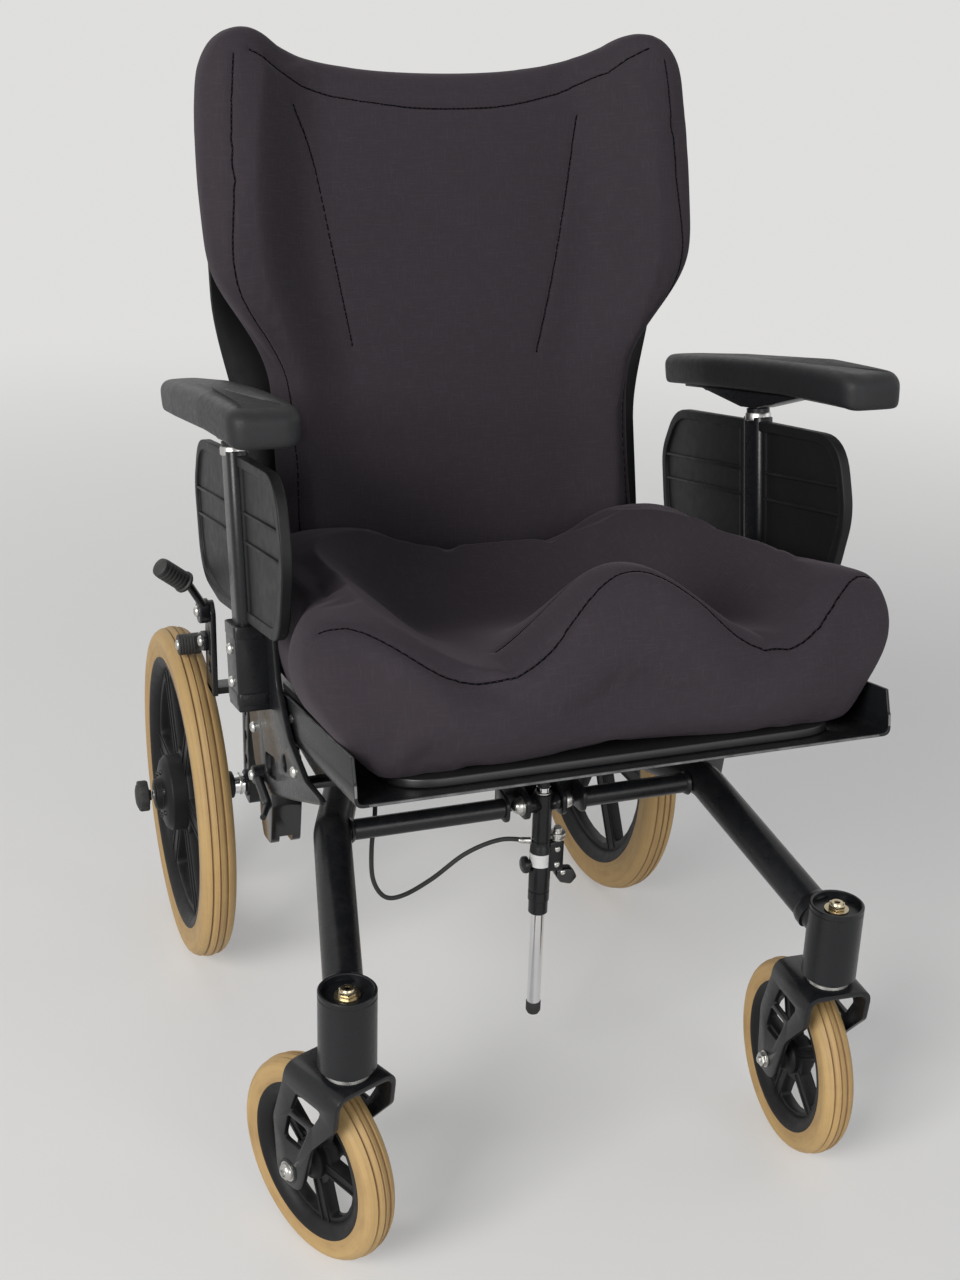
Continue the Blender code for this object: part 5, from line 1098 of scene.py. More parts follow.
def make_casters():
    for side in (-1, 1):
        label = side_name(side)
        place = swivel_place(side)
        axle = place @ Matrix.Translation((0.0, CASTER_TRAIL, CASTER_RADIUS))
        wheel = "caster_wheel_" + label
        make_fork(side, place)
        make_stem(side, place)
        make_tyre("caster_tyre_moulded_" + label, CASTER_RADIUS, CASTER_RIM, CASTER_HALF, axle, wheel,
            "caster_tyre_" + label)
        hub_end = FORK_HALF - 0.0055 - 0.0014
        make_rim("caster_rim_moulded_" + label, CASTER_RIM, CASTER_HALF, 0.012, (0.026, 0.059), 0.014, 5,
            [(0.01, hub_end), (0.0125, 0.016), (0.0175, 0.0125), (0.019, 0.01), (0.019, -0.01), (0.0175, -0.0125),
            (0.0125, -0.016), (0.01, -hub_end)], 0.0043, side, axle, wheel, "caster_rim_" + label, ())
        head = FORK_HALF + 0.0016
        bolt = socket_head((side * head, 0, 0), (side, 0, 0), 0.008, 0.005)
        washer = turned([(0.004, 0.0), (0.0098, 0.0), (0.0098, 0.0012), (0.004, 0.0012)],
            (side * (head - 0.0013), 0, 0), (side, 0, 0), "zinc_plate", 32, True)
        shaft = bar((side * head, 0, 0), (-side * head, 0, 0), 0.004, "zinc_plate", 20)
        nut = hex_nut((-side * (head - 0.0013), 0, 0), (-side, 0, 0), 0.0074, 0.0062)
        fit("caster_axle_plated_" + label, [bolt, washer, shaft, *nut], axle, wheel,
            ["caster_axle_bolt_" + label])


def knob_outline(radius, lobes, depth):
    """Outline of a lobed hand knob."""
    points = []
    for k in range(lobes * 8):
        angle = 2 * math.pi * k / (lobes * 8)
        r = radius - depth * (0.5 - 0.5 * math.cos(lobes * angle)) ** 2
        points.append((r * math.cos(angle), r * math.sin(angle)))
    return points


def make_rear_wheels():
    for side in (-1, 1):
        label = side_name(side)
        axle = BASE @ Matrix.Translation((side * WHEEL_X, WHEEL_Y, WHEEL_RADIUS))
        wheel = "rear_wheel_" + label
        make_tyre("rear_tyre_moulded_" + label, WHEEL_RADIUS, WHEEL_RIM, WHEEL_HALF, axle, wheel, "rear_tyre_" + label)
        make_rim("rear_rim_moulded_" + label, WHEEL_RIM, WHEEL_HALF, 0.014, (0.053, 0.141), 0.026, 6,
            [(0.015, HUB_OUTER), (0.0185, HUB_OUTER - 0.001), (0.0195, 0.032), (0.034, 0.031), (0.041, 0.0285),
            (0.0455, 0.024), (0.047, 0.006), (0.047, -0.01), (0.044, -0.014), (0.024, -0.02), (0.019, -0.024),
            (0.0165, -HUB_INNER)], 0.0064, side, axle, wheel, "rear_rim_" + label, ((0.0285, 0.0305, 0.003, 6,
            "black_bolt"),))
        start = HUB_OUTER + 0.004
        grip = slab(knob_outline(0.019, 8, 0.0024), start + 0.0035, start + 0.015, "Z", "soft_rubber", edge=0.0022,
            segments=3)
        cap = turned([(0.0, start + 0.018), (0.01, start + 0.0178), (0.014, start + 0.0165),
            (0.0155, start + 0.014), (0.0, start + 0.014)], (0, 0, 0), (0, 0, 1), "soft_rubber", 40)
        neck = turned([(0.0, start), (0.0065, start), (0.0065, start + 0.0022), (0.013, start + 0.003),
            (0.014, start + 0.005), (0.0, start + 0.005)], (0, 0, 0), (0, 0, 1), "soft_rubber", 32)
        for shell in (grip, cap, neck):
            aim(shell, (0, 0, 0), (side, 0, 0))
        fit("axle_knob_moulded_" + label, [grip, cap, neck], axle, "release_knob_" + label,
            ["axle_release_knob_" + label])
        spacer_in = SIDE_X + TUBE_RADIUS + 0.0003 + 0.014 + 0.003
        stop = WHEEL_X - HUB_INNER - 0.0009
        x = -side * WHEEL_X
        shaft = bar((x + side * (spacer_in - 0.022), 0, 0), (side * (HUB_OUTER + 0.003), 0, 0), AXLE_RADIUS,
            "bright_chrome", 32, 0.001)
        spacer = turned([(0.006, spacer_in + 0.0004), (0.0112, spacer_in + 0.0004), (0.012, spacer_in + 0.0014),
            (0.012, stop - 0.001), (0.0112, stop), (0.006, stop)], (x, 0, 0), (side, 0, 0), "bright_chrome", 40,
            True)
        ring = turned([(0.012, 0.0), (0.0136, 0.0004), (0.0136, 0.0026), (0.012, 0.003)],
            (x + side * (spacer_in + 0.004), 0, 0), (side, 0, 0), "zinc_plate", 40, True)
        fit("quick_axle_polished_" + label, [shaft, spacer, ring], axle, "base",
            ["quick_release_axle_" + label])


# Base frame

def make_side_frames():
    """Bent side tubes with their caster barrels and the bracket of the tilt pivot."""
    jx, jy, jz = JUNCTION
    for side in (-1, 1):
        label = side_name(side)
        path = [(side * CASTER_X, 0.006, 0.2725), (side * jx, jy, jz), (side * SIDE_X, jy + 0.095, RAIL_Z),
            (side * SIDE_X, RAIL_END - 0.002, RAIL_Z)]
        tube = pipe(path, TUBE_RADIUS, "satin_paint", 0.045, 8, 10)
        lip = 0.0032
        barrel = turned([(0.0085, BARREL_LOW), (BARREL_RADIUS - 0.0012, BARREL_LOW), (BARREL_RADIUS,
            BARREL_LOW + 0.0012), (BARREL_RADIUS, BARREL_TOP - 0.0062), (BARREL_RADIUS - 0.0005,
            BARREL_TOP - 0.0058), (BARREL_RADIUS - 0.0005, BARREL_TOP - 0.005), (BARREL_RADIUS,
            BARREL_TOP - 0.0046), (BARREL_RADIUS, BARREL_TOP - 0.001), (BARREL_RADIUS - 0.001, BARREL_TOP),
            (BARREL_RADIUS - lip + 0.0008, BARREL_TOP), (BARREL_RADIUS - lip, BARREL_TOP - 0.0008),
            (BARREL_RADIUS - lip, BARREL_TOP - BARREL_RECESS), (0.0085, BARREL_TOP - BARREL_RECESS)],
            (side * CASTER_X, 0, 0), (0, 0, 1), "satin_paint", 64, True, 40.0)
        start, after = Vector(path[0]), Vector(path[1])
        along = (after - start).normalized()
        meet = start + along * (BARREL_RADIUS + 0.0075)
        collar = turned([(TUBE_RADIUS - 0.0005, -0.011), (TUBE_RADIUS + 0.0024, -0.011),
            (TUBE_RADIUS + 0.002, -0.004), (TUBE_RADIUS + 0.0007, 0.0005), (TUBE_RADIUS - 0.0005, 0.0015)], meet,
            along, "satin_paint", 40, True)
        plug = turned([(0.0, 0.0), (TUBE_RADIUS - 0.003, 0.0), (TUBE_RADIUS - 0.0014, 0.0012),
            (TUBE_RADIUS - 0.0014, 0.003), (0.0, 0.003)], (side * SIDE_X, RAIL_END - 0.0035, RAIL_Z), (0, 1, 0),
            "moulded_plastic", 40)
        crown = [(PIVOT.y + 0.0122 * math.cos(math.radians(a)), PIVOT.z + 0.0122 * math.sin(math.radians(a)))
            for a in range(0, 181, 15)]
        low, high = sorted((side * 0.176, side * 0.192))
        bracket = slab([(PIVOT.y - 0.034, RAIL_Z), (PIVOT.y + 0.034, RAIL_Z), *crown], low, high, "X",
            "satin_paint", [circle((PIVOT.y, PIVOT.z), AXLE_RADIUS + 0.0003, 24)], 0.0012)
        fit("side_frame_painted_" + label, [tube, barrel, collar, plug, bracket], BASE, "base",
            ["side_frame_" + label])


def make_axle_bars():
    """Upright flat bars with their row of height holes and the welded axle receivers."""
    for side in (-1, 1):
        label = side_name(side)
        outer = SIDE_X + TUBE_RADIUS + 0.0003
        low, high = sorted((side * outer, side * (outer + 0.014)))
        shape = outline([(WHEEL_Y - 0.017, WHEEL_RADIUS - 0.024), (WHEEL_Y + 0.017, WHEEL_RADIUS - 0.024),
            (WHEEL_Y + 0.017, RAIL_Z + 0.018), (WHEEL_Y - 0.017, RAIL_Z + 0.018)], 0.012, 6)
        holes = [circle((WHEEL_Y, WHEEL_RADIUS + 0.032 * k), 0.0062, 24) for k in (1, 2, 3)]
        holes.append(circle((WHEEL_Y, WHEEL_RADIUS), AXLE_RADIUS + 0.0003, 24))
        shells = [slab(shape, low, high, "X", "satin_paint", holes, 0.0012)]
        face = side * (outer + 0.014)
        for at, reach in ((face, 0.003), (side * outer, -0.004)):
            shells.append(turned([(AXLE_RADIUS + 0.0003, 0.0), (0.0165, 0.0), (0.0165, abs(reach) - 0.001),
                (0.0155, abs(reach)), (AXLE_RADIUS + 0.0003, abs(reach))], (at, WHEEL_Y, WHEEL_RADIUS),
                (side * math.copysign(1, reach), 0, 0), "satin_paint", 40, True))
        for z in (RAIL_Z - 0.01, RAIL_Z + 0.01):
            shells.append(socket_head((face, WHEEL_Y, z), (side, 0, 0), 0.0062, 0.0042, "black_bolt"))
        fit("axle_bar_painted_" + label, shells, BASE, "base", ["axle_bar_" + label])
        rail_out = SEAT_RAIL_X + SEAT_RAIL_RADIUS + GAP
        rail_in = SEAT_RAIL_X - SEAT_RAIL_RADIUS - GAP
        at = (0.0, PIVOT.y, PIVOT.z)
        shaft = turned([(0.0, 0.1757), (AXLE_RADIUS, 0.1757), (AXLE_RADIUS, rail_out), (0.0, rail_out)], at,
            (side, 0, 0), "zinc_plate", 28)
        collar = turned([(AXLE_RADIUS, 0.192 + GAP), (0.01, 0.192 + GAP), (0.01, rail_in), (AXLE_RADIUS, rail_in)],
            at, (side, 0, 0), "zinc_plate", 32, True)
        head = socket_head((side * (rail_out + 0.0002), PIVOT.y, PIVOT.z), (side, 0, 0), 0.0095, 0.005)
        fit("pivot_pin_plated_" + label, [shaft, collar, head], BASE, "base", ["tilt_pivot_pin_" + label])


def make_cross_tubes():
    """Front cross tubes with the channel of the strut's trunnion, and the rear cross tube."""
    y, z, r = CROSS_Y, CROSS_Z, CROSS_RADIUS
    left, right = STRUT_X - 0.044, STRUT_X + 0.044
    reach = 0.017 + GAP
    shells = []
    for start, end, side in ((-JUNCTION[0] + 0.012, left + 0.003, -1), (right - 0.003, JUNCTION[0] - 0.012, 1)):
        shells.append(bar((start, y, z), (end, y, z), r, "satin_paint", 40))
        meet = (side * (JUNCTION[0] - TUBE_RADIUS - 0.0005), y, z)
        shells.append(turned([(r - 0.0003, 0.0), (r + 0.003, 0.0), (r + 0.0012, 0.0032), (r - 0.0003, 0.004)], meet,
            (-side, 0, 0), "satin_paint", 32, True))
    shells.append(block((left, y + 0.019, z - 0.016), (right, y + 0.024, z + 0.016), "satin_paint", 0.0012))
    shape = outline([(y + 0.021, z - 0.016), (y + 0.021, z + 0.016), (y - 0.013, z + 0.013),
        (y - 0.013, z - 0.013)], [0, 0, 0.012, 0.012], 6)
    for low, wide in ((left, 0.004), (STRUT_X - reach - 0.005, 0.005), (STRUT_X + reach, 0.005), (right - 0.004, 0.004)):
        shells.append(slab(shape, low, low + wide, "X", "satin_paint", edge=0.0008))
    for side in (-1, 1):
        head = STRUT_X + side * (reach + 0.0052)
        shells.append(turned([(0.0, 0.0125), (0.003, 0.0118), (0.0058, 0.01), (0.008, 0.0066), (0.0086, 0.004),
            (0.0086, 0.0016), (0.0, 0.0016)], (head, y, z), (side, 0, 0), "zinc_plate", 32, angle=50.0))
        shells.append(turned([(0.0, 0.0), (0.0102, 0.0), (0.0102, 0.0015), (0.0, 0.0015)], (head, y, z),
            (side, 0, 0), "zinc_plate", 32))
        shells.append(bar((STRUT_X + side * 0.0106, y, z), (head, y, z), 0.004, "zinc_plate", 20))
    fit("front_cross_painted", shells, BASE, "base", ["front_cross_member"])
    end = SIDE_X - TUBE_RADIUS - GAP
    shells = [bar((-end, REAR_TUBE_Y, RAIL_Z), (end, REAR_TUBE_Y, RAIL_Z), 0.0125, "satin_paint", 40)]
    for side in (-1, 1):
        shells.append(turned([(0.0122, 0.0), (0.016, 0.0), (0.014, 0.0034), (0.0122, 0.0044)],
            (side * end, REAR_TUBE_Y, RAIL_Z), (-side, 0, 0), "satin_paint", 32, True))
    fit("rear_cross_painted", shells, BASE, "base", ["rear_cross_tube"])


CABLE = [(0.01, 0.213, 0.2992), (-0.02, 0.2215, 0.3), (-0.055, 0.228, 0.286), (-0.09, 0.2305, 0.261),
    (-0.12, 0.232, 0.246), (-0.14, 0.233, 0.247), (-0.152, 0.235, 0.268), (-0.1525, 0.2395, 0.301),
    (-0.145, 0.254, 0.329), (-0.138, 0.28, 0.344), (-0.1378, 0.306, 0.345), (-0.1455, 0.322, 0.345)]


CABLE_RADIUS = 0.0024


def make_cable():
    """Sheathed release cable from the strut to the left rail, with its plated ends."""
    line = smooth_line(CABLE, 10)
    sheath = pipe(line, CABLE_RADIUS, "soft_rubber", 0.0, 6)
    ends = []
    for at, after in ((CABLE[0], CABLE[1]), (CABLE[-1], CABLE[-2])):
        at, after = Vector(at), Vector(after)
        ends.append(turned([(0.0, -0.0006), (0.003, -0.0006), (0.0034, 0.0004), (0.0034, 0.009), (0.0026, 0.012),
            (0.0, 0.012)], at, after - at, "zinc_plate", 20))
    tips = fit("release_cable_ends", ends, BASE, "base", [])
    sheath = fit("release_cable_sheathed", [sheath], BASE, "base", ["release_cable"])


# Wheel locks

LOCK_X = 0.262
LEVER_PIVOT = (0.5, 0.476)
SHOE_PIVOT = (0.512, 0.436)
SHOE_CENTRE = (0.57, 0.4105)


def make_wheel_locks():
    """Brackets, hand levers with ribbed grips, and the arms with their shoes."""
    (ly, lz), (sy, sz) = LEVER_PIVOT, SHOE_PIVOT
    for side in (-1, 1):
        label = side_name(side)
        low, high = sorted((side * 0.184, side * 0.19))
        foot = slab(outline([(ly - 0.016, 0.3645), (ly + 0.024, 0.3645), (ly + 0.02, 0.395), (ly - 0.012, 0.395)],
            0.004, 4), low, high, "X", "satin_paint", edge=0.001)
        clamp = turned([(TUBE_RADIUS + 0.0003, -0.018), (TUBE_RADIUS + 0.0032, -0.018),
            (TUBE_RADIUS + 0.0036, -0.016), (TUBE_RADIUS + 0.0036, 0.016), (TUBE_RADIUS + 0.0032, 0.018),
            (TUBE_RADIUS + 0.0003, 0.018)], (side * SIDE_X, ly + 0.004, RAIL_Z), (0, 1, 0), "satin_paint", 48, True)
        a_low, a_high = sorted((side * 0.188, side * LOCK_X))
        arm = block((a_low, ly - 0.008, 0.378), (a_high, ly + 0.016, 0.386), "satin_paint", 0.0012)
        low, high = sorted((side * (LOCK_X - 0.006), side * LOCK_X))
        web = slab(outline([(ly - 0.014, 0.378), (ly + 0.022, 0.378), (sy + 0.011, sz + 0.004),
            (ly + 0.013, lz + 0.006), (ly - 0.003, lz + 0.014), (ly - 0.014, lz)], [0.003, 0.005, 0.008, 0.008,
            0.01, 0.01], 6), low, high, "X", "satin_paint", [circle((ly + 0.001, 0.408), 0.0072, 28),
            outline([(ly - 0.006, 0.424), (ly + 0.006, 0.424), (ly + 0.002, 0.452), (ly - 0.006, 0.452)], 0.003,
            4)], 0.001)
        shells = [foot, clamp, arm, web]
        for y, z, reach in ((ly, lz, 0.0118), (sy, sz, 0.0066)):
            shells.append(bar((side * (LOCK_X - 0.004), y, z), (side * (LOCK_X + reach), y, z), 0.0044, "zinc_plate", 24))
            shells.append(socket_head((side * (LOCK_X + reach), y, z), (side, 0, 0), 0.0062, 0.0036, "zinc_plate"))
        for y in (ly - 0.004, ly + 0.012):
            shells.append(socket_head((side * 0.206, y, 0.386), (0, 0, 1), 0.005, 0.0036))
        fit("lock_bracket_painted_" + label, shells, BASE, "base", ["lock_bracket_" + label])

        place = BASE @ Matrix.Translation((side * LOCK_X, ly, lz))
        boss = turned([(0.0046, 0.0003), (0.0132, 0.0003), (0.0136, 0.0012), (0.0136, 0.0098), (0.0124, 0.0112),
            (0.0046, 0.0112)], (0, 0, 0), (side, 0, 0), "satin_paint", 40, True)
        root, neck, tip = (Vector((side * 0.0062, -0.006, 0.008)), Vector((side * 0.022, -0.014, 0.036)),
            Vector((side * 0.052, -0.026, 0.062)))
        stem = pipe([root, neck, tip], 0.0045, "satin_paint", 0.02, 6, 8)
        along = (tip - neck).normalized()
        start = neck.lerp(tip, 0.15)
        profile = [(0.0046, -0.0006), (0.0112, -0.0006), (0.0122, 0.0006), (0.0122, 0.003), (0.0104, 0.0042)]
        for k in range(6):
            z = 0.006 + 0.0047 * k
            profile += [(0.0102, z), (0.011, z + 0.0012), (0.011, z + 0.003), (0.0102, z + 0.0042)]
        profile += [(0.0108, 0.0355), (0.01, 0.0385), (0.007, 0.0402), (0.0, 0.0405)]
        grip = turned([(0.0, -0.0006), *profile], start, along, "soft_rubber", 32, angle=40.0)
        fit("lock_lever_painted_" + label, [boss, stem, grip], place, "lock_lever_body_" + label,
            ["lock_lever_" + label])

        place = BASE @ Matrix.Translation((side * LOCK_X, sy, sz))
        cy, cz = SHOE_CENTRE[0] - sy, SHOE_CENTRE[1] - sz
        near, far = sorted((side * GAP, side * 0.0055))
        arm = slab(outline([(-0.01, 0.006), (-0.008, -0.009), (cy, cz - 0.007), (cy + 0.007, cz), (cy, cz + 0.007),
            (0.006, 0.01)], 0.006, 6), near, far, "X", "satin_paint", [circle((0, 0), 0.0048, 28)], 0.0008)
        profile = [(0.0, -0.0025), (0.0112, -0.0025), (0.0122, -0.0015)]
        for k in range(5):
            x = 0.006 + 0.0034 * k
            profile += [(0.0122, x), (0.0116, x + 0.0006), (0.0116, x + 0.0012), (0.0122, x + 0.0018)]
        profile += [(0.0122, 0.0215), (0.0112, 0.0225), (0.0, 0.0225)]
        shoe = turned(profile, (0, cy, cz), (side, 0, 0), "soft_rubber", 40)
        cap = socket_head((side * 0.0225, cy, cz), (side, 0, 0), 0.006, 0.0026)
        fit("lock_shoe_moulded_" + label, [arm, shoe, cap], place, "lock_shoe_body_" + label,
            ["lock_shoe_" + label])


# Tilt strut

def make_strut():
    """Trunnion housing with its lever, the chrome rod and the rod's eye."""
    place = BASE @ Matrix.Translation((STRUT_X, CROSS_Y, CROSS_Z))
    r, bore = STRUT_RADIUS, ROD_RADIUS + 0.0006
    housing = turned([(bore, 0.0125), (r - 0.0022, 0.0125), (r - 0.0012, 0.0115), (r - 0.0012, -0.0405),
        (r - 0.0018, -0.0412), (r - 0.0018, -0.0424), (r - 0.0012, -0.043), (r - 0.001, -0.048), (r, -0.0495),
        (r, -0.0985), (r - 0.0008, -0.0992), (r - 0.0008, -0.1008), (r, -0.1015), (r, -0.112), (r - 0.001, -0.113),
        (r - 0.001, -0.127), (r - 0.002, -0.128), (bore, -0.128)], (0, 0, 0), (0, 0, 1), "satin_paint", 56, True,
        40.0)
    rim = turned([(bore - 0.0002, 0.012), (r - 0.0024, 0.012), (r - 0.0026, 0.0136), (bore - 0.0002, 0.014)],
        (0, 0, 0), (0, 0, 1), "zinc_plate", 40, True)
    boss = turned([(0.0042, -0.017), (0.008, -0.017), (0.009, -0.016), (0.009, 0.016), (0.008, 0.017),
        (0.0042, 0.017)], (0, 0, 0), (1, 0, 0), "satin_paint", 36, True)
    carve(boss, bar((0, 0, -0.05), (0, 0, 0.05), r - 0.0016, "satin_paint", 32))
    knob = turned([(0.0, 0.0078), (0.007, 0.0074), (0.0088, 0.006), (0.0092, 0.004), (0.0088, 0.0014), (0.005, 0.0),
        (0.0045, -0.006), (0.0, -0.006)], (-r - 0.0018, 0, -0.0695), (-1, 0, 0), "satin_paint", 32)
    bracket = block((r - 0.004, -0.008, -0.078), (r + 0.012, 0.008, -0.044), "satin_paint", 0.0016)
    stack = turned([(0.0, 0.0), (0.0036, 0.0), (0.0046, -0.001), (0.005, -0.006), (0.0086, -0.0062),
        (0.0088, -0.0072), (0.0086, -0.0086), (0.0052, -0.009), (0.0052, -0.012), (0.0078, -0.0122),
        (0.0078, -0.0136), (0.005, -0.0138), (0.005, -0.017), (0.0, -0.017)], (r + 0.0068, 0, -0.03), (0, 0, 1),
        "zinc_plate", 28)
    screws = [socket_head((r + 0.004, -0.008, z), (0, -1, 0), 0.0034, 0.0024) for z in (-0.052, -0.07)]
    band = turned([(r + 0.0001, -0.0705), (r + 0.0004, -0.0705), (r + 0.0004, -0.056), (r + 0.0001, -0.056)],
        (0, 0, 0), (0, 0, 1), "bare_band", 48, True)
    carve(band, block((r - 0.006, -0.02, -0.08), (r + 0.03, 0.02, -0.04), "bare_band", 0.0))
    fit("strut_housing_painted", [housing, rim, boss, knob, bracket, stack, band, *screws], place,
        "strut_housing_body", ["strut_housing"])

    lever_place = place @ Matrix.Translation((r + 0.0125, 0.0, -0.082))
    lever = slab(outline([(-0.006, 0.004), (0.012, 0.002), (0.017, -0.008), (0.01, -0.016), (-0.002, -0.012),
        (-0.007, -0.004)], 0.004, 6), -0.006, 0.006, "Y", "glossy_plastic", edge=0.0014, segments=3)
    pin = socket_head((0.0, -0.006, 0.0), (0, -1, 0), 0.003, 0.0016)
    fit("strut_lever_moulded", [lever, pin], lever_place, "strut_lever_body", ["strut_lever"])

    low = 0.1045 - CROSS_Z
    rod = turned([(0.0, 0.02), (ROD_RADIUS - 0.0008, 0.02), (ROD_RADIUS, 0.019), (ROD_RADIUS, low), (0.0, low)],
        (0, 0, 0), (0, 0, 1), "bright_chrome", 48)
    foot = turned([(0.0, low), (ROD_RADIUS + 0.0004, low), (ROD_RADIUS + 0.0008, low - 0.0008),
        (ROD_RADIUS + 0.0008, low - 0.011), (ROD_RADIUS - 0.001, low - 0.0145), (0.0, low - 0.016)], (0, 0, 0),
        (0, 0, 1), "soft_rubber", 36)
    fit("strut_rod_polished", [rod, foot], place, "strut_rod_body", ["strut_rod"])
    eye = turned([(0.0, ROD_PIN - 0.012), (ROD_RADIUS - 0.0012, ROD_PIN - 0.012), (ROD_RADIUS, ROD_PIN - 0.0135),
        (ROD_RADIUS, 0.0203), (0.0, 0.0203)], (0, 0, 0), (0, 0, 1), "satin_paint", 40)
    tongue = slab(outline([(-0.0095, ROD_PIN - 0.018), (0.0095, ROD_PIN - 0.018), (0.0125, ROD_PIN + 0.004),
        (0.006, ROD_PIN + 0.0115), (-0.006, ROD_PIN + 0.0115), (-0.0125, ROD_PIN + 0.004)], 0.006, 5), -0.004,
        0.004, "X", "satin_paint", [circle((0, ROD_PIN), 0.0077, 32)], 0.0008)
    fit("strut_eye_painted", [eye, tongue], place, "strut_rod_body", ["strut_rod_end"])


# Seat

def strut_pin():
    """The rod's pin in seat coordinates (s, t)."""
    dy, dz = CROSS_Y + 0.0422, 0.431 - 0.5012
    return dy * math.cos(TILT) - dz * math.sin(TILT), dy * math.sin(TILT) + dz * math.cos(TILT)


def make_seat_frame():
    """Two rails with end plugs, cross bars and the strut's clevis."""
    t = -GAP - SEAT_RAIL_RADIUS
    shells = []
    for side in (-1, 1):
        x = side * SEAT_RAIL_X
        rail = bar((x, 0.15, t), (x, PIVOT_S + 0.02, t), SEAT_RAIL_RADIUS, "satin_paint", 48, 0.0008)
        carve(rail, bar((x - 0.03, PIVOT_S, t), (x + 0.03, PIVOT_S, t), AXLE_RADIUS + GAP, "satin_paint", 24))
        shells.append(finish_shell(rail, "satin_paint"))
        for s, way in ((0.15, -1), (PIVOT_S + 0.02, 1)):
            shells.append(turned([(0.0, -0.0005), (0.0114, -0.0005), (0.011, 0.0012), (0.007, 0.0022),
                (0.0, 0.0024)], (x, s, t), (0, way, 0), "moulded_plastic", 32, angle=50.0))
        for s in (0.205, 0.3, 0.44):
            shells.append(socket_head((x, s, t - SEAT_RAIL_RADIUS + 0.0008), (0, 0, -1), 0.0052, 0.0034))
    ps, pt = strut_pin()
    for s in (ps + 0.03, 0.425):
        shells.append(bar((-SEAT_RAIL_X + 0.01, s, t), (SEAT_RAIL_X - 0.01, s, t), 0.0095, "satin_paint", 36))
        for side in (-1, 1):
            shells.append(turned([(0.0092, 0.0), (0.0124, 0.0), (0.0108, 0.003), (0.0092, 0.0038)],
                (side * (SEAT_RAIL_X - SEAT_RAIL_RADIUS + 0.0004), s, t), (-side, 0, 0), "satin_paint", 32, True))
    shape = outline([(ps + 0.036, t - 0.006), (ps + 0.036, t + 0.008), (ps - 0.009, pt + 0.009),
        (ps - 0.009, pt - 0.009), (ps + 0.008, pt - 0.009)], [0, 0, 0.008, 0.008, 0.008], 5)
    for side in (-1, 1):
        near, far = sorted((STRUT_X + side * 0.0075, STRUT_X + side * 0.0115))
        shells.append(slab(shape, near, far, "X", "satin_paint", edge=0.0008))
        shells.append(socket_head((STRUT_X + side * 0.0116, ps, pt), (side, 0, 0), 0.0058, 0.0034))
    shells.append(bar((STRUT_X - 0.012, ps, pt), (STRUT_X + 0.012, ps, pt), 0.0035, "zinc_plate", 24))
    fit("seat_frame_painted", shells, SEAT, "seat", ["seat_frame"])


def make_pan():
    """Folded sheet tray with upturned sides, thin pale strips painted as highlights along its edges, and the screws of
    the rails.
    """
    w, wall, sheet = PAN_HALF, PAN_WALL, PAN_SHEET
    section = outline([(-w, wall), (-w, 0.0), (w, 0.0), (w, wall), (w - sheet, wall), (w - sheet, sheet),
        (sheet - w, sheet), (sheet - w, wall)], [0, 0.008, 0.008, 0, 0, 0.005, 0.005, 0], 6)
    pan = slab(section, 0.0, PAN_LENGTH, "Y", "satin_paint", edge=0.0)
    cuts = [slab(outline([(-0.02, 0.02), (0.001, 0.02), (0.005, wall + 0.001), (0.005, wall + 0.02),
        (-0.02, wall + 0.02)], [0, 0.003, 0.003, 0, 0], 4), -0.3, 0.3, "X", "satin_paint", edge=0.0),
        slab(outline([(0.43, wall + 0.01), (0.47, 0.016), (0.51, 0.016), (0.51, wall + 0.01)], [0.012, 0.012, 0, 0],
        5), -0.3, 0.3, "X", "satin_paint", edge=0.0), slab(outline([(STRUT_X - 0.016, 0.2), (STRUT_X + 0.016, 0.2),
        (STRUT_X + 0.016, 0.16), (STRUT_X - 0.016, 0.16)], 0.006, 5), -0.01, 0.01, "Z", "satin_paint", edge=0.0)]
    for cut in cuts:
        carve(pan, cut)
    close_up(pan)
    bevel(pan, 0.0007, 2, 40.0)
    finish_shell(pan, "satin_paint", 30.0)
    shells = [pan]
    for side in (-1, 1):
        for s in (0.205, 0.3, 0.44):
            x = side * SEAT_RAIL_X
            shells.append(socket_head((x, s, sheet), (0, 0, 1), 0.0052, 0.0024, "black_bolt")
                if s > 0.43 else socket_head((side * w, s, 0.026), (side, 0, 0), 0.0048, 0.0026, "black_bolt"))
        # Thin pale strips on the front ends and tops of the side walls and on the sheet's front edge: painted
        # highlights.
        low, high = sorted((side * (w - 0.0004), side * (w - sheet + 0.0004)))
        shells.append(block((low, -0.0005, 0.009), (high, 0.0003, 0.0195), "painted_edge_highlight", 0.0003, 1))
        shells.append(block((low, 0.006, wall - 0.0003), (high, 0.428, wall + 0.0004), "painted_edge_highlight", 0.0003, 1))
    shells.append(block((-w + 0.012, -0.0006, 0.0005), (w - 0.012, 0.0002, sheet - 0.0005), "painted_edge_highlight", 0.0003, 1))
    fit("seat_pan_painted", shells, SEAT, "seat", ["seat_pan"])


def make_board():
    """Cushion board with rounded corners."""
    half, low, high = 0.212, 0.016, 0.43
    shape = outline([(-half, low), (half, low), (half, high), (-half, high)], [0.05, 0.05, 0.022, 0.022], 8)
    base = PAN_SHEET + GAP
    board = slab(shape, base, base + BOARD, "Z", "laminate", edge=0.0014, segments=3)
    fit("cushion_board_laminated", [board], SEAT, "seat", ["cushion_board"])


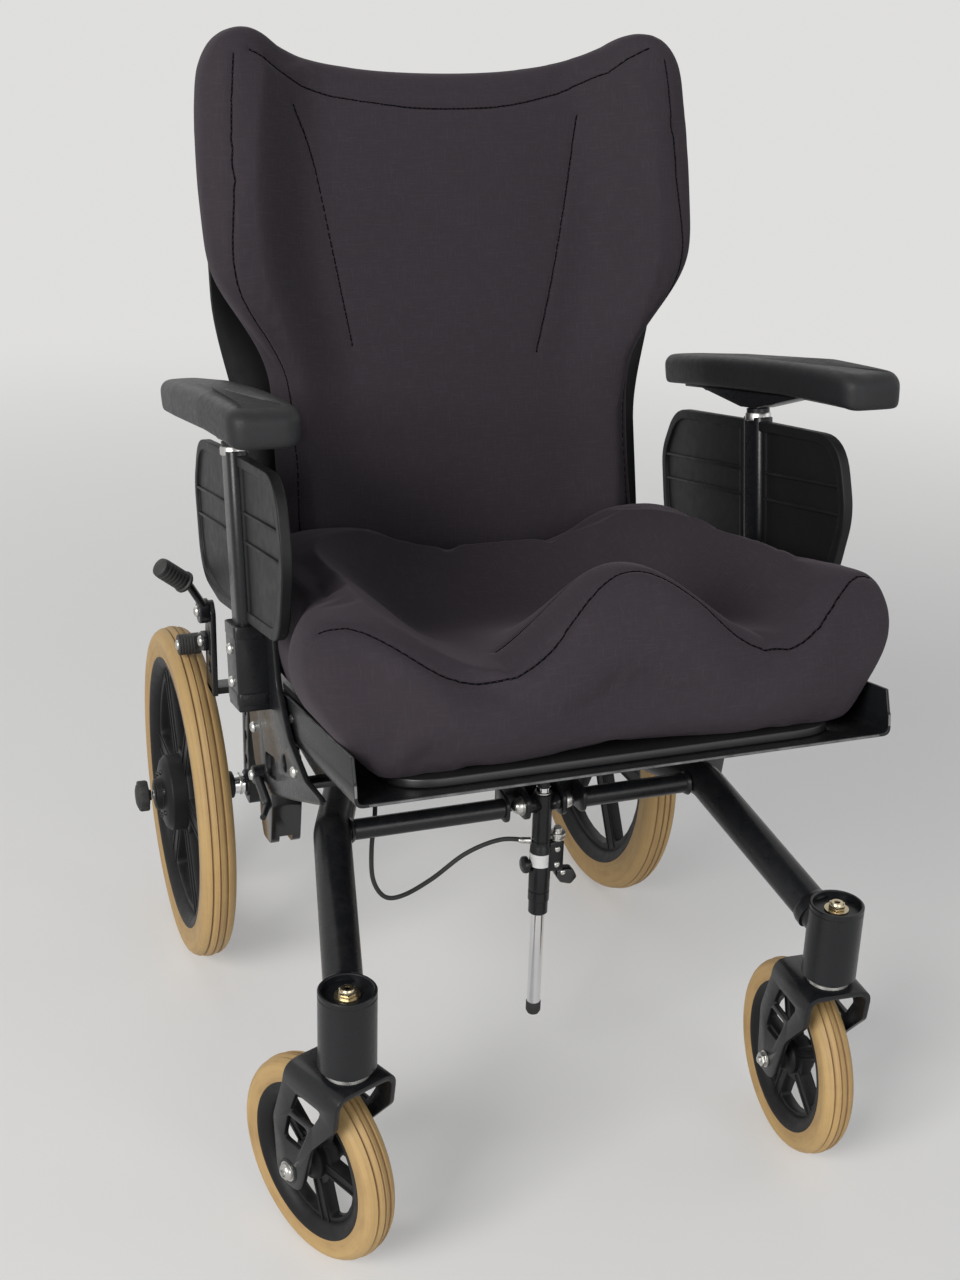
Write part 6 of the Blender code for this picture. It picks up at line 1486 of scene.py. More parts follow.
def make_cheeks():
    """Side cheeks under and beside the pan with the sockets of the armrest posts."""
    t = -GAP - SEAT_RAIL_RADIUS
    for side in (-1, 1):
        label = side_name(side)
        low, high = sorted((side * (CHEEK_X - 0.003), side * (CHEEK_X + 0.003)))
        shape = outline([(0.066, -0.016), (0.14, -0.014), (0.196, 0.01), (0.232, 0.052), (0.238, 0.106),
            (0.308, 0.106), (0.332, 0.06), (0.366, -0.004), (0.352, -0.052), (0.322, -0.076), (0.205, -0.05)],
            [0.006, 0.03, 0.04, 0.03, 0.008, 0.012, 0.03, 0.03, 0.015, 0.015, 0.03], 6)
        holes = [circle((0.215, -0.018), 0.0085, 28), outline([(0.255, -0.046), (0.3, -0.052), (0.3, -0.028),
            (0.255, -0.024)], 0.008, 5)]
        cheek = slab(shape, low, high, "X", "satin_paint", holes, 0.0012)
        shells = [cheek]
        inner, outer = sorted((side * (CHEEK_X + 0.001), side * (POST_X + 0.015)))
        half = 0.023
        socket = block((inner, POST_S - half, 0.022), (outer, POST_S + half, 0.104), "satin_paint", 0.0022, 3)
        hole = oblong(side * POST_X, POST_S, 0.0103, 0.0183, 0.0092)
        carve(socket, slab(hole, POST_LOW, 0.2, "Z", "satin_paint", edge=0.0))
        shells.append(finish_shell(socket, "satin_paint"))
        for z in (0.098, 0.034):
            shells.append(slab(oblong(side * POST_X, POST_S, 0.0158, 0.0238, 0.006), z - 0.006, z + 0.006, "Z",
                "satin_paint", [hole], 0.001))
        for z in (0.048, 0.08):
            shells.append(socket_head((side * (POST_X + 0.015), POST_S, z), (side, 0, 0), 0.0056, 0.004, "zinc_plate"))
        for s in (0.175, 0.345):
            s_in, s_out = sorted((side * (SEAT_RAIL_X - 0.004), side * (CHEEK_X + 0.001)))
            strap = block((s_in, s - 0.012, -0.03), (s_out, s + 0.012, -0.024), "satin_paint", 0.001)
            carve(strap, bar((side * SEAT_RAIL_X, 0.0, t), (side * SEAT_RAIL_X, 0.6, t), SEAT_RAIL_RADIUS + GAP,
                "satin_paint", 32))
            shells.append(finish_shell(strap, "satin_paint"))
            shells.append(socket_head((side * (CHEEK_X + 0.003), s, -0.027 + 0.012), (side, 0, 0), 0.0056, 0.0036,
                "zinc_plate"))
        fit("side_cheek_painted_" + label, shells, SEAT, "seat", ["side_cheek_" + label])


def make_receivers():
    """Leg rest receivers with their hanging slots, and the release levers."""
    for side in (-1, 1):
        label = side_name(side)
        inner, outer = sorted((side * 0.2215, side * (CHEEK_X - 0.0033)))
        shape = outline([(0.308, -0.032), (0.362, -0.032), (0.37, -0.112), (0.36, -0.134), (0.328, -0.134),
            (0.312, -0.09)], [0.004, 0.004, 0.008, 0.01, 0.01, 0.012], 5)
        body = slab(shape, inner, outer, "X", "glossy_plastic", edge=0.0012)
        middle = (inner + outer) / 2
        carve(body, block((middle - 0.0065, 0.325, -0.2), (middle + 0.0065, 0.351, -0.076), "glossy_plastic", 0.0))
        shells = [finish_shell(body, "glossy_plastic")]
        for s, t in ((0.322, -0.046), (0.35, -0.06)):
            shells.append(socket_head((inner if side > 0 else outer, s, t), (-side, 0, 0), 0.0052, 0.0034))
        for k in range(4):
            s = 0.322 + 0.01 * k
            shells.append(block((inner + 0.003, s, -0.0334), (outer - 0.003, s + 0.005, -0.03), "zinc_plate", 0.0006))
        fit("receiver_block_moulded_" + label, shells, SEAT, "seat", ["legrest_receiver_" + label])
        place = SEAT @ Matrix.Translation((side * (CHEEK_X + 0.0033), 0.318, -0.056))
        hub = turned([(0.0, 0.0098), (0.004, 0.0102), (0.008, 0.0098), (0.009, 0.0086), (0.009, 0.0), (0.0, 0.0)],
            (0, 0, 0), (side, 0, 0), "satin_paint", 36)
        arm = pipe([(side * 0.0055, 0.0, 0.0), (side * 0.0055, -0.045, -0.018), (side * 0.016, -0.07, -0.022)],
            0.0045, "satin_paint", 0.02, 6, 8, lambda f: 1.0 - 0.35 * smooth_step(0.75, 1.0, f))
        claw = pipe([(side * 0.0055, -0.02, -0.008), (side * 0.006, -0.03, -0.022), (side * 0.008, -0.042, -0.03)],
            0.0034, "satin_paint", 0.006, 5, 5, lambda f: 1.0 - 0.4 * f)
        bolt = socket_head((side * 0.01, 0, 0), (side, 0, 0), 0.0052, 0.003)
        fit("receiver_lever_painted_" + label, [hub, arm, claw, bolt], place, "receiver_lever_body_" + label,
            ["receiver_lever_" + label])


# Armrests

def make_armrests():
    """Posts with ribbed side guards, height tubes with their pad plates, and the pads."""
    for side in (-1, 1):
        label = side_name(side)
        oval = oblong(side * POST_X, POST_S, 0.01, 0.018, 0.0092, 6)
        post = slab(oval, POST_LOW, POST_TOP, "Z", "satin_paint", edge=0.0008)
        carve(post, bar((side * POST_X, POST_S, 0.13), (side * POST_X, POST_S, 0.4), 0.0093, "satin_paint", 32))
        shells = [finish_shell(post, "satin_paint")]
        gx = side * (POST_X - 0.003)
        shape = outline([(0.136, 0.11), (0.104, 0.185), (0.118, 0.258), (0.25, 0.262), (0.462, 0.264),
            (0.496, 0.215), (0.49, 0.12), (0.4, 0.104)], [0.05, 0.07, 0.06, 0.2, 0.05, 0.05, 0.05, 0.1], 8)
        guard = slab(shape, gx - 0.005, gx + 0.005, "X", "moulded_plastic", edge=0.0)
        scoop = outline([(0.143, 0.121), (0.115, 0.186), (0.128, 0.249), (0.25, 0.252), (0.457, 0.254),
            (0.486, 0.212), (0.48, 0.129), (0.398, 0.114)], [0.042, 0.062, 0.052, 0.2, 0.042, 0.042, 0.042, 0.1], 8)
        for direction in (-1, 1):
            near, far = sorted((gx + direction * 0.0018, gx + direction * 0.01))
            carve(guard, slab(scoop, near, far, "X", "moulded_plastic", edge=0.0))
        close_up(guard)
        bevel(guard, 0.0014, 3, 35.0)
        carve(guard, slab(oval, 0.0, 0.4, "Z", "moulded_plastic", edge=0.0))
        shells.append(finish_shell(guard, "moulded_plastic", 35.0))
        for t in (0.184, 0.211):
            for low, high in ((0.111, 0.264), (0.306, 0.488)):
                shells.append(block((gx - 0.0046, low, t - 0.0015), (gx + 0.0046, high, t + 0.0015),
                    "moulded_plastic", 0.0012, 2))
        for s in (POST_S - 0.024, POST_S + 0.024):
            shells.append(block((gx - 0.004, s - 0.004, 0.112), (gx + 0.004, s + 0.004, 0.254), "moulded_plastic",
                0.0018, 2))
        shells.append(turned([(0.0095, -0.004), (0.0124, -0.004), (0.0132, -0.003), (0.0132, 0.003),
            (0.0124, 0.0042), (0.0095, 0.0044)], (side * POST_X, POST_S, POST_TOP), (0, 0, 1), "zinc_plate", 40,
            True))
        fit("armrest_post_guarded_" + label, shells, SEAT, "seat", ["armrest_post_" + label])

        place = SEAT @ Matrix.Translation((side * POST_X, POST_S, 0.0))
        tube = bar((0, 0, 0.15), (0, 0, PAD_UNDER - 0.003), 0.009, "satin_paint", 40)
        ring = turned([(0.0088, 0.0), (0.0118, 0.0), (0.0118, 0.0044), (0.0088, 0.005)],
            (0, 0, PAD_UNDER - 0.025 + 0.0016), (0, 0, 1), "satin_paint", 36, True)
        shift = side * 0.01
        deck = slab(outline([(shift - 0.019, -0.15), (shift + 0.019, -0.15), (shift + 0.02, 0.15),
            (shift - 0.02, 0.15)], 0.007, 6), PAD_UNDER - 0.0033, PAD_UNDER - 0.0003, "Z", "satin_paint",
            edge=0.0008)
        gusset = slab(outline([(-0.105, PAD_UNDER - 0.002), (-0.013, PAD_UNDER - 0.018), (0.018, PAD_UNDER - 0.018),
            (0.11, PAD_UNDER - 0.002)], [0, 0.012, 0.012, 0], 6), -0.0115, 0.0115, "X", "satin_paint", edge=0.001)
        shells = [tube, ring, deck, gusset]
        for s in (-0.128, 0.128):
            shells.append(socket_head((shift, s, PAD_UNDER - 0.0033), (0, 0, -1), 0.0062, 0.0046))
            shells.append(turned([(0.0, 0.0), (0.0086, 0.0), (0.0086, 0.001), (0.0, 0.001)],
                (shift, s, PAD_UNDER - 0.0033), (0, 0, -1), "zinc_plate", 28))
        fit("armrest_tube_painted_" + label, shells, place, "armrest_" + label,
            ["armrest_height_tube_" + label])
        make_pad(side, place)


PAD_SHAPE = [(-0.018, -0.201), (0.042, -0.201), (0.046, -0.08), (0.042, 0.08), (0.034, 0.19), (0.01, 0.206),
    (-0.012, 0.196), (-0.021, 0.08), (-0.021, -0.08)]


def inset_loop(points, distance):
    """A closed outline moved inwards by a distance."""
    count = len(points)
    result = []
    for k, point in enumerate(points):
        before, after = Vector(points[k - 1]), Vector(points[(k + 1) % count])
        along = (after - before).normalized()
        result.append(Vector(point) + Vector((-along.y, along.x)) * distance)
    return result


def stacked(rings, finish):
    """A closed shell through rings of as many points each: a filled circle extruded, then moved to them."""
    count = len(rings[0])
    bpy.ops.object.select_all(action="DESELECT")
    bpy.ops.mesh.primitive_circle_add(vertices=count, radius=1.0, fill_type="NGON", location=(0.0, 0.0, 0.0))
    obj = bpy.context.object
    bpy.ops.object.mode_set(mode="EDIT")
    bpy.ops.mesh.select_all(action="SELECT")
    for _ in rings[1:]:
        bpy.ops.mesh.extrude_region_move(TRANSFORM_OT_translate={"value": (0.0, 0.0, 1.0)})
    bpy.ops.object.mode_set(mode="OBJECT")
    start = [v.co.copy() for v in obj.data.vertices[:count]]
    for vertex in obj.data.vertices:
        ring = rings[round(vertex.co.z)]
        index = min(range(count), key=lambda k: (start[k].x - vertex.co.x) ** 2 + (start[k].y - vertex.co.y) ** 2)
        vertex.co = ring[index]
    close_up(obj)
    return finish_shell(obj, finish, 60.0)


def make_pad(side, place):
    """Moulded pad: soft crowned top, tucked lower edge, front end rolled down over the plate."""
    shape = outline(PAD_SHAPE, [0.02, 0.02, 0.2, 0.2, 0.03, 0.02, 0.02, 0.2, 0.2], 6)
    low, thick = PAD_UNDER, PAD_THICK
    levels = [(0.01, 0.0), (0.0045, 0.0002), (0.0012, 0.0016), (0.0, 0.005), (-0.0004, 0.01)]
    levels += [(0.0105 * (1 - math.cos(math.radians(a))) - 0.001, thick - 0.0095 + 0.0115
        * math.sin(math.radians(a))) for a in (0, 18, 36, 54, 72, 88)]
    levels.append((0.017, thick + 0.0028))
    rings = []
    for inward, height in levels:
        ring = []
        for x, y in inset_loop(shape, inward):
            fall = 0.01 * min(max((-0.145 - y) / 0.05, 0.0), 1.0) ** 1.5 + 0.002 * smooth_step(0.1, 0.2, y)
            ring.append((side * x, y, low + height - fall))
        rings.append(ring)
    pad = stacked(rings, "pad_skin")
    finish_shell(soften(pad, 1), "pad_skin", 60.0)
    fit("armrest_pad_foam_" + side_name(side), [pad], place, "armrest_" + side_name(side),
        ["armrest_pad_" + side_name(side)])


# Back

def make_shell():
    """Thin moulded shell behind the cushion with rounded corners and its fixing screws."""
    bpy.ops.object.select_all(action="DESELECT")
    bpy.ops.mesh.primitive_grid_add(x_subdivisions=36, y_subdivisions=48, size=2.0, location=(0.0, 0.0, 0.0))
    obj = bpy.context.object
    height = SHELL_TOP - SHELL_LOW
    for vertex in obj.data.vertices:
        u, v = vertex.co.x, (vertex.co.y + 1) / 2
        half = 0.224 + 0.024 * smooth_step(0.3, 0.62, v)
        x = half * u * (1 - 0.05 * smooth_step(0.88, 1.0, v) - 0.04 * (1 - smooth_step(0.0, 0.12, v)))
        z = SHELL_LOW + height * v - 0.016 * smooth_step(0.85, 1.0, abs(u)) * smooth_step(0.85, 1.0, v)
        vertex.co = (x, shell_depth(x, z), z)
    wall = obj.modifiers.new("Wall", "SOLIDIFY")
    wall.thickness = SHELL_THICK
    wall.offset = -1.0
    apply_all(obj)
    close_up(obj)
    bevel(obj, 0.0012, 3, 50.0)
    finish_shell(obj, "moulded_plastic", 35.0)
    shells = [obj]
    for x in (-0.12, 0.12):
        for z in (0.15, 0.33, 0.5):
            face = shell_depth(x, z) + SHELL_THICK
            shells.append(socket_head((x, face, z), (0, 1, 0), 0.0062, 0.003, "black_bolt"))
    return fit("back_shell_moulded", shells, BACK, "back", ["back_shell"])


def make_canes():
    """Two canes with push handles, the brace between them, their clamps and the lever's bracket."""
    shells = []
    for side in (-1, 1):
        x = side * CANE_X
        path = [(x, 0.0, -0.012), (x, 0.002, 0.044), (x, CANE_BACK, 0.072), (x, CANE_BACK, CANE_TOP),
            (x, CANE_BACK + HANDLE_LENGTH, CANE_TOP + HANDLE_RISE)]
        cane = pipe(path, CANE_RADIUS, "satin_paint", [0, 0.02, 0.02, CANE_BEND, 0], 6, 8)
        carve(cane, bar((x - 0.03, 0, 0), (x + 0.03, 0, 0), 0.005, "satin_paint", 28))
        shells.append(finish_shell(cane, "satin_paint", 40.0))
        shells.append(turned([(0.0, -0.0004), (0.01, -0.0004), (0.0096, 0.001), (0.0, 0.0014)], (x, 0.0, -0.012),
            (0, 0, -1), "moulded_plastic", 28))
        for z in (0.19, 0.4):
            face = shell_depth(CANE_X - 0.014, z - 0.02) + SHELL_THICK + 0.0009
            shells.append(block((x - 0.014, face, z - 0.02), (x + 0.014, CANE_BACK + 0.002, z + 0.02),
                "satin_paint", 0.0012))
            for dz in (-0.013, 0.013):
                shells.append(socket_head((x, CANE_BACK + CANE_RADIUS - 0.0005, z + dz), (0, 1, 0), 0.0048, 0.0034,
                    "zinc_plate"))
        start = CANE_RADIUS - 0.003
        ear = CANE_RADIUS + GAP + 0.005 + GAP
        stud = turned([(0.0, start), (0.003, start), (0.003, ear + 0.002), (0.0, ear + 0.002)], (x, 0.0012, 0.04),
            (side, 0, 0), "zinc_plate", 20)
        knob = slab(knob_outline(0.012, 6, 0.0026), ear, ear + 0.011, "Z", "soft_rubber", edge=0.0018, segments=3)
        aim(knob, (x, 0.0012, 0.04), (side, 0, 0))
        cap = turned([(0.0, ear + 0.014), (0.006, ear + 0.0136), (0.0082, ear + 0.012), (0.0086, ear + 0.01),
            (0.0, ear + 0.01)], (x, 0.0012, 0.04), (side, 0, 0), "soft_rubber", 28)
        shells += [stud, finish_shell(knob, "soft_rubber"), cap]
    z = 0.45
    shells.append(bar((-CANE_X + 0.009, CANE_BACK, z), (CANE_X - 0.009, CANE_BACK, z), 0.009, "satin_paint", 36))
    for side in (-1, 1):
        shells.append(turned([(0.0088, 0.0), (0.0116, 0.0), (0.01, 0.0028), (0.0088, 0.0034)],
            (side * (CANE_X - CANE_RADIUS + 0.0008), CANE_BACK, z), (-side, 0, 0), "satin_paint", 32, True))
    y, z = CANE_BACK + 0.03, CANE_TOP - 0.03
    bracket = slab(outline([(CANE_BACK + 0.004, z - 0.01), (y + 0.008, z - 0.008), (y + 0.008, z + 0.008),
        (CANE_BACK + 0.03, CANE_TOP - 0.006), (CANE_BACK + 0.004, CANE_TOP - 0.035)], [0, 0.006, 0.006, 0, 0], 5),
        CANE_X - 0.0105, CANE_X - 0.0055, "X", "satin_paint", edge=0.0008)
    pin = bar((CANE_X - 0.008, y, z), (CANE_X + 0.0075, y, z), 0.0027, "zinc_plate", 24)
    fit("push_handles_painted", [*shells, bracket, pin], BACK, "back", ["push_handle_frame"])


def make_grips():
    """Ribbed rubber grips on the push handles."""
    for side in (-1, 1):
        along = Vector((0, HANDLE_LENGTH, HANDLE_RISE)).normalized()
        start = Vector((side * CANE_X, CANE_BACK, CANE_TOP)) + along * (CANE_BEND + 0.002)
        length = HANDLE_LENGTH - CANE_BEND + 0.008
        profile = [(CANE_RADIUS + 0.0003, 0.0), (0.0174, 0.0), (0.0186, 0.0012), (0.0186, 0.0032), (0.0172, 0.0044)]
        ribs = 15
        for k in range(ribs):
            z = 0.0085 + (length - 0.022) * k / ribs
            step = (length - 0.022) / ribs
            profile += [(0.0154, z), (0.0162, z + step * 0.22), (0.0162, z + step * 0.62), (0.0154, z + step * 0.84)]
        profile += [(0.016, length - 0.01), (0.0168, length - 0.008), (0.0168, length - 0.003),
            (0.015, length - 0.0006), (0.004, length), (0.0, length)]
        grip = turned([*profile, (0.0, length - 0.006), (CANE_RADIUS + 0.0003, length - 0.0078)], start, along,
            "soft_rubber", 40, True, 40.0)
        fit("push_grip_ribbed_" + side_name(side), [grip], BACK, "back", ["push_grip_" + side_name(side)])


def make_hand_lever():
    """Tilt release lever below the right push handle."""
    y, z = CANE_BACK + 0.03, CANE_TOP - 0.03
    place = BACK @ Matrix.Translation((CANE_X, y, z))
    lever = pipe([(0, 0.0, 0.0), (0, 0.03, -0.006), (0, 0.1, -0.012)], 0.0042, "satin_paint", 0.02, 6, 8)
    eye = turned([(0.003, -0.005), (0.0068, -0.005), (0.0075, -0.0042), (0.0075, 0.0042), (0.0068, 0.005),
        (0.003, 0.005)], (0, 0, 0), (1, 0, 0), "satin_paint", 36, True)
    carve(lever, bar((-0.02, 0, 0), (0.02, 0, 0), 0.0034, "satin_paint", 24))
    finish_shell(lever, "satin_paint", 40.0)
    sleeve = pipe([(0, 0.05, -0.0082), (0, 0.101, -0.0121)], 0.0058, "soft_rubber", 0.0, 6)
    fit("tilt_lever_sleeved", [lever, eye, sleeve], place, "hand_lever", ["tilt_release_lever"])


def make_back_hinge():
    """Flat bar across the rear of the pan with the ears, arc slots and pins of the back hinge."""
    floor = PAN_SHEET + GAP
    half = CANE_RADIUS + GAP
    reach = CANE_X + half + 0.005
    s, t = HINGE_S, HINGE_T
    shells = [block((-reach, s - 0.02, floor), (reach, s + 0.022, floor + 0.004), "satin_paint", 0.0008)]
    for side in (-1, 1):
        for direction in (-1, 1):
            near = side * CANE_X + direction * half
            low, high = sorted((near, near + direction * 0.005))
            holes = []
            shape = outline([(s - 0.02, floor), (s + 0.022, floor), (s + 0.012, t + 0.012), (s - 0.012, t + 0.012)],
                [0, 0, 0.008, 0.008], 5)
            if direction == side:
                shape = outline([(s - 0.02, floor), (s + 0.022, floor), (s + 0.036, t + 0.03), (s + 0.03, t + 0.05),
                    (s - 0.012, t + 0.052), (s - 0.02, t + 0.03)], [0, 0, 0.01, 0.012, 0.012, 0.01], 5)
                angles = [math.radians(a) for a in range(-1, 38, 3)]
                outer = [(s + 0.0436 * math.sin(a), t + 0.0436 * math.cos(a)) for a in angles]
                inner = [(s + 0.0364 * math.sin(a), t + 0.0364 * math.cos(a)) for a in reversed(angles)]
                holes = [outer + inner]
            shells.append(slab(shape, low, high, "X", "satin_paint", holes, 0.0008))
        shells.append(bar((side * CANE_X - half - 0.0066, s, t), (side * CANE_X + half + 0.0066, s, t), 0.0045,
            "zinc_plate", 28, 0.0008))
        for way in (-1, 1):
            shells.append(socket_head((side * CANE_X + way * (half + 0.0056), s, t), (way, 0, 0), 0.0074, 0.004,
                "zinc_plate"))
        for x in (side * (CANE_X - 0.045), side * (CANE_X - 0.095)):
            shells.append(socket_head((x, s, floor + 0.004), (0, 0, 1), 0.0055, 0.0034, "black_bolt"))
    fit("back_hinge_painted", shells, SEAT, "seat", ["back_hinge_bar"])


# Stage

BACKDROP = (0.74, 0.735, 0.725, 1.0)


def plainly_seen(tree):
    """1 for the rays that show a background: seen directly, in gloss or through glass."""
    path = put(tree, "ShaderNodeLightPath").outputs
    return maths(tree, "MAXIMUM", maths(tree, "MAXIMUM", path["Is Camera Ray"], path["Is Glossy Ray"]),
        path["Is Transmission Ray"])


def make_stage():
    """Plain pale floor, soft studio light and the photograph's viewing angle."""
    scene = bpy.context.scene
    bpy.ops.object.select_all(action="DESELECT")
    bpy.ops.mesh.primitive_plane_add(size=2.0, location=(0.0, 0.0, 0.0))
    floor = bpy.context.object
    floor.name = "studio_floor"
    bpy.ops.object.mode_set(mode="EDIT")
    bpy.ops.mesh.select_all(action="SELECT")
    bpy.ops.transform.resize(value=(9.0, 9.0, 1.0), center_override=(0.0, 0.0, 0.0))
    bpy.ops.object.mode_set(mode="OBJECT")
    tree, shader = new_finish("studio_floor", (0.88, 0.872, 0.86), 0.55, specular=0.25)
    given = put(tree, "ShaderNodeTexCoord").outputs["Object"]
    tree.links.new(spread(tree, noise(tree, given, 3.0, 2.0), 0.0, 1.0, 0.48, 0.62), shader.inputs["Roughness"])
    away = put(tree, "ShaderNodeVectorMath", {0: given}, operation="LENGTH").outputs["Value"]
    far = put(tree, "ShaderNodeMapRange", {"Value": away, "From Min": 1.0, "From Max": 4.0, "To Min": 0.32},
        interpolation_type="SMOOTHSTEP").outputs["Result"]
    share = maths(tree, "MULTIPLY", far, plainly_seen(tree))
    plain = put(tree, "ShaderNodeEmission", {"Color": BACKDROP, "Strength": 1.0}).outputs[0]
    both = put(tree, "ShaderNodeMixShader", {0: share, 1: shader.outputs[0], 2: plain}).outputs[0]
    tree.links.new(both, tree.nodes["Material Output"].inputs["Surface"])
    floor.data.materials.append(bpy.data.materials["studio_floor"])

    scene.world = scene.world or bpy.data.worlds.new("studio")
    scene.world.use_nodes = True
    sky = scene.world.node_tree
    sky.nodes.clear()
    seen = put(sky, "ShaderNodeBackground", {"Color": BACKDROP, "Strength": 1.0})
    glow = put(sky, "ShaderNodeBackground", {"Color": (0.9, 0.94, 1.0, 1.0), "Strength": 0.2})
    both = put(sky, "ShaderNodeMixShader", {0: plainly_seen(sky), 1: glow.outputs[0], 2: seen.outputs[0]})
    put(sky, "ShaderNodeOutputWorld", {"Surface": both.outputs[0]})

    lights = (("key_light", (-4.0, -3.0, 2.9), 250.0, 2.6, (1.0, 0.985, 0.965)), ("right_light", (3.4, -1.4, 2.2),
        13.0, 2.2, (0.95, 0.975, 1.0)), ("rear_light", (-0.6, 2.3, 2.3), 9.0, 1.8, (1.0, 1.0, 1.0)),
        ("front_light", (0.8, -4.4, 1.8), 44.0, 2.4, (1.0, 1.0, 1.0)))
    for name, place, power, size, colour in lights:
        data = bpy.data.lights.new(name, "AREA")
        data.energy = power
        data.size = size
        data.color = colour
        lamp = bpy.data.objects.new(name, data)
        scene.collection.objects.link(lamp)
        lamp.location = place
        lamp.rotation_euler = (Vector((0.0, 0.0, 0.5)) - Vector(place)).to_track_quat("-Z", "Y").to_euler()

    data = bpy.data.cameras.new("photo_camera")
    data.lens = 46.88
    data.clip_end = 30.0
    camera = bpy.data.objects.new("photo_camera", data)
    scene.collection.objects.link(camera)
    right = Vector((0.94, -0.341, 0.029))
    ahead = Vector((0.326, 0.87, -0.37)).normalized()
    right = (right - ahead * right.dot(ahead)).normalized()
    up = right.cross(ahead)
    turn = Matrix((right, up, -ahead)).transposed().to_4x4()
    camera.matrix_world = Matrix.Translation((-0.5789, -1.57522, 1.1266)) @ turn
    scene.camera = camera
    scene.view_settings.view_transform = "Standard"
# Operators and panel


class CHAIR_OT_finishes(Operator):
    """Make the paint, plastic, rubber, plating and fabric finishes"""
    bl_idname = "wheelchair.finishes"
    bl_label = "Finishes"

    def execute(self, context):
        make_finishes()
        return {"FINISHED"}


class CHAIR_OT_studio(Operator):
    """Set up the pale floor, the soft light and the photograph's viewing angle"""
    bl_idname = "wheelchair.studio"
    bl_label = "Studio"

    def execute(self, context):
        make_stage()
        return {"FINISHED"}


class CHAIR_OT_release_cable(Operator):
    """Lay the sheathed release cable from the strut to the left rail"""
    bl_idname = "wheelchair.release_cable"
    bl_label = "Release Cable"

    def execute(self, context):
        make_cable()
        return {"FINISHED"}


class CHAIR_OT_seat_cushion(Operator):
    """Fill and sew the contoured seat cushion"""
    bl_idname = "wheelchair.seat_cushion"
    bl_label = "Seat Cushion"

    def execute(self, context):
        make_seat_cushion()
        return {"FINISHED"}


class CHAIR_OT_back_cushion(Operator):
    """Fill and sew the winged back cushion"""
    bl_idname = "wheelchair.back_cushion"
    bl_label = "Back Cushion"

    def execute(self, context):
        make_back_cushion()
        return {"FINISHED"}


class CHAIR_OT_casters(Operator):
    """Make the two casters with their forks, stems, tyres and rims"""
    bl_idname = "wheelchair.casters"
    bl_label = "Casters"

    def execute(self, context):
        make_casters()
        return {"FINISHED"}


class CHAIR_OT_rear_wheels(Operator):
    """Make the two rear wheels with their quick-release axles"""
    bl_idname = "wheelchair.rear_wheels"
    bl_label = "Rear Wheels"

    def execute(self, context):
        make_rear_wheels()
        return {"FINISHED"}


class CHAIR_OT_side_frames(Operator):
    """Make the two painted side frames"""
    bl_idname = "wheelchair.side_frames"
    bl_label = "Side Frames"

    def execute(self, context):
        make_side_frames()
        return {"FINISHED"}


class CHAIR_OT_axle_bars(Operator):
    """Make the bars that carry the rear axles and the seat pivots"""
    bl_idname = "wheelchair.axle_bars"
    bl_label = "Axle Bars"

    def execute(self, context):
        make_axle_bars()
        return {"FINISHED"}


class CHAIR_OT_cross_tubes(Operator):
    """Make the front and rear cross tubes"""
    bl_idname = "wheelchair.cross_tubes"
    bl_label = "Cross Tubes"

    def execute(self, context):
        make_cross_tubes()
        return {"FINISHED"}


class CHAIR_OT_wheel_locks(Operator):
    """Make the brackets, levers and shoes of the wheel locks"""
    bl_idname = "wheelchair.wheel_locks"
    bl_label = "Wheel Locks"

    def execute(self, context):
        make_wheel_locks()
        return {"FINISHED"}


class CHAIR_OT_tilt_strut(Operator):
    """Make the gas strut that holds the seat's tilt"""
    bl_idname = "wheelchair.tilt_strut"
    bl_label = "Tilt Strut"

    def execute(self, context):
        make_strut()
        return {"FINISHED"}


class CHAIR_OT_seat_frame(Operator):
    """Make the seat's rails and cross members"""
    bl_idname = "wheelchair.seat_frame"
    bl_label = "Seat Frame"

    def execute(self, context):
        make_seat_frame()
        return {"FINISHED"}


class CHAIR_OT_seat_pan(Operator):
    """Make the folded pan under the cushion"""
    bl_idname = "wheelchair.seat_pan"
    bl_label = "Seat Pan"

    def execute(self, context):
        make_pan()
        return {"FINISHED"}


class CHAIR_OT_cushion_board(Operator):
    """Make the board between the pan and the cushion"""
    bl_idname = "wheelchair.cushion_board"
    bl_label = "Cushion Board"

    def execute(self, context):
        make_board()
        return {"FINISHED"}


class CHAIR_OT_side_cheeks(Operator):
    """Make the two side cheeks with the sockets of the armrest posts"""
    bl_idname = "wheelchair.side_cheeks"
    bl_label = "Side Cheeks"

    def execute(self, context):
        make_cheeks()
        return {"FINISHED"}


class CHAIR_OT_armrest_receivers(Operator):
    """Make the leg rest receivers and their release levers"""
    bl_idname = "wheelchair.armrest_receivers"
    bl_label = "Armrest Receivers"

    def execute(self, context):
        make_receivers()
        return {"FINISHED"}


class CHAIR_OT_armrests(Operator):
    """Make the armrest posts, tubes and foam pads"""
    bl_idname = "wheelchair.armrests"
    bl_label = "Armrests"

    def execute(self, context):
        make_armrests()
        return {"FINISHED"}


class CHAIR_OT_back_hinge(Operator):
    """Make the hinge bar of the back"""
    bl_idname = "wheelchair.back_hinge"
    bl_label = "Back Hinge"

    def execute(self, context):
        make_back_hinge()
        return {"FINISHED"}


class CHAIR_OT_back_shell(Operator):
    """Make the moulded shell behind the back cushion"""
    bl_idname = "wheelchair.back_shell"
    bl_label = "Back Shell"

    def execute(self, context):
        make_shell()
        return {"FINISHED"}


class CHAIR_OT_push_handles(Operator):
    """Make the back canes with their push handles"""
    bl_idname = "wheelchair.push_handles"
    bl_label = "Push Handles"

    def execute(self, context):
        make_canes()
        return {"FINISHED"}


class CHAIR_OT_hand_grips(Operator):
    """Make the two ribbed hand grips"""
    bl_idname = "wheelchair.hand_grips"
    bl_label = "Hand Grips"

    def execute(self, context):
        make_grips()
        return {"FINISHED"}


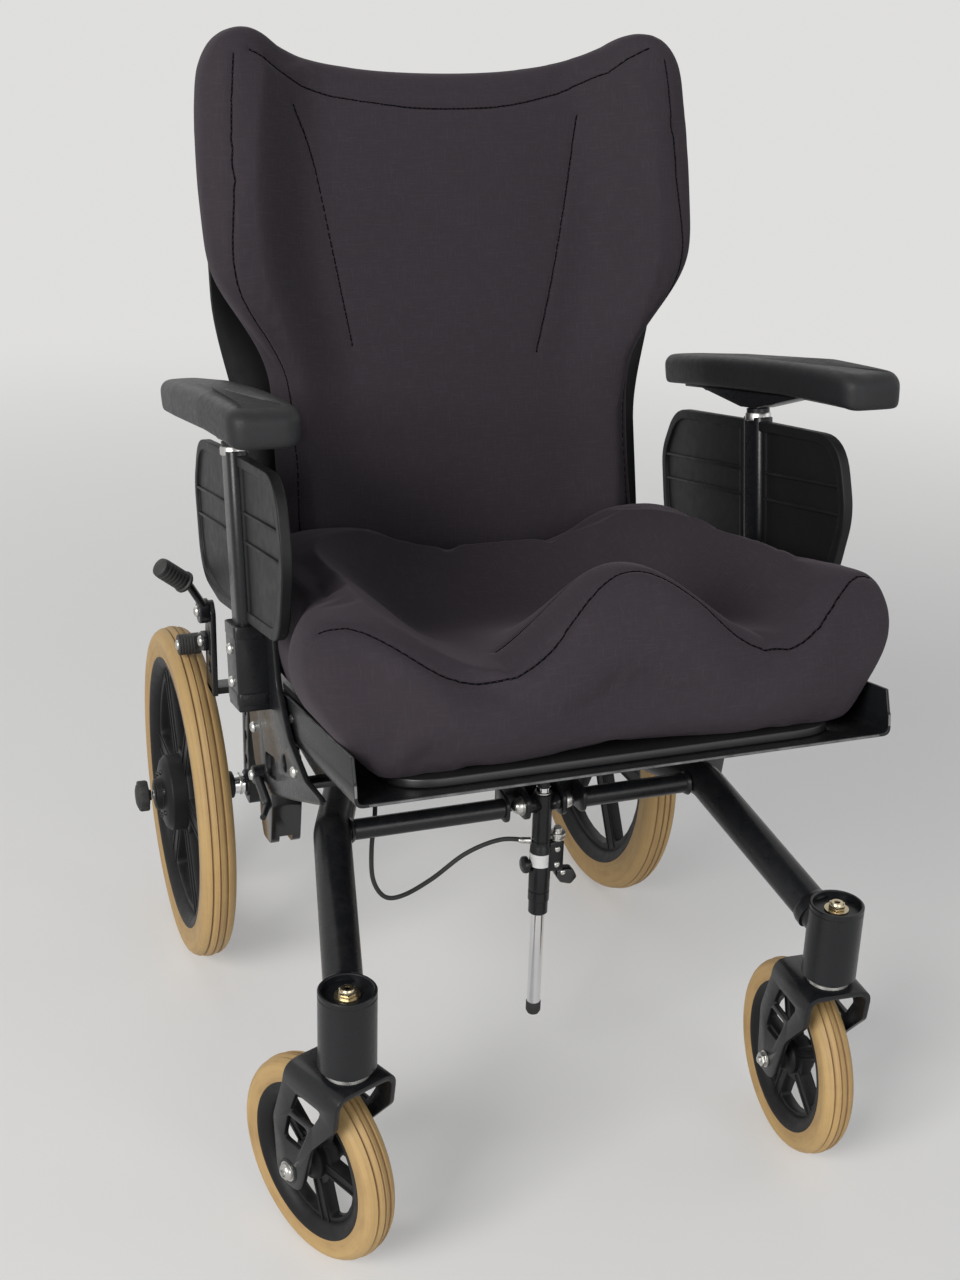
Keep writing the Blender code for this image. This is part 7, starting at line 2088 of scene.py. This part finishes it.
class CHAIR_OT_tilt_lever(Operator):
    """Make the sleeved hand lever that releases the tilt"""
    bl_idname = "wheelchair.tilt_lever"
    bl_label = "Tilt Lever"

    def execute(self, context):
        make_hand_lever()
        return {"FINISHED"}


PIECES = (CHAIR_OT_finishes, CHAIR_OT_studio, CHAIR_OT_release_cable, CHAIR_OT_seat_cushion, CHAIR_OT_back_cushion,
    CHAIR_OT_casters, CHAIR_OT_rear_wheels, CHAIR_OT_side_frames, CHAIR_OT_axle_bars, CHAIR_OT_cross_tubes,
    CHAIR_OT_wheel_locks, CHAIR_OT_tilt_strut, CHAIR_OT_seat_frame, CHAIR_OT_seat_pan, CHAIR_OT_cushion_board,
    CHAIR_OT_side_cheeks, CHAIR_OT_armrest_receivers, CHAIR_OT_armrests, CHAIR_OT_back_hinge, CHAIR_OT_back_shell,
    CHAIR_OT_push_handles, CHAIR_OT_hand_grips, CHAIR_OT_tilt_lever,)


class CHAIR_PT_pieces(Panel):
    """Sizes, colours and pieces of the positioning wheelchair"""
    bl_idname = "CHAIR_PT_pieces"
    bl_label = "Positioning Wheelchair"
    bl_space_type = "VIEW_3D"
    bl_region_type = "UI"
    bl_category = "Wheelchair"

    def draw(self, context):
        column = self.layout.column(align=True)
        for group in (context.scene.wheelchair_colours, context.scene.wheelchair_sizes):
            for name in group.__annotations__:
                column.prop(group, name)
        for piece in PIECES:
            column.operator(piece.bl_idname)


CLASSES = (ChairColours, ChairSizes, *PIECES, CHAIR_PT_pieces)


def register():
    for item in CLASSES:
        bpy.utils.register_class(item)
    bpy.types.Scene.wheelchair_colours = PointerProperty(type=ChairColours)
    bpy.types.Scene.wheelchair_sizes = PointerProperty(type=ChairSizes)


def unregister():
    del bpy.types.Scene.wheelchair_sizes
    del bpy.types.Scene.wheelchair_colours
    for item in reversed(CLASSES):
        bpy.utils.unregister_class(item)


def main():
    register()
    bpy.ops.wheelchair.finishes()
    bpy.ops.wheelchair.studio()
    bpy.ops.wheelchair.release_cable()
    bpy.ops.wheelchair.seat_cushion()
    bpy.ops.wheelchair.back_cushion()
    bpy.ops.wheelchair.casters()
    bpy.ops.wheelchair.rear_wheels()
    bpy.ops.wheelchair.side_frames()
    bpy.ops.wheelchair.axle_bars()
    bpy.ops.wheelchair.cross_tubes()
    bpy.ops.wheelchair.wheel_locks()
    bpy.ops.wheelchair.tilt_strut()
    bpy.ops.wheelchair.seat_frame()
    bpy.ops.wheelchair.seat_pan()
    bpy.ops.wheelchair.cushion_board()
    bpy.ops.wheelchair.side_cheeks()
    bpy.ops.wheelchair.armrest_receivers()
    bpy.ops.wheelchair.armrests()
    bpy.ops.wheelchair.back_hinge()
    bpy.ops.wheelchair.back_shell()
    bpy.ops.wheelchair.push_handles()
    bpy.ops.wheelchair.hand_grips()
    bpy.ops.wheelchair.tilt_lever()


if __name__ == "__main__":
    main()
